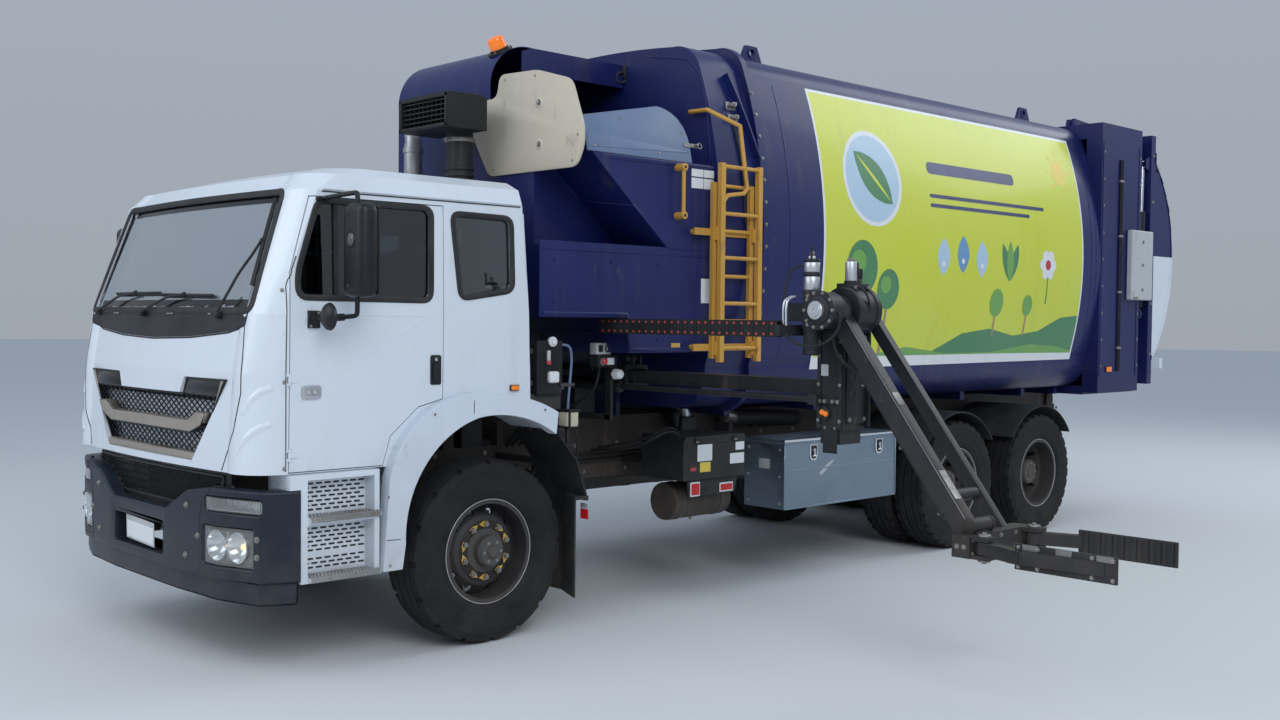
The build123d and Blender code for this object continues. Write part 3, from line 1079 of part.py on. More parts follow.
def build_lifter():
    """Cross slide under the hopper, mast with its rotary actuator, fork arm, head and jaws."""
    half_w, half_h = BEAM_W / 2 + 5, BEAM_H / 2 + 5
    wall = 16
    housing = block(SLIDE_X - half_w - wall, SLIDE_X + half_w + wall, -1150, SLIDE_MOUTH_Y,
                    BEAM_Z - half_h - wall, BEAM_Z + half_h + wall)
    housing -= block(SLIDE_X - half_w, SLIDE_X + half_w, -1160, SLIDE_MOUTH_Y + 10, BEAM_Z - half_h, BEAM_Z + half_h)
    for s in (1, -1):
        housing += block(SLIDE_X - 90, SLIDE_X + 90, s * (RAIL_Y - SILL_W), s * RAIL_Y, FLOOR_Z, BEAM_Z - half_h - 2)
    rod_x, rod_z = SLIDE_ROD
    barrel = rod((rod_x, -560, rod_z), (rod_x, SLIDE_MOUTH_Y - 20, rod_z), 34)
    barrel -= rod((rod_x, -530, rod_z), (rod_x, SLIDE_MOUTH_Y - 60, rod_z), SLIDE_ROD_R + 8)
    for y in (-500, 800):
        barrel += block(SLIDE_X + half_w + wall - 2, rod_x - 20, y, y + 40, rod_z - 20, rod_z + 24)
    barrel -= rod((rod_x, -535, rod_z), (rod_x, SLIDE_MOUTH_Y, rod_z), SLIDE_ROD_R + FIT)
    tray = block(CHAIN_X - 42, CHAIN_X + 42, -500, 900, CHAIN_Z - 48, CHAIN_Z - 40)
    for y in (-470, 440):
        tray += block(CHAIN_X - 20, CHAIN_X + 20, y, y + 30, BEAM_Z, CHAIN_Z - 42)
        tray += block(SLIDE_X + half_w, CHAIN_X + 20, y, y + 30, BEAM_Z - 10, BEAM_Z + 30)
    node("slide_housing", housing + barrel + tray)

    mast_x0, mast_x1 = SLIDE_X - MAST_L / 2, SLIDE_X + MAST_L / 2
    y0, y1 = MAST_Y - MAST_W / 2, MAST_Y + MAST_W / 2
    mast = block(mast_x0, mast_x1, y0, y1, MAST_BOTTOM, PIVOT_Z - 40)
    mast += rod((mast_x0, PIVOT_Y, PIVOT_Z), (mast_x1, PIVOT_Y, PIVOT_Z), 125)
    mast += rod((FRONT_BAR[1] + CLEAR, PIVOT_Y, PIVOT_Z), (-1060, PIVOT_Y, PIVOT_Z), 100)
    mast += rod((-1061, PIVOT_Y, PIVOT_Z), (-1032, PIVOT_Y, PIVOT_Z), 48)
    mast += rod((-1112, PIVOT_Y - 88, 1665), (-1112, PIVOT_Y - 88, 2185), 42)
    mast += block(mast_x1 - 30, -1070, y0 - 60, y0 + 2, PIVOT_Z - 60, PIVOT_Z + 40)
    mast += block(-1130, -1070, y0 - 60, PIVOT_Y - 40, PIVOT_Z - 60, PIVOT_Z + 40)
    mast -= rod((BACK_BAR[0] - 10, PIVOT_Y, PIVOT_Z), (-1115, PIVOT_Y, PIVOT_Z), ARM_SHAFT_R + FIT)
    mast += block(mast_x0 + 10, mast_x1 - 10, y0 + 20, y1 - 20, 1170, MAST_BOTTOM + 2)
    beam_x0, beam_x1 = SLIDE_X - BEAM_W / 2, SLIDE_X + BEAM_W / 2
    beam = block(beam_x0, beam_x1, BEAM_INNER_Y, y0 + 2, BEAM_Z - BEAM_H / 2, BEAM_Z + BEAM_H / 2)
    stem = rod((rod_x, 700, rod_z), (rod_x, y0 + 10, rod_z), SLIDE_ROD_R)
    stem += block(mast_x1 - 4, rod_x + 26, y0 - 30, y0 + 30, rod_z - 30, rod_z + 30)
    carrier = block(mast_x1 - 4, CHAIN_X + 30, y0 - 40, y0 - 10, CHAIN_Z - 30, CHAIN_Z + 30)
    carrier += block(mast_x1 - 60, mast_x1 + 10, y0 - 40, y0 + 10, CHAIN_Z - 30, CHAIN_Z + 30)
    node("mast", mast + beam + stem + carrier)

    links = None
    pitch = 55
    count = int((y0 - 60 - 1000) / pitch)
    for i in range(count):
        y = y0 - 40 - SEAT - pitch * i
        link = block(CHAIN_X - 26, CHAIN_X + 26, y - pitch - 1, y, CHAIN_Z - 26, CHAIN_Z + 26)
        link += block(CHAIN_X - 30, CHAIN_X + 30, y - 40, y - 15, CHAIN_Z - 30, CHAIN_Z + 30)
        links = link if links is None else links + link
    node("energy_chain", links)

    angle = math.radians(ARM_ANGLE)
    way = (0, math.sin(angle), -math.cos(angle))

    def along(distance, x, under=0.0):
        """Place on the arm: distance from the pivot, x, and how far under the bar's middle."""
        y = PIVOT_Y + way[1] * distance + way[2] * under
        return (x, y, PIVOT_Z + way[2] * distance - way[1] * under)

    arm = rod((BACK_BAR[0] - 5, PIVOT_Y, PIVOT_Z), (-1120, PIVOT_Y, PIVOT_Z), ARM_SHAFT_R)
    for (x0, x1), hub_r, height in ((FRONT_BAR, 85, 105), (BACK_BAR, 62, 70)):
        middle = (x0 + x1) / 2
        arm += rod((x0, PIVOT_Y, PIVOT_Z), (x1, PIVOT_Y, PIVOT_Z), hub_r)
        arm += bar_between(along(0, middle), along(ARM_LENGTH, middle), x1 - x0, height)
    arm += rod(along(1190, BACK_BAR[1]), along(1190, FRONT_BAR[0]), 32)
    hose_x = (FRONT_BAR[0] + FRONT_BAR[1]) / 2
    for distance in HOSE_CLIPS:
        middle = along(distance, hose_x, 62)
        end = along(distance + 26, hose_x, 62)
        arm += bar_between(middle, end, 58, 30)
    for x in (hose_x - 13, hose_x + 13):
        arm += rod(along(HOSE_CLIPS[0] - 60, x, 67), along(HOSE_CLIPS[-1] + 60, x, 67), HOSE_R)
    head = block(SLIDE_X - 290, SLIDE_X + 290, HEAD_Y - 40, HEAD_Y + 60, HEAD_Z - 55, HEAD_Z + 55)
    for s in (1, -1):
        x = SLIDE_X + s * JAW_PIN_X
        for z in (HEAD_Z - 55, HEAD_Z + 35):
            head += block(x - 45, x + 45, HEAD_Y + 50, JAW_PIN_Y + 45, z, z + 20)
        head += rod((x, JAW_PIN_Y, HEAD_Z - 55), (x, JAW_PIN_Y, HEAD_Z + 55), JAW_PIN_R)
    node("lift_arm", arm + head)

    for name, s in (("front", 1), ("rear", -1)):
        x = SLIDE_X + s * JAW_PIN_X
        face = SLIDE_X + s * GRIP_HALF
        knee_y = JAW_PIN_Y + 250
        tip_y = JAW_PIN_Y + 660
        jaw = Pos(x, JAW_PIN_Y, HEAD_Z) * Cylinder(40, 64)
        low, high = HEAD_Z - 32, HEAD_Z + 32
        root = [(x - s * 30, JAW_PIN_Y), (x + s * 36, JAW_PIN_Y), (face + s * 60, knee_y), (face, knee_y)]
        finger = [(face, knee_y - 60), (face + s * 50, knee_y - 60), (face + s * 18, tip_y), (face, tip_y)]
        jaw += plan_plate(root, low, high) + plan_plate(finger, low, high)
        jaw += block(face, face + s * 12, knee_y - 40, tip_y + 60, HEAD_Z - 62, HEAD_Z + 62)
        jaw -= Pos(x, JAW_PIN_Y, HEAD_Z) * Cylinder(JAW_PIN_R + FIT, 90)
        node(f"jaw_{name}", jaw)


def build_mirrors():
    """Tall door mirrors with tube arms and a small round wide-angle mirror."""
    for side, s in (("left", 1), ("right", -1)):
        head = fillet(block(940, 1060, s * 1330, s * 1530, 1945, 2420).edges(), 25)
        arm = tube_line([(1000, s * 1400, 2400), (1000, s * 1400, 2470), (1060, s * 1150, 2450)], 12)
        arm += tube_line([(1000, s * 1400, 1960), (1000, s * 1400, 1855), (1120, s * 1150, 1830)], 12)
        small = rod((1110, s * 1330, 1850), (1150, s * 1330, 1850), 70)
        small += rod((1060, s * 1285, 1845), (1120, s * 1330, 1850), 10)
        plate = block(1080, 1150, s * 1140, s * 1184, 1790, 1880) + block(1020, 1095, s * 1130, s * 1166, 2438, 2460)
        node(f"mirror_{side}", head + arm + small + plate - cab_form(-SEAT))


def build_all():
    build_wheels()
    build_axles()
    build_springs()
    build_chassis()
    build_underbody()
    build_cab()
    build_grille()
    build_bumper()
    build_front()
    build_stacks()
    build_body()
    build_tailgate()
    build_lifter()
    build_mirrors()


build_all()

# The origin goes under the middle of the whole object: bumper to tailgate, right side to the jaws' tips.
FRONT_END = BUMPER_FRONT
REAR_END = -8660
LEFT_END = JAW_PIN_Y + 720
RIGHT_END = -1530
SHIFT = (-(FRONT_END + REAR_END) / 2, -(LEFT_END + RIGHT_END) / 2, 0)
os.makedirs("parts", exist_ok=True)
for name, solids in NODES.items():
    moved = [Pos(*SHIFT) * solid for solid in solids]
    export_step(Compound(children=moved), f"parts/{name}.step")
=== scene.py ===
import json
import math

import bmesh
import bpy
from mathutils import Matrix, Vector
from mathutils.bvhtree import BVHTree

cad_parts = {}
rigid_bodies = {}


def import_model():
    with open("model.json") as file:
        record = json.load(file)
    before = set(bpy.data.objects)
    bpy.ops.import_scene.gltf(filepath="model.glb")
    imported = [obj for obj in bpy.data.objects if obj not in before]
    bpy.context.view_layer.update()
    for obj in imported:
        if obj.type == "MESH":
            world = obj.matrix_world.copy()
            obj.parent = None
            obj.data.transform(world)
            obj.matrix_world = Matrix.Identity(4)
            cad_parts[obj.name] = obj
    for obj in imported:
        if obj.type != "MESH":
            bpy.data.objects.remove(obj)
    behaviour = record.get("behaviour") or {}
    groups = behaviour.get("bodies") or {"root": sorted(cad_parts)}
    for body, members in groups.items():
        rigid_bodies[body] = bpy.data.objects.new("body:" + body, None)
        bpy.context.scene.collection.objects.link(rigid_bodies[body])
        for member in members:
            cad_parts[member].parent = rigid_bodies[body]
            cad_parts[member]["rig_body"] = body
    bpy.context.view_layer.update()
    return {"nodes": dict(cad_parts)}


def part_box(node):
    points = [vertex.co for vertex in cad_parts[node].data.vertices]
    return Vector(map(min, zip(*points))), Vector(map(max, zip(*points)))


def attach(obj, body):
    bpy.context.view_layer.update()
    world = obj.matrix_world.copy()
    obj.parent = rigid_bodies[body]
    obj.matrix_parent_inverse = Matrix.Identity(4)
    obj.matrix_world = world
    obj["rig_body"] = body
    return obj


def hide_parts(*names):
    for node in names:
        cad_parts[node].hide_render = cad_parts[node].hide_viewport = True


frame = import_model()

bl_info = {
    "name": "Side-loading garbage truck",
    "version": (1, 0, 0),
    "blender": (4, 5, 0),
    "location": "View3D > Sidebar > Garbage truck",
    "description": "Dresses the packed truck with tyres, trim, paint, lamps, hoses and a studio",
    "category": "Object",
}

# Places below are in metres in the truck's own frame: x forwards from the front axle, y to its left, z up.
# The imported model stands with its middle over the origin, so every mesh is moved by this much.
TYRE_LOW, TYRE_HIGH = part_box("tyre_front_left")
TYRE_R = (TYRE_HIGH.z - TYRE_LOW.z) / 2
TYRE_W = TYRE_HIGH.y - TYRE_LOW.y
FRONT_WHEEL_Y = 1.05
TRUCK_TO_ROOM = Vector(((TYRE_LOW.x + TYRE_HIGH.x) / 2, (TYRE_LOW.y + TYRE_HIGH.y) / 2 - FRONT_WHEEL_Y,
                        0.0))
REAR_OUTER_Y = 1.07
TWIN_SPACING = 0.34
AXLES_X = {"mid": -4.75, "rear": -6.05}
HUB_Z = TYRE_R
SIDES = (("left", 1), ("right", -1))


# Sizes and colours that a user may change

def colour_prop(name, description, default):
    """Colour of one finish, for the sidebar."""
    return bpy.props.FloatVectorProperty(name=name, description=description, subtype="COLOR", size=3, min=0,
                                         max=1, default=default)


def length_prop(name, description, default):
    """Length in metres, for the sidebar."""
    return bpy.props.FloatProperty(name=name, description=description, default=default, min=0.0005,
                                   unit="LENGTH")


class TruckColours(bpy.types.PropertyGroup):
    """Paint and plastic colours."""
    # Default cab colour is tinted blue and darkened from white: painted blue shade light, not the paint's own
    # tone.
    cab: colour_prop("Cab", "White of the cab, flares and steps", (0.7, 0.755, 0.82))
    body: colour_prop("Body", "Navy of the hopper and barrel", (0.0055, 0.0105, 0.082))
    bumper: colour_prop("Bumper", "Dark blue-grey of the bumper", (0.0095, 0.0155, 0.028))
    banner: colour_prop("Banner", "Lime yellow of the side banner", (0.6, 0.66, 0.035))
    ladder: colour_prop("Ladder", "Ochre of the ladder and rails", (0.62, 0.33, 0.055))
    shield: colour_prop("Shield", "Beige of the front shield", (0.52, 0.46, 0.36))
    covers: colour_prop("Covers", "Pale grey of lock covers and flap", (0.46, 0.48, 0.49))
    lifter: colour_prop("Lifter", "Near-black of the lifting arm", (0.014, 0.0155, 0.019))
    chassis: colour_prop("Chassis", "Brown-black of the chassis", (0.026, 0.02, 0.018))
    # Default tool box colour is darker and bluer than bare aluminium: painted blue shade light.
    box: colour_prop("Tool box", "Bare aluminium of the tool box", (0.27, 0.335, 0.41))


class TruckSizes(bpy.types.PropertyGroup):
    """Sizes of the details that this script adds."""
    tread_depth: length_prop("Tread depth", "Height of the tread blocks", 0.012)
    stud_radius: length_prop("Stud radius", "Half the width of a wheel nut", 0.0165)
    edge_round: length_prop("Edge rounding", "Radius on the edges of plates", 0.004)
    hose_radius: length_prop("Hose radius", "Half the thickness of a hydraulic hose", 0.011)
    mesh_bar: length_prop("Mesh bar", "Width of a bar in the grille's mesh", 0.0055)
    banner_margin: length_prop("Banner margin", "White edge round the banner", 0.022)


def colours():
    """The colours in use."""
    return bpy.context.scene.truck_colours


def sizes():
    """The sizes in use."""
    return bpy.context.scene.truck_sizes


# Nodes

GROUPS = {}
FINISHES = {}


def put(tree, kind, inputs=None, **settings):
    """Shader node with its settings, then its inputs: a socket is linked, anything else is the value."""
    item = tree.nodes.new("ShaderNode" + kind)
    for key, value in settings.items():
        setattr(item, key, value)
    for key, value in (inputs or {}).items():
        if isinstance(value, bpy.types.NodeSocket):
            tree.links.new(value, item.inputs[key])
        else:
            item.inputs[key].default_value = value
    return item


def blotches(tree, place, scale, low, high, stretch=(1, 1, 1), detail=5.0):
    """Mask from noise: 0 below the low level, 1 above the high one."""
    spot = put(tree, "Mapping", {"Vector": place, "Scale": stretch}).outputs[0]
    noise = put(tree, "TexNoise", {"Vector": spot, "Scale": scale, "Detail": detail, "Roughness": 0.62})
    return put(tree, "MapRange", {"Value": noise.outputs[0], "From Min": low, "From Max": high}).outputs[0]


def mixed(tree, amount, first, second):
    """Colour between two, by an amount."""
    return put(tree, "Mix", {0: amount, 6: first, 7: second}, data_type="RGBA").outputs[2]


def times(tree, first, second, operation="MULTIPLY"):
    """Two values joined by a sum or product."""
    return put(tree, "Math", {0: first, 1: second}, operation=operation, use_clamp=True).outputs[0]


def raised(tree, start, amount, share, clamp=False):
    """A value raised by a share of an amount."""
    return put(tree, "Math", {0: amount, 1: share, 2: start}, operation="MULTIPLY_ADD",
               use_clamp=clamp).outputs[0]


def near_road(tree, place, top, scale, low, high):
    """Patchy mask that grows from a height down to the road."""
    height = put(tree, "SeparateXYZ", {0: place}).outputs[2]
    level = put(tree, "MapRange", {"Value": height, "From Min": top, "From Max": 0.1}).outputs[0]
    return times(tree, level, blotches(tree, place, scale, low, high))


def set_inputs(item, values):
    """Values of a node's inputs, by name."""
    for key, value in values.items():
        item.inputs[key].default_value = value


def new_material(name):
    """Material kept under its name, with its tree and its main shader."""
    material = bpy.data.materials.new(name)
    material.use_nodes = True
    FINISHES[name] = material
    return material.node_tree, material.node_tree.nodes["Principled BSDF"]


def effect_group(name, inputs, outputs):
    """Empty node group with named sockets; returns its tree, its input node and its output node."""
    tree = bpy.data.node_groups.new(name, "ShaderNodeTree")
    for label, value in inputs:
        kind = "NodeSocketColor" if isinstance(value, tuple) else "NodeSocketFloat"
        socket = tree.interface.new_socket(label, in_out="INPUT", socket_type=kind)
        socket.default_value = value
    for label, kind in outputs:
        tree.interface.new_socket(label, in_out="OUTPUT", socket_type=kind)
    return tree, tree.nodes.new("NodeGroupInput"), tree.nodes.new("NodeGroupOutput")


SURFACE_OUTPUTS = (("Color", "NodeSocketColor"), ("Roughness", "NodeSocketFloat"),
                   ("Metallic", "NodeSocketFloat"), ("Height", "NodeSocketFloat"))


def worn_paint_group():
    """Paint that fades in patches, runs with dirt, is scuffed to what lies under it and is dusty below."""
    tree, given, result = effect_group("Worn paint", (
        ("Paint", (0.5, 0.5, 0.5, 1.0)), ("Faded", (0.6, 0.6, 0.6, 1.0)), ("Bare", (0.3, 0.3, 0.3, 1.0)),
        ("Dirt", (0.2, 0.17, 0.13, 1.0)), ("Fading", 0.4), ("Scuffs", 0.2), ("Streaks", 0.2), ("Dust", 0.3),
        ("Dust top", 1.2), ("Gloss", 0.35), ("Grain", 0.2), ("Bare metal", 0.0)), SURFACE_OUTPUTS)
    place = put(tree, "TexCoord").outputs["Object"]
    fade = times(tree, blotches(tree, place, 1.1, 0.35, 0.7), given.outputs["Fading"])
    streak = blotches(tree, place, 5.0, 0.54, 0.74, (1.0, 1.0, 0.08))
    streak = times(tree, times(tree, streak, blotches(tree, place, 0.9, 0.4, 0.6)),
                   given.outputs["Streaks"])
    scuff = times(tree, blotches(tree, place, 9.0, 0.6, 0.66, (1, 1, 0.45), 9.0),
                  blotches(tree, place, 1.7, 0.46, 0.62))
    scuff = times(tree, scuff, given.outputs["Scuffs"])
    scratch = times(tree, blotches(tree, place, 34.0, 0.66, 0.7, (0.12, 0.12, 1.0), 3.0),
                    blotches(tree, place, 2.6, 0.5, 0.6))
    scratch = times(tree, scratch, given.outputs["Scuffs"])
    bare = times(tree, scuff, scratch, "ADD")
    dust = times(tree, near_road(tree, place, given.outputs["Dust top"], 3.5, 0.25, 0.75),
                 given.outputs["Dust"])
    colour = mixed(tree, fade, given.outputs["Paint"], given.outputs["Faded"])
    colour = mixed(tree, streak, colour, given.outputs["Dirt"])
    colour = mixed(tree, bare, colour, given.outputs["Bare"])
    colour = mixed(tree, dust, colour, given.outputs["Dirt"])
    rough = raised(tree, raised(tree, given.outputs["Gloss"], dust, 0.45), bare, 0.25)
    rough = raised(tree, rough, fade, 0.12, clamp=True)
    orange = put(tree, "TexNoise", {"Vector": place, "Scale": 260.0, "Detail": 1.0}).outputs[0]
    grain = times(tree, orange, given.outputs["Grain"])
    relief = raised(tree, grain, bare, -0.6)
    tree.links.new(colour, result.inputs["Color"])
    tree.links.new(rough, result.inputs["Roughness"])
    tree.links.new(times(tree, bare, given.outputs["Bare metal"]), result.inputs["Metallic"])
    tree.links.new(relief, result.inputs["Height"])
    return tree


def moulded_group():
    """Plastic or rubber with fine grain, greyed by the sun in patches and dusty near the road."""
    tree, given, result = effect_group(
        "Moulded",
        (("Paint", (0.02, 0.02, 0.02, 1.0)), ("Faded", (0.06, 0.06, 0.06, 1.0)),
         ("Dirt", (0.2, 0.17, 0.13, 1.0)), ("Fading", 0.5), ("Dust", 0.3), ("Dust top", 1.2),
         ("Gloss", 0.5), ("Grain size", 400.0)), SURFACE_OUTPUTS)
    place = put(tree, "TexCoord").outputs["Object"]
    fade = times(tree, blotches(tree, place, 4.0, 0.35, 0.7), given.outputs["Fading"])
    dust = times(tree, near_road(tree, place, given.outputs["Dust top"], 6.0, 0.3, 0.7),
                 given.outputs["Dust"])
    colour = mixed(tree, fade, given.outputs["Paint"], given.outputs["Faded"])
    colour = mixed(tree, dust, colour, given.outputs["Dirt"])
    rough = raised(tree, raised(tree, given.outputs["Gloss"], fade, 0.15), dust, 0.3, clamp=True)
    cells = put(tree, "TexVoronoi", {"Vector": place, "Scale": given.outputs["Grain size"]}).outputs[0]
    tree.links.new(colour, result.inputs["Color"])
    tree.links.new(rough, result.inputs["Roughness"])
    tree.links.new(cells, result.inputs["Height"])
    return tree


def metal_group():
    """Bare metal: fine lines one way, cloudy tarnish and pits."""
    tree, given, result = effect_group(
        "Bare metal",
        (("Paint", (0.6, 0.6, 0.6, 1.0)), ("Tarnish", (0.2, 0.15, 0.1, 1.0)), ("Tarnishing", 0.4),
         ("Gloss", 0.25), ("Lines", 0.3)), SURFACE_OUTPUTS)
    place = put(tree, "TexCoord").outputs["Object"]
    cloud = times(tree, blotches(tree, place, 3.0, 0.42, 0.7, (1, 1, 1), 8.0), given.outputs["Tarnishing"])
    spots = times(tree, blotches(tree, place, 40.0, 0.6, 0.7), given.outputs["Tarnishing"])
    tarnish = times(tree, cloud, spots, "ADD")
    colour = mixed(tree, tarnish, given.outputs["Paint"], given.outputs["Tarnish"])
    line = blotches(tree, place, 90.0, 0.3, 0.7, (0.04, 0.04, 1.0), 2.0)
    rough = raised(tree, raised(tree, given.outputs["Gloss"], tarnish, 0.5), line, 0.12, clamp=True)
    metallic = raised(tree, 1.0, tarnish, -0.8, clamp=True)
    tree.links.new(colour, result.inputs["Color"])
    tree.links.new(rough, result.inputs["Roughness"])
    tree.links.new(metallic, result.inputs["Metallic"])
    tree.links.new(times(tree, line, given.outputs["Lines"]), result.inputs["Height"])
    return tree


DIRT = (0.17, 0.145, 0.115)
RUST = (0.16, 0.062, 0.026)


def group_tree(kind):
    """Node group by name, built once."""
    makers = {"paint": worn_paint_group, "moulded": moulded_group, "metal": metal_group}
    if kind not in GROUPS:
        GROUPS[kind] = makers[kind]()
    return GROUPS[kind]


def finish(name, kind, bump=0.1, coat=0.0, specular=0.5, **values):
    """Material from an effect group with its own values, kept under the name."""
    tree, shader = new_material(name)
    effect = put(tree, "Group", node_tree=group_tree(kind))
    for label, value in values.items():
        socket = effect.inputs[label.replace("_", " ")]
        socket.default_value = (*value, 1.0) if isinstance(value, tuple) else value
    tree.links.new(effect.outputs["Color"], shader.inputs["Base Color"])
    tree.links.new(effect.outputs["Roughness"], shader.inputs["Roughness"])
    if kind == "metal" or values.get("Bare_metal"):
        tree.links.new(effect.outputs["Metallic"], shader.inputs["Metallic"])
    relief = put(tree, "Bump", {"Height": effect.outputs["Height"], "Strength": bump, "Distance": 0.002})
    tree.links.new(relief.outputs[0], shader.inputs["Normal"])
    set_inputs(shader, {"Coat Weight": coat, "Coat Roughness": 0.08, "Specular IOR Level": specular})


def clear_finish(name, colour, transmission, roughness=0.02, glow=0.0, coat_ior=0.0, metallic=0.0):
    """Glass, lens or mirror plastic."""
    tree, shader = new_material(name)
    place = put(tree, "TexCoord").outputs["Object"]
    smear = blotches(tree, place, 3.0, 0.3, 0.8)
    tree.links.new(raised(tree, roughness, smear, 0.04), shader.inputs["Roughness"])
    set_inputs(shader, {"Base Color": (*colour, 1.0), "Transmission Weight": transmission, "IOR": 1.45,
                        "Metallic": metallic})
    if coat_ior:
        set_inputs(shader, {"Coat Weight": 1.0, "Coat IOR": coat_ior, "Coat Roughness": 0.01})
    if glow:
        set_inputs(shader, {"Emission Color": (*colour, 1.0), "Emission Strength": glow})


def two_tone_finish(name, upper, lower, top=2.53, edge=-8.097):
    """Paint of one finish, with another below a height and behind an edge, both in truck places."""
    material = FINISHES[upper].copy()
    material.name = name
    tree = material.node_tree
    shader = tree.nodes["Principled BSDF"]
    first = next(item for item in tree.nodes if item.type == "GROUP")
    other = next(item for item in FINISHES[lower].node_tree.nodes if item.type == "GROUP")
    second = put(tree, "Group", node_tree=other.node_tree)
    for socket in other.inputs:
        second.inputs[socket.name].default_value = socket.default_value
    x, _y, z = put(tree, "SeparateXYZ", {0: put(tree, "TexCoord").outputs["Object"]}).outputs
    low = put(tree, "Math", {0: z, 1: top}, operation="LESS_THAN").outputs[0]
    behind = put(tree, "Math", {0: x, 1: edge + TRUCK_TO_ROOM.x}, operation="LESS_THAN").outputs[0]
    colour = mixed(tree, times(tree, low, behind), first.outputs["Color"], second.outputs["Color"])
    tree.links.new(colour, shader.inputs["Base Color"])
    FINISHES[name] = material


def woven_finish(name, yarn, worn):
    """Seat cloth: crossed yarns, worn paler in patches."""
    tree, shader = new_material(name)
    place = put(tree, "TexCoord").outputs["Object"]
    across = put(tree, "TexWave", {"Vector": place, "Scale": 150.0, "Distortion": 0.4},
                 bands_direction="Y").outputs[1]
    along = put(tree, "TexWave", {"Vector": place, "Scale": 150.0, "Distortion": 0.4},
                bands_direction="DIAGONAL").outputs[1]
    weave = times(tree, across, along)
    patches = blotches(tree, place, 5.0, 0.35, 0.7)
    colour = mixed(tree, times(tree, patches, 0.6), (*yarn, 1.0), (*worn, 1.0))
    colour = mixed(tree, times(tree, weave, 0.35), colour, (*darker(yarn, 0.6), 1.0))
    tree.links.new(colour, shader.inputs["Base Color"])
    relief = put(tree, "Bump", {"Height": weave, "Strength": 0.4, "Distance": 0.001})
    tree.links.new(relief.outputs[0], shader.inputs["Normal"])
    set_inputs(shader, {"Roughness": 0.85, "Sheen Weight": 0.25, "Specular IOR Level": 0.2})


def tuple_of(value):
    """Plain tuple from a colour property."""
    return tuple(value[i] for i in range(3))


def lighter(colour, amount):
    """Colour moved towards white."""
    return tuple(c + (1 - c) * amount for c in colour)


def darker(colour, amount):
    """Colour moved towards black."""
    return tuple(c * (1 - amount) for c in colour)


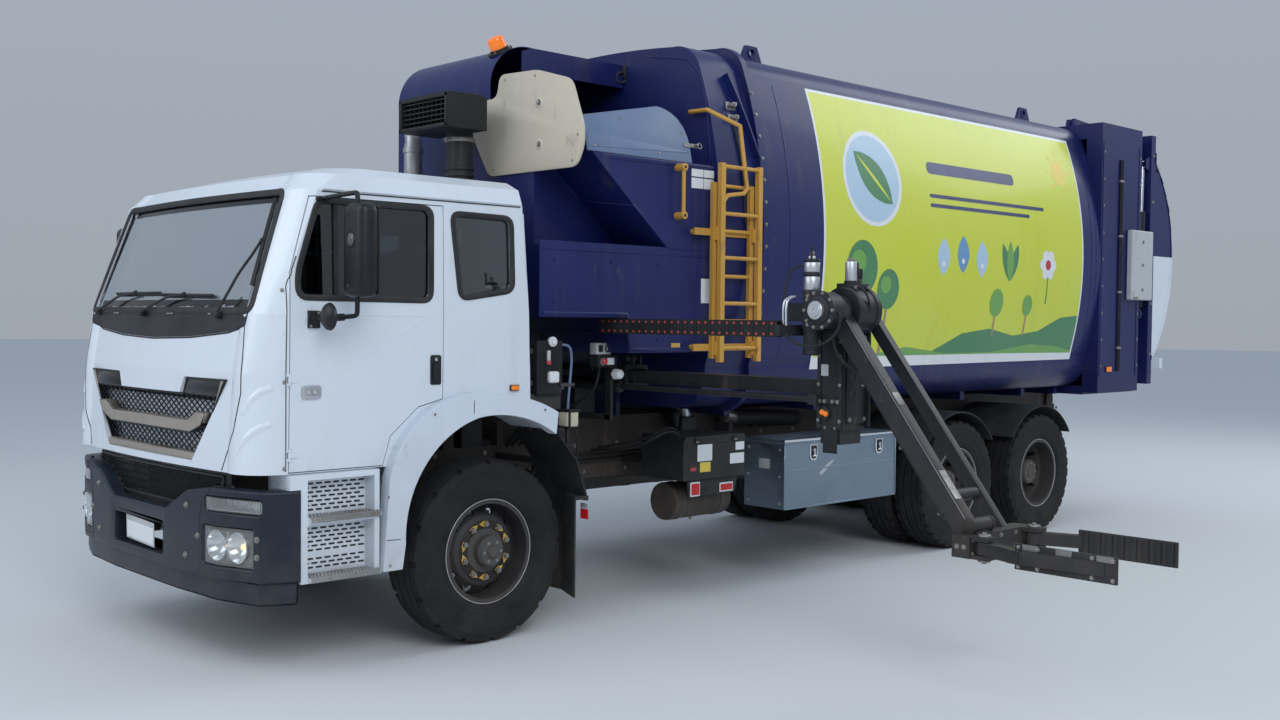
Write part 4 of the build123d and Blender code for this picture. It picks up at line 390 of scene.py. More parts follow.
class GARBAGETRUCK_OT_finishes(bpy.types.Operator):
    """Builds the truck's paints, plastics, metals and glass"""
    bl_idname = "garbage_truck.finishes"
    bl_label = "Finishes"

    def execute(self, context):
        self.paints()
        self.plastics()
        self.metals()
        self.signs()
        self.clear_and_woven()
        return {"FINISHED"}

    def paints(self):
        """Paint on sheet, castings and frames, worn to what lies under it."""
        given = colours()
        cab, body, banner = tuple_of(given.cab), tuple_of(given.body), tuple_of(given.banner)
        ladder, shield, covers = tuple_of(given.ladder), tuple_of(given.shield), tuple_of(given.covers)
        lifter, chassis = tuple_of(given.lifter), tuple_of(given.chassis)
        # cab_white takes the blue-tinted cab colour, so it carries painted blue shade light on the white
        # paint.
        finish("cab_white", "paint", 0.05, coat=0.5, Paint=cab, Faded=darker(cab, 0.07),
               Bare=(0.3, 0.29, 0.27), Dirt=(0.36, 0.33, 0.28), Fading=0.7, Scuffs=0.12, Streaks=0.16,
               Dust=0.55, Dust_top=1.25, Gloss=0.28, Grain=0.2)
        # The flares' paint is tinted blue-grey in the same way: painted blue shade light on white.
        finish("flare_white", "paint", 0.05, coat=0.25, Paint=(0.66, 0.72, 0.8), Faded=(0.56, 0.62, 0.7),
               Bare=(0.1, 0.1, 0.11), Dirt=(0.3, 0.27, 0.23), Fading=0.7, Scuffs=0.35, Streaks=0.2,
               Dust=0.8, Dust_top=1.3, Gloss=0.38, Grain=0.2)
        finish("body_blue", "paint", 0.06, coat=0.12, specular=0.32, Paint=body,
               Faded=(0.0125, 0.021, 0.118), Bare=(0.07, 0.055, 0.075), Dirt=(0.12, 0.085, 0.075),
               Fading=0.8, Scuffs=0.35, Streaks=0.4, Dust=0.4, Dust_top=1.9, Gloss=0.36, Grain=0.25)
        finish("ochre", "paint", 0.15, Paint=ladder, Faded=darker(ladder, 0.22), Bare=(0.15, 0.085, 0.045),
               Dirt=(0.2, 0.115, 0.05), Fading=0.8, Scuffs=0.9, Streaks=0.5, Dust=0.2, Gloss=0.5, Grain=0.4)
        finish("shield_beige", "paint", 0.08, Paint=shield, Faded=lighter(shield, 0.12),
               Bare=(0.1, 0.095, 0.1), Dirt=(0.24, 0.21, 0.18), Fading=0.7, Scuffs=0.3, Streaks=0.45,
               Gloss=0.42, Grain=0.3)
        finish("cover_grey", "paint", 0.1, Paint=covers, Faded=lighter(covers, 0.15),
               Bare=(0.09, 0.07, 0.06), Dirt=(0.18, 0.16, 0.14), Fading=0.7, Scuffs=0.6, Streaks=0.5,
               Gloss=0.45, Grain=0.3)
        # flap_grey is the pale grey flap darkened and tinted blue: painted shade on a grey sheet.
        finish("flap_grey", "paint", 0.08, Paint=(0.11, 0.165, 0.28), Faded=(0.17, 0.23, 0.35),
               Bare=(0.07, 0.07, 0.08), Dirt=(0.12, 0.12, 0.14), Fading=0.8, Scuffs=0.5, Streaks=0.5,
               Gloss=0.45, Grain=0.3)
        finish("lifter_paint", "paint", 0.25, specular=0.3, Paint=lifter, Faded=(0.034, 0.036, 0.042),
               Bare=(0.12, 0.105, 0.095), Dirt=(0.11, 0.085, 0.065), Fading=0.8, Scuffs=0.8, Streaks=0.5,
               Dust=0.6, Dust_top=1.6, Gloss=0.42, Grain=0.6, Bare_metal=0.6)
        finish("chassis_paint", "paint", 0.3, Paint=chassis, Faded=(0.052, 0.036, 0.029), Bare=RUST,
               Dirt=DIRT, Fading=0.8, Scuffs=0.8, Streaks=0.5, Dust=0.7, Dust_top=1.3, Gloss=0.6, Grain=0.8)
        finish("cast_dark", "paint", 0.5, Paint=(0.035, 0.036, 0.04), Faded=(0.075, 0.07, 0.065),
               Bare=(0.13, 0.075, 0.045), Dirt=DIRT, Fading=0.8, Scuffs=0.6, Streaks=0.3, Dust=0.7,
               Dust_top=1.1, Gloss=0.6, Grain=1.0)
        finish("rim_steel", "paint", 0.2, specular=0.35, Paint=(0.026, 0.028, 0.032),
               Faded=(0.048, 0.048, 0.05), Bare=(0.075, 0.048, 0.035), Dirt=(0.1, 0.075, 0.06), Fading=0.8,
               Scuffs=0.9, Streaks=0.3, Dust=0.7, Dust_top=1.2, Gloss=0.48, Grain=0.5)
        finish("hub_rust", "paint", 0.4, specular=0.35, Paint=(0.02, 0.017, 0.017),
               Faded=(0.045, 0.034, 0.029), Bare=(0.12, 0.078, 0.055), Dirt=(0.03, 0.024, 0.02), Fading=0.9,
               Scuffs=0.9, Streaks=0.3, Dust=0.4, Dust_top=1.2, Gloss=0.5, Grain=0.8)
        finish("banner_lime", "paint", 0.03, coat=0.15, Paint=banner, Faded=lighter(banner, 0.07),
               Bare=(0.44, 0.46, 0.1), Dirt=(0.3, 0.31, 0.1), Fading=0.6, Scuffs=0.1, Streaks=0.22,
               Gloss=0.34, Grain=0.1)

    def plastics(self):
        """Rubber, moulded plastic and sealant."""
        bumper = tuple_of(colours().bumper)
        finish("bumper_grey", "moulded", 0.05, specular=0.3, Paint=bumper, Faded=lighter(bumper, 0.015),
               Dirt=DIRT, Fading=0.5, Dust=0.3, Dust_top=1.0, Gloss=0.34, Grain_size=520.0)
        finish("tyre", "moulded", 0.12, specular=0.25, Paint=(0.0075, 0.0075, 0.0085),
               Faded=(0.016, 0.016, 0.018), Dirt=(0.06, 0.055, 0.05), Fading=0.7, Dust=0.5, Dust_top=1.3,
               Gloss=0.68, Grain_size=300.0)
        finish("trim_black", "moulded", 0.12, specular=0.35, Paint=(0.01, 0.011, 0.012),
               Faded=(0.028, 0.029, 0.031), Dirt=(0.11, 0.1, 0.09), Fading=0.6, Dust=0.4, Dust_top=1.3,
               Gloss=0.46, Grain_size=700.0)
        finish("flap_rubber", "moulded", 0.2, specular=0.25, Paint=(0.013, 0.014, 0.016),
               Faded=(0.035, 0.036, 0.038), Dirt=DIRT, Fading=0.8, Dust=0.6, Dust_top=1.0, Gloss=0.6,
               Grain_size=240.0)
        finish("cloth_grey", "moulded", 0.5, specular=0.15, Paint=(0.045, 0.047, 0.052),
               Faded=(0.085, 0.087, 0.092), Dirt=DIRT, Fading=0.8, Dust=0.0, Gloss=0.85, Grain_size=900.0)
        # Dark joints and seams; also painted shade where slots and holes stand as dark plates.
        finish("seam_dark_and_hole_shade", "moulded", 0.02, Paint=(0.012, 0.012, 0.014), Faded=(0.03, 0.03, 0.032),
               Dirt=DIRT, Fading=0.6, Dust=0.4, Gloss=0.6, Grain_size=300.0)
        finish("screen_rubber", "moulded", 0.1, specular=0.3, Paint=(0.014, 0.014, 0.016),
               Faded=(0.045, 0.045, 0.048), Dirt=(0.14, 0.13, 0.12), Fading=0.8, Dust=0.2, Dust_top=3.0,
               Gloss=0.5, Grain_size=500.0)
        finish("frit_black", "moulded", 0.01, Paint=(0.006, 0.006, 0.007), Faded=(0.012, 0.012, 0.013),
               Dirt=DIRT, Fading=0.4, Dust=0.05, Gloss=0.12, Grain_size=900.0)
        finish("apron_black", "moulded", 0.06, specular=0.3, Paint=(0.012, 0.014, 0.018),
               Faded=(0.03, 0.033, 0.038), Dirt=(0.16, 0.15, 0.14), Fading=0.8, Dust=0.4, Dust_top=2.4,
               Gloss=0.42, Grain_size=600.0)
        finish("mirror_black", "moulded", 0.06, specular=0.35, Paint=(0.008, 0.009, 0.011),
               Faded=(0.018, 0.019, 0.022), Dirt=DIRT, Fading=0.6, Dust=0.2, Gloss=0.34, Grain_size=900.0)
        finish("link_red", "moulded", 0.05, Paint=(0.42, 0.045, 0.03), Faded=(0.34, 0.09, 0.06),
               Dirt=(0.1, 0.06, 0.05), Fading=0.7, Dust=0.3, Gloss=0.45, Grain_size=600.0)
        finish("dash_grey", "moulded", 0.2, specular=0.3, Paint=(0.03, 0.031, 0.034),
               Faded=(0.055, 0.056, 0.06), Dirt=DIRT, Fading=0.6, Dust=0.0, Gloss=0.6, Grain_size=500.0)
        finish("seat_belt", "moulded", 0.3, specular=0.2, Paint=(0.018, 0.018, 0.02),
               Faded=(0.035, 0.035, 0.038), Dirt=DIRT, Fading=0.6, Dust=0.0, Gloss=0.7, Grain_size=1200.0)

    def metals(self):
        """Bare, brushed, tarnished and plated metal."""
        box = tuple_of(colours().box)
        finish("chrome", "metal", 0.02, Paint=(0.75, 0.76, 0.78), Tarnish=(0.35, 0.33, 0.3),
               Tarnishing=0.12, Gloss=0.08, Lines=0.1)
        # box_alu's paint and tarnish are tinted blue: painted blue shade light on bare aluminium.
        finish("box_alu", "metal", 0.05, Paint=box, Tarnish=(0.17, 0.21, 0.26), Tarnishing=0.35, Gloss=0.34,
               Lines=0.5)
        finish("bolt_steel", "metal", 0.1, Paint=(0.36, 0.35, 0.34), Tarnish=(0.18, 0.13, 0.09),
               Tarnishing=0.6, Gloss=0.38, Lines=0.2)
        finish("bar_beige", "metal", 0.03, Paint=(0.5, 0.44, 0.38), Tarnish=(0.28, 0.24, 0.21),
               Tarnishing=0.35, Gloss=0.34, Lines=0.2)
        finish("step_tread", "metal", 0.4, Paint=(0.4, 0.4, 0.4), Tarnish=(0.17, 0.15, 0.13),
               Tarnishing=0.8, Gloss=0.5, Lines=0.3)
        finish("rim_lip", "metal", 0.05, Paint=(0.62, 0.6, 0.58), Tarnish=(0.26, 0.22, 0.19),
               Tarnishing=0.4, Gloss=0.3, Lines=0.1)
        finish("lamp_silver", "metal", 0.02, Paint=(0.62, 0.63, 0.65), Tarnish=(0.4, 0.4, 0.4),
               Tarnishing=0.2, Gloss=0.28, Lines=0.1)
        finish("reflector", "metal", 0.01, Paint=(0.88, 0.89, 0.9), Tarnish=(0.6, 0.6, 0.6), Tarnishing=0.1,
               Gloss=0.12, Lines=0.05)
        finish("steel_worn", "metal", 0.15, Paint=(0.3, 0.29, 0.28), Tarnish=(0.09, 0.075, 0.06),
               Tarnishing=0.7, Gloss=0.34, Lines=0.5)
        finish("exhaust_steel", "metal", 0.1, Paint=(0.42, 0.43, 0.45), Tarnish=(0.17, 0.15, 0.13),
               Tarnishing=0.6, Gloss=0.32, Lines=0.4)
        finish("sleeve_steel", "metal", 0.05, Paint=(0.56, 0.58, 0.6), Tarnish=(0.3, 0.29, 0.28),
               Tarnishing=0.4, Gloss=0.28, Lines=0.4)

    def signs(self):
        """Plain colours of the banner's design and of the blank signs."""
        for name, colour in (("sign_white", (0.74, 0.76, 0.78)), ("sign_green", (0.045, 0.21, 0.075)),
                             ("sign_blue", (0.13, 0.3, 0.52)), ("sign_red", (0.5, 0.02, 0.035)),
                             ("sign_brown", (0.36, 0.22, 0.15)), ("sign_navy", (0.02, 0.03, 0.12)),
                             ("leaf_green", (0.14, 0.36, 0.06)), ("sign_sky", (0.42, 0.58, 0.72)),
                             ("sun_yellow", (0.8, 0.6, 0.06)), ("hand_yellow", (0.55, 0.34, 0.04))):
            finish(name, "paint", 0.03, coat=0.1, Paint=colour, Faded=lighter(colour, 0.1),
                   Bare=lighter(colour, 0.2), Dirt=darker(colour, 0.5), Fading=0.5, Scuffs=0.2, Streaks=0.2,
                   Dust=0.1, Gloss=0.38, Grain=0.1)

    def clear_and_woven(self):
        """Two-tone tailgate paint, seat cloth, glass, lenses and mirrors."""
        two_tone_finish("tailgate_paint", "body_blue", "cab_white")
        woven_finish("seat_cloth", (0.05, 0.056, 0.07), (0.11, 0.12, 0.14))
        clear_finish("lens_cream", (0.85, 0.78, 0.6), 0.4, 0.12)
        clear_finish("glass", (0.3, 0.37, 0.4), 1.0, 0.0, coat_ior=1.8)
        # The windscreen passes only part of the light and shows a pale blue diffuse colour: a painted milky
        # sky reflection.
        clear_finish("screen_glass_painted_sky", (0.36, 0.42, 0.48), 0.62, 0.0, coat_ior=4.0)
        clear_finish("dark_glass", (0.13, 0.16, 0.19), 1.0, 0.0, coat_ior=1.6)
        clear_finish("lens_clear", (0.86, 0.88, 0.88), 0.9, 0.03)
        clear_finish("lens_amber", (0.95, 0.25, 0.03), 0.3, 0.06, glow=0.25)
        # The red lens glows faintly: lamp light on the tail lamps, and a painted glow on the red reflectors
        # that share it.
        clear_finish("lens_red", (0.62, 0.02, 0.02), 0.3, 0.06, glow=0.08)
        clear_finish("lamp_warm", (1.0, 0.72, 0.36), 0.0, 0.2, glow=1.6)
        clear_finish("mirror_face", (0.55, 0.6, 0.66), 0.0, 0.03, metallic=1.0)


# Shapes

def new_piece(name, bm, finishes, body, replaces=(), sharp=32, rounding=0.0, segments=2):
    """Object at the origin from a bmesh in truck places, with its finishes and its body."""
    bmesh.ops.translate(bm, verts=bm.verts, vec=TRUCK_TO_ROOM)
    mesh = bpy.data.meshes.new(name)
    bm.to_mesh(mesh)
    bm.free()
    return finish_piece(name, mesh, finishes, body, replaces, sharp, rounding, segments)


def finish_piece(name, mesh, finishes, body, replaces=(), sharp=32, rounding=0.0, segments=2):
    """Object for a mesh that is already in its place in the room."""
    for item in ((finishes,) if isinstance(finishes, str) else finishes):
        mesh.materials.append(FINISHES[item])
    mesh.polygons.foreach_set("use_smooth", [True] * len(mesh.polygons))
    mesh.set_sharp_from_angle(angle=math.radians(sharp))
    piece = bpy.data.objects.new(name, mesh)
    bpy.context.scene.collection.objects.link(piece)
    if rounding:
        bevel = piece.modifiers.new("Rounding", "BEVEL")
        bevel.width = rounding
        bevel.segments = segments
        bevel.limit_method = "ANGLE"
        bevel.angle_limit = math.radians(38)
        bevel.harden_normals = True
        bevel.miter_outer = "MITER_ARC"
    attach(piece, body)
    if replaces:
        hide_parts(*replaces)
    return piece


def merge_kept(bm, part):
    """Adds a shape whose faces already have their finishes."""
    mesh = bpy.data.meshes.new("part")
    part.to_mesh(mesh)
    part.free()
    bm.from_mesh(mesh)
    bpy.data.meshes.remove(mesh)


def merge(bm, part, index=0, matrix=None):
    """Adds one finished shape to a piece, with its finish and its place."""
    if matrix is not None:
        bmesh.ops.transform(part, matrix=matrix, verts=part.verts)
    for face in part.faces:
        face.material_index = index
    merge_kept(bm, part)


def round_off(bm, edges, size, segments=2):
    """Bevel on these edges."""
    bmesh.ops.bevel(bm, geom=list(edges), offset=size, offset_type="OFFSET", segments=segments, profile=0.5,
                    affect="EDGES", material=-1, clamp_overlap=True)


def add_block(bm, low, high, rounding=0.0, segments=2, index=0, turn=None):
    """Box between two corners, its edges rounded, turned about its middle if asked."""
    part = bmesh.new()
    size = [abs(a - b) for a, b in zip(low, high)]
    bmesh.ops.create_cube(part, size=1.0, matrix=Matrix.Diagonal((*size, 1)))
    if rounding:
        round_off(part, part.edges, min(rounding, min(size) * 0.45), segments)
    middle = Matrix.Translation((Vector(low) + Vector(high)) / 2)
    merge(bm, part, index, middle @ turn if turn else middle)


def facing(direction):
    """Turn that carries the z axis to a direction."""
    return Vector((0, 0, 1)).rotation_difference(Vector(direction).normalized()).to_matrix().to_4x4()


def add_rod(bm, start, end, radius, sides=20, rounding=0.0, index=0, end_radius=None):
    """Round bar between two points, its end edges rounded."""
    part = bmesh.new()
    a, b = Vector(start), Vector(end)
    bmesh.ops.create_cone(part, cap_ends=True, segments=sides, radius1=radius,
                          radius2=radius if end_radius is None else end_radius, depth=(b - a).length)
    if rounding:
        rims = [edge for edge in part.edges if abs(edge.verts[0].co.z - edge.verts[1].co.z) < 1e-6]
        round_off(part, rims, rounding, 2)
    merge(bm, part, index, Matrix.Translation((a + b) / 2) @ facing(b - a))


def add_turned(bm, profile, centre, direction, sides=48, index=0, closed=False):
    """Shape turned about an axle: profile pairs are a radius and a distance along the axle."""
    merge(bm, turned(profile, sides, closed), index, Matrix.Translation(centre) @ facing(direction))


def turned(profile, sides, closed=False):
    """Shape turned about the z axis, in a bmesh of its own."""
    part = bmesh.new()
    verts = [part.verts.new((radius, 0.0, along)) for radius, along in profile]
    edges = [part.edges.new(pair) for pair in zip(verts, verts[1:])]
    if closed:
        edges.append(part.edges.new((verts[-1], verts[0])))
    bmesh.ops.spin(part, geom=verts + edges, cent=(0, 0, 0), axis=(0, 0, 1), angle=math.tau, steps=sides,
                   use_merge=True)
    bmesh.ops.remove_doubles(part, verts=part.verts, dist=0.00005)
    bmesh.ops.recalc_face_normals(part, faces=part.faces)
    return part


PLANES = {
    "side": lambda a, b, depth: Vector((a, depth, b)),
    "front": lambda a, b, depth: Vector((depth, a, b)),
    "plan": lambda a, b, depth: Vector((a, b, depth)),
}


def add_outline(bm, points, plane, start, end, rounding=0.0, index=0):
    """Flat outline drawn out between two depths: side is x and z, front is y and z, plan is x and y."""
    part = bmesh.new()
    place = PLANES[plane]
    face = part.faces.new([part.verts.new(place(a, b, start)) for a, b in points])
    made = bmesh.ops.extrude_face_region(part, geom=[face])
    fresh = [item for item in made["geom"] if isinstance(item, bmesh.types.BMVert)]
    bmesh.ops.translate(part, verts=fresh, vec=place(0, 0, end) - place(0, 0, start))
    bmesh.ops.recalc_face_normals(part, faces=part.faces)
    if rounding:
        round_off(part, [edge for edge in part.edges if edge.calc_face_angle(0) > 0.6], rounding, 2)
    merge(bm, part, index)


def oblong(a0, b0, a1, b1):
    """Outline of a rectangle, from its two opposite corners."""
    return [(a0, b0), (a1, b0), (a1, b1), (a0, b1)]


def rounded_corners(points, radius, steps=4):
    """Outline with its corners rounded by short arcs."""
    result = []
    count = len(points)
    for i, corner in enumerate(points):
        here = Vector(corner)
        before, after = Vector(points[i - 1]) - here, Vector(points[(i + 1) % count]) - here
        reach = min(radius, before.length / 2, after.length / 2)
        first, last = here + before.normalized() * reach, here + after.normalized() * reach
        for k in range(steps + 1):
            t = k / steps
            result.append(tuple(first * (1 - t) ** 2 + here * 2 * t * (1 - t) + last * t ** 2))
    return result


def add_hose(bm, points, radius, sides=12, index=0, order=4):
    """Round hose or bent bar along a smooth curve near these points."""
    curve = bpy.data.curves.new("route", "CURVE")
    curve.dimensions = "3D"
    curve.bevel_depth = radius
    curve.bevel_resolution = max(1, sides // 4)
    curve.resolution_u = 6
    curve.use_fill_caps = True
    spline = curve.splines.new("NURBS")
    spline.points.add(len(points) - 1)
    for item, point in zip(spline.points, points):
        item.co = (*point, 1.0)
    spline.order_u = min(order, len(points))
    spline.use_endpoint_u = True
    holder = bpy.data.objects.new("route", curve)
    mesh = bpy.data.meshes.new_from_object(holder)
    part = bmesh.new()
    part.from_mesh(mesh)
    bmesh.ops.remove_doubles(part, verts=part.verts, dist=0.00002)
    bpy.data.objects.remove(holder)
    bpy.data.curves.remove(curve)
    bpy.data.meshes.remove(mesh)
    merge(bm, part, index)


def add_bolts(bm, places, direction, radius, height, index=0):
    """Hexagon bolt heads on washers, standing on these places."""
    way = Vector(direction).normalized()
    for place in places:
        foot = Vector(place)
        add_rod(bm, foot - way * 0.002, foot + way * radius * 0.25, radius * 1.35, 16, 0.0, index)
        add_rod(bm, foot, foot + way * height, radius, 6, radius * 0.12, index)


def add_torus(bm, centre, direction, big, small, sides=48, ring=8, index=0):
    """Round ring."""
    profile = [(big + small * math.cos(math.tau * k / ring), small * math.sin(math.tau * k / ring))
               for k in range(ring)]
    add_turned(bm, profile, centre, direction, sides, index, closed=True)


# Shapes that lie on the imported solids: lines and places are landed on them from these depths

AHEAD = 2.2
BESIDE = 1.6
BESIDE_BODY = 1.9
SURFACES = {}


def surface(node_names):
    """Search tree over these CAD nodes."""
    if node_names not in SURFACES:
        bm = bmesh.new()
        for name in node_names:
            bm.from_mesh(frame["nodes"][name].data)
        SURFACES[node_names] = BVHTree.FromBMesh(bm)
        bm.free()
    return SURFACES[node_names]


def land(node_names, start, way):
    """Where a ray from a place first meets the nodes, and the direction away from them there."""
    tree = surface(node_names)
    spot, normal, _face, _distance = tree.ray_cast(Vector(start) + TRUCK_TO_ROOM, Vector(way))
    if spot is None:
        spot, normal, _face, _distance = tree.find_nearest(Vector(start) + TRUCK_TO_ROOM)
    if normal.dot(Vector(way)) > 0:
        normal = -normal
    return spot - TRUCK_TO_ROOM, normal


def inwards(plane, depth):
    """Direction towards the truck's middle from a depth of a plane."""
    return (PLANES[plane](0, 0, 1.0) - PLANES[plane](0, 0, 0)) * (-1 if depth > 0 else 1)


def follow(points, plane, depth, node_names, step=0.04, closed=False, lift=0.0):
    """Line of pairs landed on the nodes at short steps: places and the directions away from them."""
    corners = [Vector(point) for point in points]
    if closed:
        corners.append(corners[0])
    flat = []
    for a, b in zip(corners, corners[1:]):
        count = max(1, math.ceil((b - a).length / step))
        flat += [a.lerp(b, i / count) for i in range(count)]
    if not closed:
        flat.append(corners[-1])
    way = inwards(plane, depth)
    spots = [land(node_names, PLANES[plane](spot.x, spot.y, depth), way) for spot in flat]
    return [(place + normal * lift, normal) for place, normal in spots]


def add_band(bm, spots, width, height, index=0, closed=False, shape="round", sunk=0.002):
    """Raised bar along landed places, with a round, flat or ridged top."""
    part = bmesh.new()
    half = width / 2
    tops = {"round": ((half, 0.5), (half * 0.62, 1.0), (-half * 0.62, 1.0), (-half, 0.5)),
            "flat": ((half, 1.0), (-half, 1.0)), "ridge": ((half * 0.3, 1.0), (-half * 0.3, 1.0))}
    section = [(-half, -sunk), (half, -sunk)] + [(a, b * height) for a, b in tops[shape]]
    rings = []
    count = len(spots)
    for i, (place, normal) in enumerate(spots):
        ahead = spots[(i + 1) % count if closed else min(i + 1, count - 1)][0]
        behind = spots[i - 1 if closed else max(i - 1, 0)][0]
        along = (ahead - behind).normalized()
        side = along.cross(normal).normalized()
        out = side.cross(along)
        rings.append([part.verts.new(place + side * a + out * b) for a, b in section])
    for first, second in list(zip(rings, rings[1:])) + ([(rings[-1], rings[0])] if closed else []):
        for k in range(len(section)):
            j = (k + 1) % len(section)
            part.faces.new((first[k], first[j], second[j], second[k]))
    if not closed:
        part.faces.new(rings[0])
        part.faces.new(list(reversed(rings[-1])))
    bmesh.ops.recalc_face_normals(part, faces=part.faces)
    merge(bm, part, index)


def spot_key(vert):
    """A vertex's place, rounded so that two that coincide compare equal."""
    return tuple(round(c, 6) for c in vert.co)


def add_patch(bm, points, plane, depth, node_names, lift, thickness, index=0, step=0.08):
    """Thin sheet of this outline laid on the nodes, bent to their surface."""
    part = bmesh.new()
    place = PLANES[plane]
    way = inwards(plane, depth)
    part.faces.new([part.verts.new(place(a, b, depth)) for a, b in points])
    for k, axis in ((0, place(1, 0, 0)), (1, place(0, 1, 0))):
        low, high = min(p[k] for p in points), max(p[k] for p in points)
        count = math.ceil((high - low) / step)
        for i in range(1, count):
            cut = axis * (low + (high - low) * i / count)
            geom = part.verts[:] + part.edges[:] + part.faces[:]
            bmesh.ops.bisect_plane(part, geom=geom, dist=1e-6, plane_co=cut, plane_no=axis)
    out = {}
    for vert in part.verts:
        spot, normal = land(node_names, vert.co, way)
        vert.co = spot + normal * lift
        out[vert.index] = normal
    part.verts.index_update()
    outward = [out.get(vert.index, -way) for vert in part.verts]
    bottom = part.verts[:]
    made = bmesh.ops.extrude_face_region(part, geom=part.faces[:])
    fresh = [item for item in made["geom"] if isinstance(item, bmesh.types.BMVert)]
    lookup = {spot_key(vert): normal for vert, normal in zip(bottom, outward) if vert.is_valid}
    for vert in fresh:
        vert.co += lookup.get(spot_key(vert), -way) * thickness
    bmesh.ops.recalc_face_normals(part, faces=part.faces)
    merge(bm, part, index)


def body_of(node_name):
    """Body that a CAD node rides on."""
    return frame["nodes"][node_name]["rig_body"]


def dressed(node_name, finish_name, rounding=None, segments=2, flat=0.6, sharp=35, tidy=True):
    """Copy of a CAD node with its flat faces joined and its edges rounded, standing for the node."""
    bm = bmesh.new()
    bm.from_mesh(frame["nodes"][node_name].data)
    bmesh.ops.remove_doubles(bm, verts=bm.verts, dist=0.00002)
    bmesh.ops.dissolve_limit(bm, angle_limit=math.radians(flat), verts=bm.verts, edges=bm.edges)
    mesh = bpy.data.meshes.new(node_name + "_dressed")
    bm.to_mesh(mesh)
    bm.free()
    piece = finish_piece(node_name + "_dressed", mesh, finish_name, body_of(node_name), (node_name,),
                         sharp, sizes().edge_round if rounding is None else rounding, segments)
    if rounding:
        piece.modifiers["Rounding"].use_clamp_overlap = tidy
    return piece


# Studio

CAMERA_SPOT = Vector((4.464, 7.102, 1.859))
CAMERA_YAW, CAMERA_PITCH, CAMERA_ROLL = -133.55, -1.85, 0.58
FOCAL_PIXELS, PHOTO_WIDTH = 1300.5, 1280


def camera_turn():
    """Camera's turn from its yaw, pitch and roll."""
    yaw, pitch, roll = (math.radians(a) for a in (CAMERA_YAW, CAMERA_PITCH, CAMERA_ROLL))
    ahead = Vector((math.cos(yaw) * math.cos(pitch), math.sin(yaw) * math.cos(pitch), math.sin(pitch)))
    right = Vector((math.sin(yaw), -math.cos(yaw), 0))
    up = right.cross(ahead)
    right, up = right * math.cos(roll) + up * math.sin(roll), up * math.cos(roll) - right * math.sin(roll)
    return Matrix((right, up, -ahead)).transposed().to_4x4()


def add_lamp(name, spot, target, size, power, colour=(1, 1, 1)):
    """Soft square lamp turned to a target."""
    data = bpy.data.lights.new(name, "AREA")
    data.size = size
    data.energy = power
    data.color = colour
    lamp = bpy.data.objects.new(name, data)
    lamp.matrix_world = Matrix.Translation(spot) @ facing(Vector(spot) - Vector(target))
    bpy.context.scene.collection.objects.link(lamp)


class GARBAGETRUCK_OT_studio(bpy.types.Operator):
    """Adds the floor, the lamps, the pale world and the camera"""
    bl_idname = "garbage_truck.studio"
    bl_label = "Studio"

    def execute(self, context):
        scene = context.scene
        scene.view_settings.view_transform = "Standard"
        data = bpy.data.cameras.new("photo_camera")
        data.sensor_width = 36.0
        data.lens = FOCAL_PIXELS / PHOTO_WIDTH * data.sensor_width
        data.clip_end = 400
        camera = bpy.data.objects.new("photo_camera", data)
        camera.matrix_world = Matrix.Translation(CAMERA_SPOT + TRUCK_TO_ROOM) @ camera_turn()
        scene.collection.objects.link(camera)
        scene.camera = camera

        bm = bmesh.new()
        bmesh.ops.create_circle(bm, cap_ends=True, segments=96, radius=90.0)
        mesh = bpy.data.meshes.new("floor")
        bm.to_mesh(mesh)
        bm.free()
        floor = bpy.data.objects.new("floor", mesh)
        scene.collection.objects.link(floor)
        material = bpy.data.materials.new("floor_pale")
        material.use_nodes = True
        shader = material.node_tree.nodes["Principled BSDF"]
        shader.inputs["Base Color"].default_value = (0.66, 0.67, 0.68, 1.0)
        shader.inputs["Roughness"].default_value = 0.9
        mesh.materials.append(material)

        world = bpy.data.worlds.new("studio")
        world.use_nodes = True
        tree = world.node_tree
        back = tree.nodes["Background"]
        direction = put(tree, "TexCoord").outputs["Generated"]
        rise = put(tree, "SeparateXYZ", {0: direction}).outputs[2]
        level = put(tree, "MapRange", {"Value": rise, "From Min": -0.05, "From Max": 0.7}).outputs[0]
        sky = mixed(tree, level, (0.56, 0.61, 0.67, 1.0), (0.66, 0.79, 0.97, 1.0))
        tree.links.new(sky, back.inputs["Color"])
        back.inputs["Strength"].default_value = 0.62
        scene.world = world

        middle = Vector((0.5, 0.3, 1.2))
        add_lamp("key", (9.0, 13.0, 11.0), middle, 9.0, 1180, (0.95, 0.98, 1.0))
        add_lamp("fill", (12.5, -3.0, 7.0), middle, 8.0, 400, (0.92, 0.965, 1.0))
        add_lamp("rear", (-11.0, 3.0, 10.0), middle, 8.0, 560, (0.94, 0.97, 1.0))
        return {"FINISHED"}


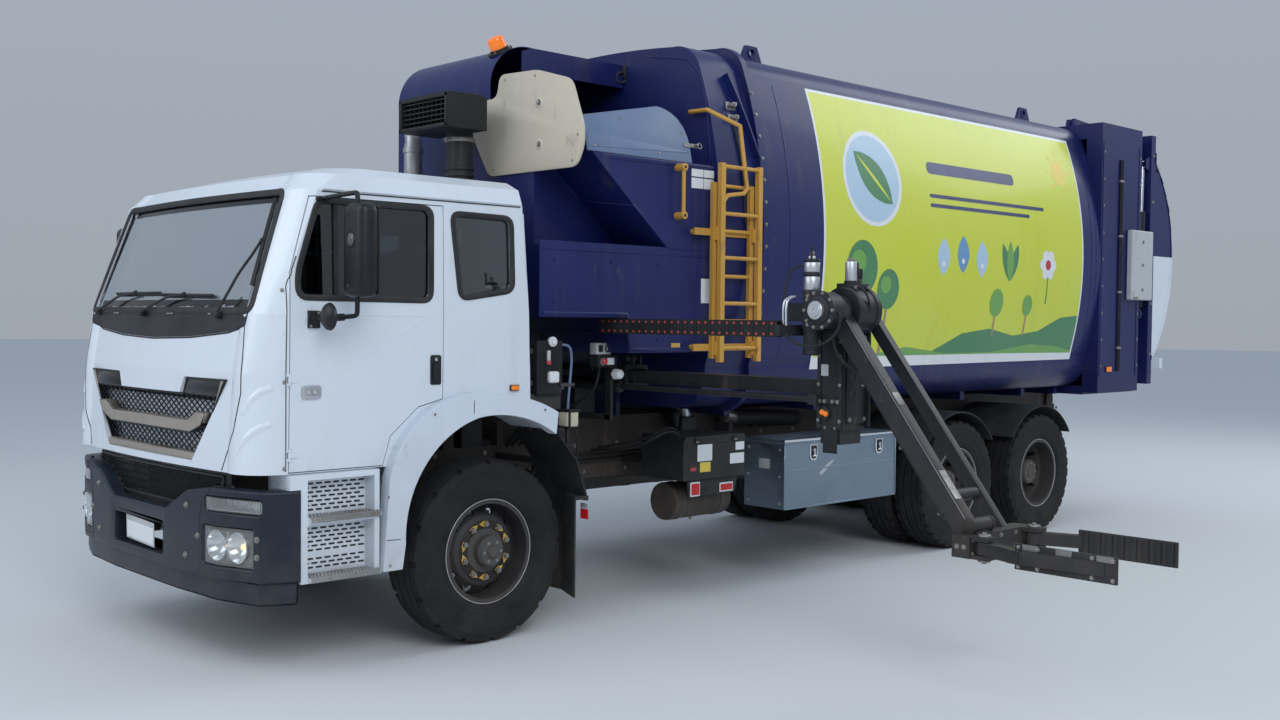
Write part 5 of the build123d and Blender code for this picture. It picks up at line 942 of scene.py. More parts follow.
# Finish of each CAD node that keeps its own shape, with the nodes that have it
CAD_FINISHES = {
    "cab_white": ("cab_shell", "door_left", "door_right", "steps"),
    "glass": ("cab_glass",),
    "dark_glass": ("door_glass_left", "door_glass_right"),
    "cloth_grey": ("cab_interior",),
    "flare_white": ("front_arches",),
    "trim_black": ("mirror_left", "mirror_right", "air_intake", "battery_box", "energy_chain"),
    "mirror_black": ("grille",),
    "bumper_grey": ("bumper",),
    "lens_clear": ("front_lamps",),
    "flap_rubber": ("mudguards",),
    "rim_steel": ("exhaust_stack",),
    "chassis_paint": ("chassis_frame", "body_sills", "tanks"),
    "cast_dark": ("axles", "knuckle_left", "knuckle_right", "track_rod", "springs", "engine", "packer"),
    "box_alu": ("tool_box",),
    "body_blue": ("barrel", "hopper", "rear_frame", "hood"),
    "tailgate_paint": ("tailgate",),
    "cover_grey": ("lock_covers",),
    "shield_beige": ("shield",),
    "ochre": ("ladder",),
    "lifter_paint": ("slide_housing", "mast", "lift_arm", "jaw_front", "jaw_rear", "gate_barrels",
                     "hoist_barrels"),
    "chrome": ("gate_rods", "hoist_rods"),
}


class GARBAGETRUCK_OT_frame_finishes(bpy.types.Operator):
    """Gives every carried-over CAD node its finish"""
    bl_idname = "garbage_truck.frame_finishes"
    bl_label = "Finishes on the frame"

    def execute(self, context):
        finish_of = {name: finish_name for finish_name, names in CAD_FINISHES.items() for name in names}
        for name, node in frame["nodes"].items():
            if name.startswith("tyre"):
                chosen = "tyre"
            elif name.startswith("rim"):
                chosen = "rim_steel"
            else:
                chosen = finish_of[name]
            for place in node.material_slots:
                place.material = FINISHES[chosen]
        return {"FINISHED"}


# Wheels

def wheel_places():
    """Each wheel body with its tyre and rim nodes, and the tyres on it: x, y and which way is out."""
    for side, s in SIDES:
        yield f"wheel_front_{side}", f"tyre_front_{side}", ((0.0, s * FRONT_WHEEL_Y, s),)
        for axle, x in AXLES_X.items():
            yield (f"wheels_{axle}_{side}", f"tyres_{axle}_{side}",
                   ((x, s * REAR_OUTER_Y, s), (x, s * (REAR_OUTER_Y - TWIN_SPACING), -s)))


# Tyre section from bead to bead: radius, and distance out from its middle as a share of half the width
SIDEWALL = ((0.288, 0.75), (0.301, 0.79), (0.305, 0.87), (0.318, 0.915), (0.322, 0.935), (0.327, 0.925),
            (0.345, 0.962), (0.349, 0.978), (0.353, 0.968), (0.385, 0.995), (0.425, 0.998), (0.429, 1.0),
            (0.433, 0.993), (0.462, 0.968), (0.466, 0.976), (0.47, 0.962), (0.489, 0.925))
TREAD_GROOVES = (0.62, 0.24)
GROOVE_HALF = 0.035
TREAD_STEPS = 96


def add_tyre(bm, x, y, lug_every):
    """Tyre with sidewall rings, ribs with grooves between them and notched shoulders."""
    half = TYRE_W / 2
    depth = sizes().tread_depth
    base = TYRE_R - depth - 0.0005
    side = [(radius, share * half) for radius, share in SIDEWALL]
    crown = [(base - 0.009, 0.9 * half)]
    for groove in TREAD_GROOVES:
        crown += [(base, (groove + GROOVE_HALF) * half), (base, (groove - GROOVE_HALF) * half)]
    left = side + crown
    part = turned(left + [(radius, -along) for radius, along in reversed(left)], TREAD_STEPS)
    raised = []
    for face in part.faces:
        spot = face.calc_center_median()
        radius, across = math.hypot(spot.x, spot.y), abs(spot.z) / half
        step = int((math.atan2(spot.y, spot.x) % math.tau) / math.tau * TREAD_STEPS)
        in_groove = any(abs(across - groove) < GROOVE_HALF for groove in TREAD_GROOVES)
        notch = across > 0.66 and step % lug_every == 0
        if radius > base - 0.02 and across < 0.9 and not in_groove and not notch:
            raised.append(face)
    made = bmesh.ops.extrude_face_region(part, geom=raised)
    for vert in made["geom"]:
        if isinstance(vert, bmesh.types.BMVert):
            reach = math.hypot(vert.co.x, vert.co.y)
            grown = min(TYRE_R - 0.0002, reach + depth) / reach
            vert.co.x *= grown
            vert.co.y *= grown
    bmesh.ops.delete(part, geom=[face for face in raised if face.is_valid], context="FACES_ONLY")
    merge(bm, part, 0, Matrix.Translation((x, y, HUB_Z)) @ facing((0, 1, 0)))


class GARBAGETRUCK_OT_tyres(bpy.types.Operator):
    """Treaded tyres in place of the plain ones"""
    bl_idname = "garbage_truck.tyres"
    bl_label = "Tyres"

    def execute(self, context):
        for body, tyre_node, places in wheel_places():
            bm = bmesh.new()
            for x, y, _out in places:
                add_tyre(bm, x, y, 6 if x == 0.0 else 3)
            new_piece(tyre_node + "_treaded", bm, "tyre", body, (tyre_node,), sharp=40)
        return {"FINISHED"}


# Wheel nuts, hub caps and rim lips

STUDS = 10
STUD_CIRCLE = 0.1525


def add_studs(bm, x, y, s, along, with_pointers):
    """Ring of wheel nuts with washers and stud ends, and yellow pointers that show a nut that turns."""
    radius = sizes().stud_radius
    for i in range(STUDS):
        angle = math.tau * (i + 0.5) / STUDS
        way = Vector((math.cos(angle), 0, math.sin(angle)))
        foot = Vector((x, y + s * along, HUB_Z)) + way * STUD_CIRCLE
        out = Vector((0, s, 0))
        add_rod(bm, foot, foot + out * 0.004, radius * 1.3, 16, 0.001, 0)
        add_rod(bm, foot + out * 0.003, foot + out * 0.023, radius, 6, 0.002, 1)
        add_rod(bm, foot + out * 0.02, foot + out * 0.031, radius * 0.5, 10, 0.001, 1)
        if with_pointers:
            turn = Vector((-math.sin(angle), 0, math.cos(angle))) * (1 if i % 2 else -1)
            tip, left, right = turn * 0.044, turn * 0.012 + way * 0.0175, turn * 0.012 - way * 0.0175
            points = [((foot + p).x, (foot + p).z) for p in (tip, left, turn * -0.014 + way * 0.016,
                                                             turn * -0.014 - way * 0.016, right)]
            add_outline(bm, points, "side", foot.y + s * 0.0045, foot.y + s * 0.0085, 0.0, 2)


class GARBAGETRUCK_OT_hubs(bpy.types.Operator):
    """Rusty stud rings, nuts with yellow pointers, hub caps and bright rim lips"""
    bl_idname = "garbage_truck.hubs"
    bl_label = "Hubs and nuts"

    def execute(self, context):
        half = TYRE_W / 2
        for body, tyre_node, places in wheel_places():
            bm = bmesh.new()
            x, y, s = places[0]
            axle = (0, s, 0)
            centre = (x, y, HUB_Z)
            front = x == 0.0
            along = 0.0755 if front else -0.1555
            ring = [(0.0885, 0.0), (0.0885, 0.006), (0.17, 0.006), (0.1745, 0.003), (0.1745, 0.0)]
            add_turned(bm, [(r, a + along) for r, a in ring], centre, axle, 64, 0, closed=True)
            add_studs(bm, x, y, s, along + 0.006, front)
            if front:
                cap = [(0.0885, 0.005), (0.0885, 0.022), (0.108, 0.022), (0.113, 0.017), (0.122, 0.017),
                       (0.127, 0.011), (0.127, 0.005)]
                add_turned(bm, [(r, a + along) for r, a in cap], centre, axle, 64, 3, closed=True)
                sleeve = [(0.0868, 0.02), (0.0875, 0.05), (0.0875, 0.062), (0.078, 0.074), (0.0755, 0.0797),
                          (0.034, 0.0797), (0.032, 0.092), (0.027, 0.097), (0.0, 0.097)]
                add_turned(bm, [(r, a + along) for r, a in sleeve], centre, axle, 48, 3)
                bolts, bolt_along, reach = 6, along + 0.0797, 0.058
            else:
                sleeve = [(0.1105, 0.0), (0.1115, 0.16), (0.1115, 0.182), (0.1, 0.2025), (0.052, 0.2025),
                          (0.048, 0.209), (0.0, 0.209)]
                add_turned(bm, [(r, a + along) for r, a in sleeve], centre, axle, 48, 3)
                bolts, bolt_along, reach = 8, along + 0.2025, 0.078
            for i in range(bolts):
                angle = math.tau * i / bolts
                spot = Vector((reach * math.cos(angle), s * bolt_along, reach * math.sin(angle)))
                add_bolts(bm, [Vector(centre) + spot], axle, 0.0075, 0.008, 1)
            for _x, ring_y, way in places:
                add_torus(bm, (x, ring_y + way * (half - 0.0242), HUB_Z), axle, 0.2975, 0.0032, 96, 8, 4)
            valve = Vector(centre) + Vector((0.12, s * (along - 0.04), -0.19))
            if front:
                add_hose(bm,
                         [valve, valve + Vector((0.012, s * 0.03, -0.012)),
                          valve + Vector((0.03, s * 0.055, -0.03))], 0.0055, 8, 1, 3)
            new_piece(tyre_node + "_hub", bm,
                      ("hub_rust", "bolt_steel", "hand_yellow", "cast_dark", "rim_lip"), body,
                      sharp=38)
        return {"FINISHED"}


# Cab panels, glass trim, wipers, handles and lamps

SCREEN_OUTLINE = ((-1.021, 1.875), (1.021, 1.875), (0.966, 2.494), (-0.966, 2.494))
APRON_OUTLINE = ((1.012, 1.871), (1.0, 1.806), (0.82, 1.768), (0.45, 1.738), (0.0, 1.726), (-0.45, 1.738),
                 (-0.82, 1.768), (-1.0, 1.806), (-1.012, 1.871))
WINDOW_LINE = ((1.2, 1.946), (0.399, 1.942), (0.389, 2.444), (1.083, 2.444), (1.203, 2.068))
QUARTER_LINE = ((0.203, 1.956), (-0.164, 2.009), (-0.16, 2.422), (0.255, 2.427))


class GARBAGETRUCK_OT_cab_panels(bpy.types.Operator):
    """Seams, embossed arches, apron, roof gutter and pillar bolts of the cab"""
    bl_idname = "garbage_truck.cab_panels"
    bl_label = "Cab panels"

    def execute(self, context):
        skin = ("cab_shell", "door_left", "door_right")
        for side, _s in SIDES:
            dressed("door_" + side, "cab_white", 0.004)
        bm = bmesh.new()
        for _side, s in SIDES:
            arch = [(1.037, 1.363), (1.075, 1.425), (1.115, 1.47), (1.15, 1.492)]
            low_arch = [(0.985, 1.14), (1.05, 1.225), (1.105, 1.28), (1.15, 1.312)]
            for line in (arch, low_arch):
                spots = follow([(s * y, z) for y, z in line], "front", AHEAD, skin, 0.02)
                add_band(bm, spots, 0.045, 0.007, 0, shape="ridge")
            seam = [(0.993, 1.808), (1.012, 1.64), (1.021, 1.462), (0.975, 1.27), (0.9, 1.15),
                    (0.86, 1.062)]
            add_band(bm, follow([(s * y, z) for y, z in seam], "front", AHEAD, skin, 0.02), 0.007, 0.0012,
                     1, shape="flat")
            roof_line = [(1.06, 2.502), (0.6, 2.503), (0.1, 2.503), (-0.225, 2.503)]
            spots = follow(roof_line, "side", s * BESIDE, skin, 0.05)
            add_band(bm, spots, 0.02, 0.016, 0, shape="round")
            add_band(bm, follow([(x, z - 0.0125) for x, z in roof_line], "side", s * BESIDE, skin, 0.05),
                     0.005, 0.003, 1, shape="flat")
            pillar = [(1.214, 2.17), (1.262, 2.0), (1.268, 1.6), (1.269, 1.07)]
            add_band(bm, follow(pillar, "side", s * BESIDE, skin, 0.04), 0.005, 0.0012, 1, shape="flat")
            for z in (1.98, 1.52, 1.085):
                spot, normal = land(skin, (1.277, s * BESIDE, z), (0, -s, 0))
                add_rod(bm, spot, spot + normal * 0.005, 0.011, 16, 0.002, 2)
                add_rod(bm, spot, spot + normal * 0.009, 0.006, 6, 0.001, 2)
            rear = follow([(-0.262, 2.47), (-0.283, 1.42)], "side", s * BESIDE, skin, 0.1)
            add_band(bm, rear, 0.012, 0.004, 0, shape="round")
            lower = follow([(0.66, 1.152), (0.6, 1.185), (0.515, 1.285)], "side", s * BESIDE, skin, 0.05)
            add_band(bm, lower, 0.008, 0.003, 0, shape="round")
            pressed = rounded_corners(oblong(1.17, 1.44, 0.42, 1.86), 0.05)
            add_band(bm, follow(pressed[:3] + pressed[-8:], "side", s * BESIDE, skin, 0.05), 0.01, 0.0018,
                     0, shape="round")
        add_patch(bm, APRON_OUTLINE, "front", AHEAD, skin, -0.001, 0.004, 3, 0.06)
        edge = [(0.99, 1.8), (0.82, 1.762), (0.45, 1.732), (0.0, 1.72), (-0.45, 1.732), (-0.82, 1.762),
                (-0.99, 1.8)]
        add_band(bm, follow(edge, "front", AHEAD, skin, 0.05), 0.008, 0.003, 1, shape="round")
        for y in (-0.62, -0.58, 0.16, 0.2, 0.62):
            spot, normal = land(skin, (AHEAD, y, 1.857), (-1, 0, 0))
            add_block(bm, spot + Vector((-0.004, -0.012, -0.004)), spot + Vector((0.012, 0.012, 0.005)),
                      0.002, 1, 4)
        roof_front = [(y, 2.522 - 0.01 * abs(y)) for y in (-0.99, -0.8, -0.5, 0, 0.5, 0.8, 0.99)]
        add_band(bm, follow(roof_front, "front", AHEAD, skin, 0.05), 0.024, 0.006, 0, shape="round")
        new_piece("cab_panel_lines", bm,
                  ("cab_white", "seam_dark_and_hole_shade", "bolt_steel", "apron_black", "bolt_steel"), "truck",
                  sharp=50)
        return {"FINISHED"}


def add_screen_border(bm):
    """Black printed edge on the windscreen, inside its rubber."""
    top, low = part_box("cab_glass")[1].z - 0.002, 1.883
    strips = (
        [(-1.007, low), (1.007, low), (0.985, low + 0.050), (-0.985, low + 0.050)],
        [(-0.945, top - 0.042), (0.945, top - 0.042), (0.951, top), (-0.951, top)],
        [(0.962, low + 0.048), (1.004, low + 0.048), (0.951, top), (0.909, top - 0.04)],
        [(-0.962, low + 0.048), (-1.004, low + 0.048), (-0.951, top), (-0.909, top - 0.04)],
    )
    for strip in strips:
        add_patch(bm, strip, "front", AHEAD, ("cab_glass",), 0.0004, 0.0006, 1, 0.08)


def over_screen(y, z, lift):
    """Place in front of the windscreen or the panel under it."""
    spot, normal = land(("cab_shell", "cab_glass"), (AHEAD, y, z), (-1, 0, 0))
    return spot + normal * lift


def add_wiper(bm, pivot, bend, blade):
    """Wiper: cap on its shaft, bent arm, blade holder and rubber."""
    foot = over_screen(*pivot, 0.0)
    out = land(("cab_shell",), (AHEAD, *pivot), (-1, 0, 0))[1]
    add_rod(bm, foot - out * 0.004, foot + out * 0.035, 0.019, 20, 0.004, 0)
    start, end = Vector(blade[0]), Vector(blade[1])
    middle = start.lerp(end, 0.5)
    arm = [foot + out * 0.03, over_screen(*Vector(pivot).lerp(Vector(bend), 0.5), 0.036),
           over_screen(*bend, 0.036), over_screen(*Vector(bend).lerp(middle, 0.6), 0.033),
           over_screen(*middle, 0.028)]
    add_hose(bm, arm, 0.0075, 8, 0, 3)
    for lift, width, height, shape, sunk in ((0.015, 0.02, 0.01, "ridge", 0.003),
                                             (0.004, 0.006, 0.013, "flat", 0.0015)):
        spots = follow([tuple(start), tuple(end)], "front", AHEAD, ("cab_glass", "cab_shell"), 0.04,
                       lift=lift)
        add_band(bm, spots, width, height, 0, shape=shape, sunk=sunk)
    clip = over_screen(*middle, 0.024)
    add_rod(bm, clip - Vector((0, 0, 0.014)), clip + Vector((0, 0, 0.014)), 0.009, 12, 0.002, 0)


class GARBAGETRUCK_OT_glazing(bpy.types.Operator):
    """Rubbers round the windscreen and windows, the printed edge, the panes and three wipers"""
    bl_idname = "garbage_truck.glazing"
    bl_label = "Window rubbers and wipers"

    def execute(self, context):
        bm = bmesh.new()
        outline = rounded_corners(SCREEN_OUTLINE, 0.045, 5)
        add_band(bm, follow(outline, "front", AHEAD, ("cab_shell",), 0.06, closed=True), 0.036, 0.007, 0,
                 closed=True)
        add_screen_border(bm)
        for _side, s in SIDES:
            outline = rounded_corners(QUARTER_LINE, 0.055, 5)
            spots = follow(outline, "side", s * BESIDE, ("cab_shell",), 0.06, closed=True)
            add_band(bm, spots, 0.032, 0.008, 0, closed=True)
        new_piece("screen_rubbers", bm, ("screen_rubber", "frit_black"), "truck", sharp=50)
        panes = dressed("cab_glass", "glass", 0.0)
        # The windscreen faces get the glass with the painted milky sky reflection.
        panes.data.materials.append(FINISHES["screen_glass_painted_sky"])
        for face in panes.data.polygons:
            if face.center.x > 0.7 + TRUCK_TO_ROOM.x:
                face.material_index = 1
        for side, s in SIDES:
            bm = bmesh.new()
            outline = rounded_corners(WINDOW_LINE, 0.055, 5)
            spots = follow(outline, "side", s * BESIDE, ("door_" + side,), 0.06, closed=True)
            add_band(bm, spots, 0.032, 0.007, 0, closed=True)
            spots = follow([(0.98, 1.962), (0.98, 2.43)], "side", s * BESIDE, ("door_glass_" + side,), 0.1)
            add_band(bm, spots, 0.022, 0.012, 0, shape="flat")
            new_piece(f"window_rubber_{side}", bm, ("screen_rubber",), "door_" + side,
                      sharp=50)
        bm = bmesh.new()
        add_wiper(bm, (0.722, 1.851), (0.8, 2.06), ((0.955, 2.0), (0.885, 2.455)))
        add_wiper(bm, (-0.155, 1.858), (0.1, 1.935), ((-0.02, 1.958), (0.585, 1.95)))
        add_wiper(bm, (-0.9, 1.86), (-0.62, 1.945), ((-0.72, 1.968), (-0.04, 1.968)))
        new_piece("wipers", bm, ("trim_black",), "truck", sharp=40)
        return {"FINISHED"}


class GARBAGETRUCK_OT_door_trim(bpy.types.Operator):
    """Door handles, silver side lamps and the amber marker behind the door"""
    bl_idname = "garbage_truck.door_trim"
    bl_label = "Door trim"

    def execute(self, context):
        for side, s in SIDES:
            bm = bmesh.new()
            y = s * 1.17
            plate = rounded_corners(oblong(0.335, 1.482, 0.405, 1.645), 0.014)
            add_outline(bm, plate, "side", y - s * 0.002, y + s * 0.006, 0.002, 0)
            add_block(bm, (0.348, y, 1.5), (0.392, y + s * 0.02, 1.6), 0.006, 2, 0)
            add_rod(bm, (0.37, y, 1.622), (0.37, y + s * 0.01, 1.622), 0.01, 16, 0.002, 1)
            bezel = rounded_corners(oblong(1.075, 1.432, 1.185, 1.5), 0.016)
            add_outline(bm, bezel, "side", y - s * 0.002, y + s * 0.014, 0.004, 2)
            lens = rounded_corners(oblong(1.097, 1.45, 1.163, 1.482), 0.015)
            add_outline(bm, lens, "side", y + s * 0.01, y + s * 0.019, 0.003, 3)
            for x in (1.112, 1.148):
                add_rod(bm, (x, y + s * 0.008, 1.466), (x, y + s * 0.0205, 1.466), 0.01, 16, 0.002, 1)
            new_piece(f"door_trim_{side}", bm, ("trim_black", "chrome", "lamp_silver", "lens_clear"),
                      "door_" + side, sharp=40)
        bm = bmesh.new()
        for _side, s in SIDES:
            y = s * 1.17
            add_block(bm, (-0.205, y - s * 0.002, 1.432), (-0.141, y + s * 0.012, 1.466), 0.003, 2, 0)
            add_block(bm, (-0.2, y + s * 0.004, 1.436), (-0.146, y + s * 0.019, 1.462), 0.006, 3, 1)
        new_piece("side_markers", bm, ("trim_black", "lens_amber"), "truck", sharp=40)
        return {"FINISHED"}


# Grille and bumper

class GARBAGETRUCK_OT_grille_trim(bpy.types.Operator):
    """Silver-beige cheeks, bar and lip of the grille, and its black bands"""
    bl_idname = "garbage_truck.grille_trim"
    bl_label = "Grille trim"

    def execute(self, context):
        bm = bmesh.new()
        left = (0.522, 1.236), (0.652, 1.279), (0.706, 1.347), (0.59, 1.347), (0.498, 1.3)
        outline = [*left, *[(-y, z) for y, z in reversed(left)]]
        add_outline(bm, outline, "front", 1.4235, 1.4795, 0.011, 0)
        lip = [(0.548, 1.0885), (0.585, 1.131), (-0.585, 1.131), (-0.548, 1.0885)]
        add_outline(bm, lip, "front", 1.424, 1.4735, 0.01, 0)
        for s in (1, -1):
            cheek = [(s * 0.565, 1.092), (s * 0.86, 1.517), (s * 0.832, 1.517), (s * 0.77, 1.4),
                     (s * 0.7, 1.275), (s * 0.645, 1.215), (s * 0.586, 1.135), (s * 0.552, 1.1)]
            add_outline(bm, cheek, "front", 1.4465, 1.4515, 0.002, 0)
            band = [(s * 0.392, 1.437), (s * 0.806, 1.437), (s * 0.855, 1.5165), (s * 0.431, 1.5165)]
            add_outline(bm, rounded_corners(band, 0.012, 3), "front", 1.4435, 1.4485, 0.002, 1)
        new_piece("grille_bar", bm, ("bar_beige", "frit_black"), "truck", sharp=38)
        return {"FINISHED"}


class GARBAGETRUCK_OT_bumper_trim(bpy.types.Operator):
    """Rounded bumper with bolts, seams, the blank plate that hangs from it, and its lamps"""
    bl_idname = "garbage_truck.bumper_trim"
    bl_label = "Bumper and lamps"

    def execute(self, context):
        dressed("bumper", "bumper_grey", 0.016, 3, tidy=False)
        self.fittings()
        self.blank_plate()
        self.lamps()
        return {"FINISHED"}

    def fittings(self):
        """Bolts, seams and studs of the bumper, and the lip round its slot."""
        shell = ("bumper",)
        bm = bmesh.new()
        for s in (1, -1):
            for y, z in ((0.585, 0.862), (0.575, 0.6), (0.7, 0.715), (1.128, 0.735), (1.128, 0.645)):
                spot, normal = land(shell, (AHEAD, s * y, z), (-1, 0, 0))
                add_rod(bm, spot - normal * 0.002, spot + normal * 0.004, 0.017, 18, 0.002, 0)
                add_bolts(bm, [spot + normal * 0.003], normal, 0.01, 0.009, 0)
            seam = [(s * 0.822, 0.972), (s * 0.735, 0.9), (s * 0.712, 0.8), (s * 0.707, 0.52)]
            add_band(bm, follow(seam, "front", AHEAD, shell, 0.03), 0.006, 0.0012, 1, shape="flat")
            low_seam = [(s * 0.707, 0.545), (s * 1.1, 0.553)]
            add_band(bm, follow(low_seam, "front", AHEAD, shell, 0.05), 0.006, 0.0012, 1, shape="flat")
            top = land(shell, (1.43, s * 0.93, 1.3), (0, 0, -1))[0]
            add_rod(bm, top, top + Vector((0, 0, 0.012)), 0.01, 12, 0.003, 1)
        slot_edge = rounded_corners(oblong(-0.33, 0.56, 0.33, 0.74), 0.03)
        add_band(bm, follow(slot_edge, "front", AHEAD, shell, 0.05, closed=True, lift=-0.0036), 0.012,
                 0.0034, 2, closed=True)
        new_piece("bumper_bolts", bm, ("bolt_steel", "seam_dark_and_hole_shade", "bumper_grey"), "truck",
                  sharp=40)

    def blank_plate(self):
        """Blank number plate that hangs a little askew from two straps in the slot."""
        bm = bmesh.new()
        tilt = Matrix.Rotation(math.radians(-2), 4, "X") @ Matrix.Rotation(math.radians(2), 4, "Y")
        add_block(bm, (1.52, -0.185, 0.588), (1.5235, 0.185, 0.722), 0.001, 1, 0, tilt)
        add_block(bm, (1.5195, -0.172, 0.6), (1.5245, 0.172, 0.692), 0.001, 1, 1, tilt)
        add_block(bm, (1.5195, -0.172, 0.696), (1.5247, 0.172, 0.714), 0.001, 1, 2, tilt)
        add_block(bm, (1.5, -0.15, 0.67), (1.519, 0.15, 0.7), 0.003, 1, 3)
        for y in (-0.14, 0.14):
            add_block(bm, (1.47, y - 0.012, 0.672), (1.512, y + 0.012, 0.752), 0.003, 1, 3)
        new_piece("number_plate_blank", bm, ("cover_grey", "sign_white", "sign_blue", "trim_black"),
                  "truck", sharp=40)

    def lamps(self):
        """Twin reflectors behind clear lenses, and clear indicators."""
        bm = bmesh.new()
        lens = bmesh.new()
        for s in (1, -1):
            for y, x, lit in ((0.835, 1.486, False), (0.985, 1.449, True)):
                centre = Vector((x - 0.06, s * y, 0.68))
                way = Vector((1.0, s * 0.17, 0)).normalized()
                bowl = [(0.0, -0.018), (0.022, -0.014), (0.05, 0.004), (0.068, 0.036), (0.074, 0.054),
                        (0.078, 0.054), (0.078, 0.04), (0.055, -0.005), (0.02, -0.026), (0.0, -0.029)]
                add_turned(bm, bowl, centre, way, 40, 0)
                add_turned(bm, [(0.0, 0.024), (0.014, 0.021), (0.019, 0.006), (0.017, -0.012)], centre, way,
                           20, 1 if lit else 0)
            plan = [(1.395, s * 0.752), (1.405, s * 0.752), (1.36, s * 1.094), (1.35, s * 1.094)]
            add_outline(bm, plan, "plan", 0.587, 0.773, 0.0, 2)
            for z0, z1 in ((0.5835, 0.5955), (0.7645, 0.7765)):
                frame_plan = [(1.37, s * 0.748), (1.4955, s * 0.748), (1.4865, s * 0.86),
                              (1.4035, s * 1.097), (1.34, s * 1.097)]
                add_outline(bm, frame_plan, "plan", z0, z1, 0.002, 2)
            add_block(bm, (1.38, s * 0.7475, 0.5835), (1.4955, s * 0.757, 0.7765), 0.002, 1, 2)
            add_block(bm, (1.33, s * 1.088, 0.5835), (1.4045, s * 1.0975, 0.7765), 0.002, 1, 2)
            add_block(bm, (1.4, s * 0.905, 0.6), (1.452, s * 0.918, 0.76), 0.003, 1, 3)
            for k in range(5):
                z = 0.622 + 0.024 * k
                add_block(bm, (1.405, s * 0.758, z), (1.478, s * 0.768, z + 0.006), 0.001, 1, 3)
            pane = [(1.4962, s * 0.7475), (1.4872, s * 0.8605), (1.4040, s * 1.0965), (1.4000, s * 1.0965),
                    (1.4830, s * 0.858), (1.4920, s * 0.7475)]
            add_outline(lens, pane, "plan", 0.5835, 0.7765, 0.0, 0)
            shell = [(1.38, s * 0.78), (1.485, s * 0.78), (1.478, s * 0.86), (1.375, s * 1.145),
                     (1.34, s * 1.145)]
            add_outline(bm, shell, "plan", 0.862, 0.866, 0.0, 3)
            bowl_back = [(1.38, s * 0.78), (1.388, s * 0.78), (1.345, s * 1.145), (1.335, s * 1.145)]
            add_outline(bm, bowl_back, "plan", 0.858, 0.927, 0.0, 3)
            for k in range(14):
                t = k / 13
                y = 0.79 + 0.34 * t
                x = 1.389 - 0.043 * t
                add_block(bm, (x - 0.004, s * y, 0.862), (x + 0.006, s * (y + 0.014), 0.924), 0.002, 1, 0)
            pane = [(1.5012, s * 0.7775), (1.4932, s * 0.8605), (1.3930, s * 1.1465), (1.389, s * 1.1445),
                    (1.4892, s * 0.858), (1.497, s * 0.7775)]
            add_outline(lens, pane, "plan", 0.8565, 0.9285, 0.0, 0)
            rim = [(1.36, s * 0.7755), (1.5015, s * 0.7755), (1.4935, s * 0.862), (1.3925, s * 1.149),
                   (1.34, s * 1.149)]
            for z0, z1 in ((0.8555, 0.861), (0.924, 0.9295)):
                add_outline(bm, rim, "plan", z0, z1, 0.0015, 2)
        new_piece("lamp_bowls", bm, ("reflector", "lamp_warm", "trim_black", "lamp_silver"), "truck",
                  ("front_lamps",), sharp=40)
        new_piece("lamp_lenses", lens, ("lens_clear",), "truck", sharp=40)


# Mirrors, steps and arches

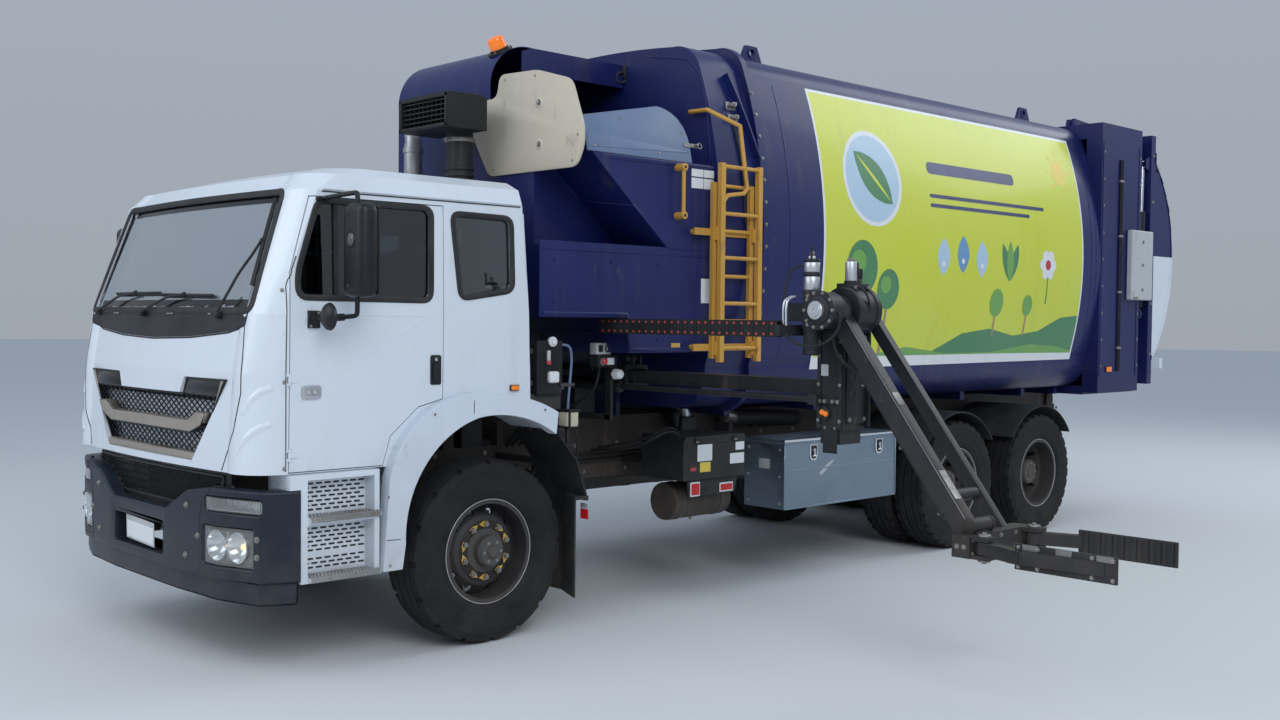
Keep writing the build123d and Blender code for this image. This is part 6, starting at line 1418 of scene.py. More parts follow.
class GARBAGETRUCK_OT_mirrors(bpy.types.Operator):
    """Tall mirrors with a clear oval lamp, tube arms, brackets and small round mirrors"""
    bl_idname = "garbage_truck.mirrors"
    bl_label = "Mirrors"

    def execute(self, context):
        for side, s in SIDES:
            bm = bmesh.new()
            add_block(bm, (0.942, s * 1.332, 1.947), (1.058, s * 1.528, 2.418), 0.048, 6, 0)
            add_block(bm, (0.9405, s * 1.346, 1.962), (0.952, s * 1.514, 2.403), 0.004, 2, 0)
            add_block(bm, (0.9395, s * 1.354, 1.972), (0.9435, s * 1.506, 2.14), 0.001, 1, 2)
            add_block(bm, (0.9395, s * 1.354, 2.15), (0.9435, s * 1.506, 2.394), 0.001, 1, 2)
            add_turned(bm, [(0.0, 0.011), (0.022, 0.009), (0.034, 0.003), (0.036, -0.006)],
                       (1.056, s * 1.43, 2.235), (1, 0, 0), 32, 3)
            add_turned(bm,
                       [(0.033, 0.006), (0.04, 0.007), (0.044, 0.002), (0.044, -0.006), (0.033, -0.006)],
                       (1.056, s * 1.43, 2.235), (1, 0, 0), 32, 0, closed=True)
            for z in (2.37, 1.995):
                add_block(bm, (0.985, s * 1.385, z - 0.02), (1.062, s * 1.415, z + 0.02), 0.008, 2, 0)
            high = [(1.0, 1.4, 2.4), (1.0, 1.4, 2.448), (1.0, 1.395, 2.472), (1.006, 1.365, 2.471),
                    (1.045, 1.21, 2.458), (1.058, 1.158, 2.452)]
            low = [(1.0, 1.4, 1.97), (1.0, 1.4, 1.885), (1.0, 1.395, 1.857), (1.01, 1.36, 1.852),
                   (1.085, 1.235, 1.84), (1.118, 1.17, 1.833)]
            for line in (high, low):
                add_hose(bm, [(x, s * y, z) for x, y, z in line], 0.0125, 12, 0, 3)
            add_block(bm, (1.082, s * 1.166, 1.79), (1.15, s * 1.185, 1.88), 0.005, 2, 0)
            add_rod(bm, (1.118, s * 1.178, 1.833), (1.118, s * 1.2, 1.833), 0.022, 20, 0.004, 0)
            add_bolts(bm, [(1.095, s * 1.184, 1.868), (1.138, s * 1.184, 1.8)], (0, s, 0), 0.006, 0.006, 1)
            add_block(bm, (1.022, s * 1.135, 2.438), (1.094, s * 1.166, 2.46), 0.004, 2, 0)
            add_bolts(bm, [(1.035, s * 1.152, 2.46), (1.082, s * 1.152, 2.46)], (0, 0, 1), 0.005, 0.005, 1)
            round_back = [(0.0, 0.02), (0.03, 0.018), (0.055, 0.008), (0.068, -0.006), (0.07, -0.016),
                          (0.066, -0.02), (0.061, -0.02), (0.059, -0.013), (0.0, -0.013)]
            add_turned(bm, round_back, (1.13, s * 1.33, 1.85), (1, 0, 0), 40, 0)
            add_turned(bm, [(0.0, -0.0125), (0.0585, -0.0125), (0.0585, -0.016), (0.0, -0.0145)],
                       (1.13, s * 1.33, 1.85), (1, 0, 0), 40, 2)
            add_hose(bm, [(1.045, s * 1.3, 1.8465), (1.08, s * 1.3, 1.848), (1.118, s * 1.33, 1.85)], 0.01,
                     10, 0, 3)
            add_rod(bm, (1.03, s * 1.326, 1.849), (1.062, s * 1.272, 1.844), 0.019, 16, 0.003, 0)
            new_piece(f"mirror_{side}_detailed", bm,
                      ("mirror_black", "bolt_steel", "mirror_face", "lens_clear"),
                      body_of("mirror_" + side), ("mirror_" + side,), sharp=42)
        return {"FINISHED"}


class GARBAGETRUCK_OT_steps(bpy.types.Operator):
    """Slotted panels behind the steps, gritty treads with scalloped edges, and the seams of the arches"""
    bl_idname = "garbage_truck.steps"
    bl_label = "Steps and arches"

    def execute(self, context):
        dressed("front_arches", "flare_white", 0.014, 3)
        dressed("mudguards", "flap_rubber", 0.003, 1)
        bm = bmesh.new()
        for _side, s in SIDES:
            back = s * 1.11
            for low, rows in ((0.556, 10), (0.856, 7)):
                add_block(bm, (0.785, back - s * 0.001, low - 0.022),
                          (1.155, back + s * 0.002, low + rows * 0.0225), 0.001, 1, 0)
                for row in range(rows):
                    if rows == 10 and row == 3:
                        continue
                    for column in range(7):
                        x = 0.812 + 0.05 * column + (0.0125 if row % 2 else -0.0125)
                        z = low + 0.0225 * row
                        slot = rounded_corners(oblong(x - 0.0185, z - 0.0052, x + 0.0185, z + 0.0052),
                                               0.005, 2)
                        # Each slot is a thin dark plate on the panel, not an opening: painted shade in the
                        # slot.
                        add_outline(bm, slot, "side", back + s * 0.0015, back + s * 0.0027, 0.0, 1)
            for top in (0.524, 0.83):
                add_block(bm, (0.75, s * 1.112, top - 0.004), (1.156, s * 1.229, top + 0.003), 0.002, 1, 2)
                add_block(bm, (0.75, s * 1.216, top - 0.026), (1.156, s * 1.2295, top + 0.004), 0.003, 2, 2)
                for i in range(20):
                    x = 0.765 + 0.0202 * i
                    add_rod(bm, (x, s * 1.2295, top - 0.003), (x, s * 1.2325, top - 0.003), 0.0075, 10,
                            0.001, 2)
                    for k in range(5):
                        y = s * (1.128 + 0.02 * k)
                        shift = 0.01 if k % 2 else 0.0
                        add_rod(bm, (x + shift - 0.005, y, top + 0.002),
                                (x + shift - 0.005, y, top + 0.0075), 0.0062, 8, 0.0, 2, 0.0036)
            seam = follow([(0.636, 0.668), (0.723, 0.672)], "side", s * BESIDE, ("front_arches",), 0.03)
            add_band(bm, seam, 0.004, 0.0012, 1, shape="flat")
            add_band(bm,
                     follow([(0.16, 1.318), (0.157, 1.392)], "side", s * BESIDE, ("front_arches",), 0.02),
                     0.004, 0.0012, 1, shape="flat")
            for x, z in ((0.7, 0.535), (0.715, 0.9), (0.42, 1.325), (-0.35, 1.318)):
                spot, normal = land(("front_arches",), (x, s * BESIDE, z), (0, -s, 0))
                add_rod(bm, spot, spot + normal * 0.003, 0.008, 14, 0.001, 3)
        new_piece("step_treads", bm, ("cab_white", "seam_dark_and_hole_shade", "step_tread", "bolt_steel"), "truck",
                  sharp=40)
        return {"FINISHED"}


# Banner on the barrel

BANNER = ((-6.68, 1.52), (-2.9, 1.5), (-2.9, 3.53), (-6.68, 3.53))


def circle(x, z, radius, count=28, squeeze=1.0):
    """Round outline of pairs."""
    return [(x + radius * math.cos(math.tau * k / count),
             z + radius * squeeze * math.sin(math.tau * k / count)) for k in range(count)]


def leaf(x, z, length, width, turn):
    """Pointed leaf from its foot at x and z."""
    half = [(t, width * math.sin(math.pi * t) ** 0.8 / 2) for t in (k / 10 for k in range(11))]
    line = [(t * length, w) for t, w in half] + [(t * length, -w) for t, w in reversed(half[1:-1])]
    cos, sin = math.cos(turn), math.sin(turn)
    return [(x + a * cos - b * sin, z + a * sin + b * cos) for a, b in line]


class GARBAGETRUCK_OT_banner(bpy.types.Operator):
    """Lime banner with a white edge and plain leaves, drops, trees and hills"""
    bl_idname = "garbage_truck.banner"
    bl_label = "Banner"

    def execute(self, context):
        bm = bmesh.new()
        margin = sizes().banner_margin

        def lay(points, layer, index, step=0.09):
            add_patch(bm, points, "side", 2.0, ("barrel",), 0.0004 + 0.0007 * layer, 0.0007, index, step)

        lay(BANNER, 0, 0, 0.12)
        inner = [(-6.68 + margin, 1.52 + margin), (-2.9 - margin, 1.5 + margin),
                 (-2.9 - margin, 3.53 - margin), (-6.68 + margin, 3.53 - margin)]
        lay(inner, 1, 1, 0.12)
        hills = [(-6.655, 1.545), (-4.3, 1.535), (-4.42, 1.62), (-4.8, 1.76), (-5.2, 1.8), (-5.6, 1.74),
                 (-6.0, 1.78), (-6.35, 1.9), (-6.655, 1.92)]
        lay(hills, 2, 2)
        near = [(-6.655, 1.545), (-3.35, 1.53), (-3.6, 1.6), (-4.05, 1.655), (-4.6, 1.6), (-5.3, 1.6),
                (-5.9, 1.665), (-6.4, 1.64), (-6.655, 1.6)]
        lay(near, 3, 3)
        lay(circle(-3.52, 2.92, 0.36, 40), 2, 0)
        lay(circle(-3.52, 2.92, 0.325, 40), 3, 4)
        lay(leaf(-3.74, 2.74, 0.56, 0.26, 0.72), 4, 2)
        lay(leaf(-3.72, 2.76, 0.5, 0.028, 0.72), 5, 1)
        for x, z, size in ((-3.36, 2.14, 0.3), (-3.7, 2.02, 0.22)):
            lay([(x - 0.018, 1.6), (x + 0.018, 1.6), (x + 0.012, z), (x - 0.012, z)], 4, 6)
            lay(circle(x, z + size * 0.35, size * 0.62, 24, 1.12), 5, 2)
            lay(circle(x + size * 0.16, z + size * 0.5, size * 0.3, 18), 6, 3)
        bars = ((-4.25, 3.02, 1.3, 0.095, 5), (-4.25, 2.83, 1.75, 0.03, 5), (-4.25, 2.755, 1.5, 0.03, 5))
        for x, z, length, height, index in bars:
            lay(rounded_corners(oblong(x, z, x - length, z + height), height * 0.48, 3), 2, index)
        for i, (x, index) in enumerate(((-4.42, 4), (-4.7, 7), (-4.98, 4))):
            z = 2.26 + 0.03 * (i % 2)
            drop = leaf(x, z + 0.26, 0.3, 0.17, -math.pi / 2)
            lay(drop, 2, index)
            lay(circle(x, z + 0.055, 0.022, 12), 3, 0)
        for turn, layer in ((1.2, 2), (1.95, 2), (1.57, 3)):
            lay(leaf(-5.42, 2.2, 0.34, 0.11, turn), layer, layer)
        for k in range(6):
            angle = math.tau * k / 6
            lay(circle(-6.05 + 0.085 * math.cos(angle), 2.36 + 0.085 * math.sin(angle), 0.052, 14), 2, 0)
        lay(circle(-6.05, 2.36, 0.045, 16), 3, 8)
        lay([(-6.062, 2.02), (-6.04, 2.02), (-6.045, 2.28), (-6.057, 2.28)], 2, 2)
        for x, size in ((-5.25, 0.17), (-5.75, 0.13)):
            lay([(x - 0.012, 1.74), (x + 0.012, 1.74), (x + 0.008, 1.95), (x - 0.008, 1.95)], 4, 6)
            lay(circle(x, 1.95 + size * 0.4, size * 0.6, 20, 1.15), 5, 3)
        lay(circle(-6.36, 3.2, 0.115, 26), 2, 9)
        for k in range(8):
            angle = math.tau * k / 8
            x, z = -6.36 + 0.14 * math.cos(angle), 3.2 + 0.14 * math.sin(angle)
            lay(leaf(x, z, 0.07, 0.022, angle), 2, 9)
        new_piece("side_banner", bm,
                  ("sign_white", "banner_lime", "sign_green", "leaf_green", "sign_sky", "sign_navy",
                   "sign_brown", "sign_blue", "sign_red", "sun_yellow"), "bed", sharp=60)
        return {"FINISHED"}


# Hopper, shield, hood, flap and barrel

class GARBAGETRUCK_OT_body_trim(bpy.types.Operator):
    """Bolts of the shield, grey flap, beacon, welds, straps, valves and blank panels on the body"""
    bl_idname = "garbage_truck.body_trim"
    bl_label = "Body trim"

    def execute(self, context):
        for name, finish_name, slot, rounding in (
                ("hood", "body_blue", "body_blue", 0.006),
                ("lock_covers", "cover_grey", "cover_grey", 0.014), ("ladder", "ochre", "ochre", 0.003)):
            dressed(name, finish_name, rounding, 2)
        self.shield()
        self.beacon()
        self.flap()
        self.barrel()
        self.hopper()
        return {"FINISHED"}

    def shield(self):
        """Beige plate with rounded corners, two bolts in dents and a folded edge."""
        bm = bmesh.new()
        outline = [(0.31, 2.76), (0.03, 3.2), (0.03, 3.255), (0.39, 3.255), (0.42, 3.4), (0.8, 3.385),
                   (1.13, 3.29), (1.245, 3.0), (1.245, 2.88), (1.18, 2.76)]
        outline = [(y + 0.0006 * (1 if y < 0.6 else -1), z) for y, z in outline]
        add_outline(bm, rounded_corners(outline, 0.055, 5), "front", -0.6395, -0.6262, 0.003, 0)
        for y, z in ((0.822, 3.18), (0.825, 2.923)):
            ring = [(0.034, 0.0), (0.03, 0.0035), (0.02, 0.0045), (0.016, 0.0005), (0.016, 0.0)]
            add_turned(bm, ring, (-0.6262, y, z), (1, 0, 0), 28, 0, closed=True)
            add_rod(bm, (-0.6262, y, z), (-0.622, y, z), 0.0165, 18, 0.001, 1)
            add_bolts(bm, [(-0.6225, y, z)], (1, 0, 0), 0.01, 0.01, 2)
        for y, z in ((0.12, 3.225), (0.36, 2.8), (1.14, 2.8), (1.19, 2.95), (0.48, 3.36), (0.78, 3.35)):
            add_rod(bm, (-0.6265, y, z), (-0.6235, y, z), 0.008, 14, 0.001, 2)
        new_piece("front_shield", bm, ("shield_beige", "seam_dark_and_hole_shade", "bolt_steel"), body_of("shield"),
                  ("shield",), sharp=38)

    def beacon(self):
        """Amber dome on a bolted foot, on top of the hood."""
        bm = bmesh.new()
        spot, normal = land(("hood",), (-0.8, 0.2, 4.4), (0, 0, -1))
        add_rod(bm, spot - normal * 0.006, spot + normal * 0.01, 0.085, 28, 0.003, 0)
        add_rod(bm, spot + normal * 0.008, spot + normal * 0.024, 0.062, 28, 0.003, 0)
        dome = [(0.056, 0.022), (0.056, 0.08), (0.05, 0.094), (0.03, 0.103), (0.0, 0.106)]
        add_turned(bm, dome, spot, normal, 32, 1)
        for k in range(4):
            angle = math.tau * k / 4 + 0.4
            out = Vector((0.074 * math.cos(angle), 0.074 * math.sin(angle), 0.01))
            add_bolts(bm, [spot + facing(normal).to_3x3() @ out], normal, 0.006, 0.007, 2)
        new_piece("roof_beacon", bm, ("trim_black", "lens_amber", "bolt_steel"), body_of("hood"),
                  sharp=40)

    def flap(self):
        """Grey sheet over the leaning flap, with its stiffening fold and latch."""
        lean = Matrix.Translation((0, 1.2, 2.86)) @ Matrix.Rotation(math.radians(12), 4, "X")
        lean = lean @ Matrix.Translation((0, -1.2, -2.86))
        outline = [(-0.6985, 2.864), (-1.5945, 2.864), (-1.5945, 2.985), (-1.585, 3.035), (-1.56, 3.098),
                   (-1.515, 3.1515), (-1.46, 3.186), (-1.4, 3.206), (-1.343, 3.2165), (-0.6985, 3.0865)]
        part = bmesh.new()
        add_outline(part, outline, "side", 1.1885, 1.2015, 0.002, 0)
        fold = [(-0.71, 2.89), (-1.58, 2.93), (-1.58, 2.937), (-0.71, 2.985)]
        add_outline(part, fold, "side", 1.201, 1.2045, 0.001, 0)
        for x, z in ((-1.54, 3.06), (-1.0, 3.1), (-0.76, 2.9), (-1.3, 2.9)):
            add_rod(part, (x, 1.201, z), (x, 1.205, z), 0.009, 14, 0.001, 1)
        add_block(part, (-1.66, 1.2012, 2.967), (-1.54, 1.2075, 2.995), 0.002, 1, 1)
        add_rod(part, (-1.64, 1.206, 2.981), (-1.64, 1.233, 2.981), 0.009, 14, 0.002, 1)
        add_torus(part, (-1.672, 1.216, 2.981), (0, 1, 0), 0.018, 0.004, 24, 8, 1)
        bmesh.ops.transform(part, matrix=lean, verts=part.verts)
        new_piece("side_flap", part, ("flap_grey", "bolt_steel"), body_of("hopper"), sharp=40)

    def barrel(self):
        """Fin, welds, lifting ring, lamp, bolts, valves and pipe of the barrel, and the rings in its lugs."""
        skin = ("barrel",)
        bm = bmesh.new()
        spots = follow([(-2.02, 3.5), (-2.19, 2.96)], "side", BESIDE_BODY, skin, 0.05)
        add_band(bm, spots, 0.014, 0.05, 0, shape="flat", sunk=0.01)
        for x in (-6.84, -2.53, -6.93):
            spots = follow([(x, 1.6), (x, 3.5)], "side", BESIDE_BODY, skin, 0.08)
            add_band(bm, spots, 0.012, 0.0022, 0)
        spots = follow([(-2.3, 1.575), (-6.96, 1.575)], "side", BESIDE_BODY, skin, 0.2)
        add_band(bm, spots, 0.016, 0.003, 0)
        front = [(1.115, 2.72), (1.155, 2.95), (1.11, 3.3), (1.045, 3.5), (0.93, 3.6), (0.6, 3.66)]
        spots = follow(front, "front", 0.5, skin, 0.05)
        add_band(bm, spots, 0.012, 0.004, 0)
        ring_spot = Vector((-1.81, 0.306, 3.592))
        add_block(bm, ring_spot + Vector((-0.002, -0.028, -0.045)),
                  ring_spot + Vector((0.012, 0.028, 0.045)), 0.006, 2, 1)
        add_torus(bm, ring_spot + Vector((0.026, 0.0, -0.04)), (0.35, 1, 0), 0.036, 0.009, 28, 10, 1)
        add_rod(bm, ring_spot + Vector((0.01, -0.022, 0.0)), ring_spot + Vector((0.01, 0.022, 0.0)), 0.013,
                14, 0.002, 1)
        lamp = Vector((-1.81, 0.05, 3.555))
        add_rod(bm, lamp, lamp + Vector((0.016, 0, 0)), 0.026, 20, 0.003, 1)
        add_rod(bm, lamp + Vector((0.014, 0, 0)), lamp + Vector((0.03, 0, 0)), 0.02, 20, 0.006, 3)
        for i in range(12):
            z = 1.75 + 0.15 * i
            spot, normal = land(skin, (-2.225, BESIDE_BODY, z), (0, -1, 0))
            add_bolts(bm, [spot], normal, 0.01, 0.009, 2)
        for z in (3.2, 3.285):
            spot, normal = land(skin, (-2.02, BESIDE_BODY, z), (0, -1, 0))
            turn = facing(normal)
            part = bmesh.new()
            add_block(part, (-0.045, -0.03, -0.002), (0.045, 0.03, 0.012), 0.003, 1, 2)
            add_rod(part, (0, 0, 0.01), (0, 0, 0.045), 0.017, 16, 0.003, 2)
            add_rod(part, (-0.03, 0, 0.03), (0.035, 0, 0.03), 0.011, 12, 0.002, 2)
            add_rod(part, (0.0, 0.0, 0.044), (0.0, 0.0, 0.06), 0.009, 6, 0.001, 2)
            bmesh.ops.transform(part, matrix=Matrix.Translation(spot) @ turn, verts=part.verts)
            merge_kept(bm, part)
        pipe = [Vector((-2.02, 1.232, 3.17)), Vector((-2.02, 1.255, 3.12)), Vector((-2.04, 1.27, 3.0)),
                Vector((-2.05, 1.275, 2.8)), Vector((-2.05, 1.275, 2.5))]
        pipe = [land(skin, (p.x, BESIDE_BODY, p.z), (0, -1, 0))[0] + Vector((0, 0.01, 0)) for p in pipe]
        add_hose(bm, pipe, 0.007, 8, 4, 3)
        for x in (-2.7, -6.5):
            for s in (1, -1):
                ring = oblong(0.0265, -0.018, 0.04, 0.018)
                add_turned(bm, ring, (x, s * 0.7025, 3.8), (0, 1, 0), 28, 0, closed=True)
        new_piece("barrel_fittings", bm, ("body_blue", "trim_black", "bolt_steel", "lens_red", "seam_dark_and_hole_shade"),
                  "bed", sharp=42)

    def hopper(self):
        """Folded edges, welds, blank sign panels, hinge eyes and the yellow tag on the hopper."""
        skin = ("hopper",)
        bm = bmesh.new()
        edge = [(-0.712, 2.852), (-1.372, 2.312)]
        spots = follow([(a - 0.01, b) for a, b in edge], "side", BESIDE_BODY, skin, 0.08)
        add_band(bm, spots, 0.016, 0.006, 0)
        for line in ([(-0.36, 2.262), (-1.79, 2.262)], [(-1.4, 2.303), (-1.79, 2.303)]):
            add_band(bm, follow(line, "side", BESIDE_BODY, skin, 0.1), 0.01, 0.004, 0)
        rim = [(-0.72, 2.845), (-1.8, 2.845)]
        add_band(bm, follow(rim, "side", BESIDE_BODY, skin, 0.1), 0.03, 0.008, 0)
        bottom = [(-0.36, 1.88), (-1.03, 1.88), (-1.065, 1.66), (-1.79, 1.66)]
        add_band(bm, follow(bottom, "side", BESIDE_BODY, skin, 0.08), 0.024, 0.006, 0)
        for x0, x1, z0, z1 in ((-1.59, -1.7, 2.78, 2.84), (-1.705, -1.8, 2.78, 2.84),
                               (-1.59, -1.7, 2.705, 2.772), (-1.705, -1.8, 2.705, 2.772),
                               (-1.69, -1.795, 1.96, 2.12)):
            add_block(bm, (x0, 1.1995, z0), (x1, 1.2022, z1), 0.0008, 1, 1)
        add_block(bm, (-1.42, 1.1995, 1.672), (-1.5, 1.2022, 1.7), 0.0008, 1, 2)
        for z in (2.515, 2.822):
            add_rod(bm, (-1.456, 1.274, z), (-1.456, 1.2785, z), 0.0245, 24, 0.002, 3)
            add_rod(bm, (-1.456, 1.278, z), (-1.456, 1.2805, z), 0.01, 14, 0.001, 4)
        for x, z in ((-0.45, 2.2), (-0.45, 1.95), (-0.9, 2.2), (-1.3, 2.2), (-1.3, 1.72), (-1.72, 1.72)):
            add_rod(bm, (x, 1.1995, z), (x, 1.2045, z), 0.011, 6, 0.001, 0)
        new_piece("hopper_edges", bm, ("body_blue", "sign_white", "hand_yellow", "ochre", "seam_dark_and_hole_shade"),
                  body_of("hopper"), sharp=42)


# Lifter

# Middle of the arm's pivot, how far the resting arm leans from straight down, and its ways along and under
PIVOT = Vector((-1.362, 2.68, 1.91))
ARM_LEAN = math.radians(37.5)
ARM_WAY = Vector((0, math.sin(ARM_LEAN), -math.cos(ARM_LEAN)))
ARM_UNDER = Vector((0, ARM_WAY.z, -ARM_WAY.y))
JAW_PIN_OUT = 0.235
JAW_FACE_OUT = 0.3


def on_arm(distance, x, under=0.0):
    """Place on the arm: distance from its pivot, x, and how far under the middle of the bar."""
    spot = PIVOT + ARM_WAY * distance + ARM_UNDER * under
    return Vector((x, spot.y, spot.z))


def add_cord(name, points, radius, body, finish_name):
    """Hose on a smooth curve near these points."""
    curve = bpy.data.curves.new(name, "CURVE")
    curve.dimensions = "3D"
    curve.bevel_depth = radius
    curve.bevel_resolution = 3
    curve.resolution_u = 10
    curve.use_fill_caps = True
    spline = curve.splines.new("NURBS")
    spline.points.add(len(points) - 1)
    for item, point in zip(spline.points, points):
        item.co = (*(Vector(point) + TRUCK_TO_ROOM), 1.0)
    spline.order_u = 3
    spline.use_endpoint_u = True
    curve.materials.append(FINISHES[finish_name])
    piece = bpy.data.objects.new(name, curve)
    bpy.context.scene.collection.objects.link(piece)
    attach(piece, body)
    return piece


class GARBAGETRUCK_OT_lifter(bpy.types.Operator):
    """Plates, drums, valves and lamp of the mast, hoses of the arm, pads of the jaws, and the drag chain"""
    bl_idname = "garbage_truck.lifter"
    bl_label = "Lifter"

    def execute(self, context):
        for name, rounding in (("mast", 0.006), ("slide_housing", 0.004), ("lift_arm", 0.006),
                               ("jaw_front", 0.004), ("jaw_rear", 0.004)):
            dressed(name, "lifter_paint", rounding, 2)
        self.mast()
        self.drums()
        self.arm()
        self.jaws()
        self.chain()
        self.slide()
        return {"FINISHED"}

    def mast(self):
        """Side plate with three holes, flanges, bolts, blank plates, lamp and rubber flap."""
        bm = bmesh.new()
        plate = [(-1.452, 1.285), (-1.288, 1.285), (-1.288, 1.7), (-1.34, 1.8), (-1.452, 1.8)]
        add_outline(bm, rounded_corners(plate, 0.02), "side", 2.6995, 2.7125, 0.003, 0)
        add_block(bm, (-1.4615, 2.6995, 1.262), (-1.4535, 2.738, 1.79), 0.003, 2, 0)
        for z in (1.644, 1.548, 1.451):
            ring = [(0.0225, 0.0), (0.0225, 0.004), (0.031, 0.004), (0.033, 0.0)]
            add_turned(bm, ring, (-1.33, 2.712, z), (0, 1, 0), 28, 0, closed=True)
            # Each hole is a dark disc on the plate inside its flange: painted shade in the hole.
            add_rod(bm, (-1.33, 2.71, z), (-1.33, 2.7132, z), 0.023, 24, 0.0, 2)
        for x, z in ((-1.436, 1.31), (-1.436, 1.5), (-1.436, 1.76), (-1.305, 1.31), (-1.36, 1.765)):
            add_bolts(bm, [(x, 2.7125, z)], (0, 1, 0), 0.01, 0.009, 1)
        front = -1.2622
        add_block(bm, (front, 2.524, 1.255), (front + 0.01, 2.548, 1.8), 0.003, 1, 0)
        add_block(bm, (front, 2.672, 1.255), (front + 0.01, 2.696, 1.76), 0.003, 1, 0)
        add_block(bm, (front, 2.538, 1.548), (front + 0.003, 2.598, 1.612), 0.001, 1, 3)
        add_block(bm, (front, 2.606, 1.548), (front + 0.003, 2.67, 1.612), 0.001, 1, 4)
        add_block(bm, (front, 2.533, 1.395), (front + 0.016, 2.69, 1.42), 0.004, 2, 0)
        add_bolts(bm, [(front + 0.016, y, 1.4075) for y in (2.55, 2.585, 2.64, 2.675)], (1, 0, 0), 0.009,
                  0.009, 1)
        add_bolts(bm, [(front + 0.01, y, z) for y in (2.536, 2.684) for z in (1.3, 1.5, 1.66, 1.74)],
                  (1, 0, 0), 0.008, 0.007, 1)
        add_rod(bm, (front - 0.002, 2.584, 1.34), (front + 0.02, 2.584, 1.34), 0.036, 24, 0.004, 2)
        for y, z in ((2.572, 1.346), (2.597, 1.338)):
            add_turned(bm, [(0.0, 0.014), (0.01, 0.012), (0.0155, 0.004), (0.0155, -0.002)],
                       (front + 0.02, y, z), (1, 0, 0), 20, 5)
        add_block(bm, (front - 0.001, 2.545, 1.262), (front + 0.014, 2.69, 1.28), 0.003, 1, 0)
        add_block(bm, (front + 0.002, 2.57, 1.12), (front + 0.009, 2.668, 1.272), 0.002, 1, 6)
        add_bolts(bm, [(front + 0.009, y, 1.262) for y in (2.585, 2.653)], (1, 0, 0), 0.007, 0.006, 1)
        add_rod(bm, (-1.245, 2.52, 1.415), (-1.245, 2.505, 1.415), 0.03, 6, 0.003, 1)
        new_piece("mast_fittings", bm,
                  ("lifter_paint", "bolt_steel", "seam_dark_and_hole_shade", "cover_grey", "mirror_black", "lens_amber",
                   "flap_rubber"), "mast", sharp=38)

    def drums(self):
        """Rings and bolts of the rotary actuator, its steel cap, the upright cylinders and their valves."""
        bm = bmesh.new()
        y, z = PIVOT.y, PIVOT.z
        flange = [(0.088, -0.002), (0.105, -0.002), (0.107, 0.002), (0.107, 0.016), (0.104, 0.019),
                  (0.088, 0.019)]
        add_turned(bm, flange, (-1.0805, y, z), (1, 0, 0), 56, 0, closed=True)
        for k in range(10):
            angle = math.tau * k / 10
            foot = Vector((-1.0605, y + 0.096 * math.cos(angle), z + 0.096 * math.sin(angle)))
            add_bolts(bm, [foot], (1, 0, 0), 0.0075, 0.01, 1)
        add_turned(bm, [(0.075, 0.0), (0.075, 0.006), (0.062, 0.01), (0.05, 0.01), (0.0495, 0.0)],
                   (-1.0602, y, z), (1, 0, 0), 48, 0, closed=True)
        cap = [(0.0485, -0.02), (0.0505, -0.018), (0.0505, 0.003), (0.046, 0.007), (0.036, 0.007),
               (0.034, 0.012), (0.012, 0.012), (0.01, 0.006), (0.0, 0.006)]
        add_turned(bm, cap, (-1.0325, y, z), (1, 0, 0), 48, 2)
        for x0 in (-1.462, -1.3):
            ring = [(0.1245, 0.0), (0.131, 0.003), (0.131, 0.035), (0.1245, 0.038)]
            add_turned(bm, ring, (x0, y, z), (1, 0, 0), 64, 0, closed=True)
        for k in range(12):
            angle = math.tau * (k + 0.5) / 12
            foot = Vector((-1.4622, y + 0.108 * math.cos(angle), z + 0.108 * math.sin(angle)))
            add_bolts(bm, [foot], (-1, 0, 0), 0.008, 0.01, 1)
        cx, cy = -1.112, PIVOT.y - 0.088
        for z0, z1, radius, index in ((1.664, 1.69, 0.0465, 0), (1.795, 1.835, 0.0455, 0),
                                      (1.985, 2.02, 0.048, 0), (2.02, 2.095, 0.0435, 2),
                                      (2.095, 2.118, 0.0475, 0), (2.118, 2.172, 0.0435, 2),
                                      (2.172, 2.19, 0.047, 0)):
            add_turned(bm,
                       [(0.0405, z0), (radius - 0.002, z0), (radius, z0 + 0.003), (radius, z1 - 0.003),
                        (radius - 0.002, z1), (0.0405, z1)], (cx, cy, 0), (0, 0, 1), 40, index, closed=True)
        add_rod(bm, (cx, cy, 2.184), (cx, cy, 2.206), 0.02, 6, 0.003, 2)
        add_rod(bm, (cx, cy, 2.205), (cx, cy, 2.232), 0.013, 18, 0.004, 1)
        add_hose(bm,
                 [(cx + 0.03, cy + 0.02, 2.186), (cx + 0.03, cy + 0.02, 2.222),
                  (cx + 0.032, cy + 0.024, 2.262)], 0.006, 8, 5, 3)
        for zz in (1.985, 1.832):
            add_block(bm, (cx - 0.075, cy - 0.03, zz - 0.018), (cx + 0.048, cy + 0.052, zz + 0.018), 0.005,
                      2, 0)
            add_bolts(bm, [(cx + 0.048, cy + 0.015, zz)], (1, 0, 0), 0.009, 0.01, 1)
        for dy in (0.0, 0.02):
            tube = [(-1.06, 2.5 + dy, 1.985), (-1.01, 2.492 + dy, 1.975), (-0.995, 2.49 + dy, 1.93),
                    (-0.995, 2.49 + dy, 1.87), (-0.995, 2.492 + dy, 1.826)]
            add_hose(bm, tube, 0.0065, 8, 2, 3)
        self.valves(bm)
        new_piece("actuator_fittings", bm,
                  ("lifter_paint", "bolt_steel", "lamp_silver", "cast_dark", "mirror_black", "trim_black"),
                  "mast", sharp=38)
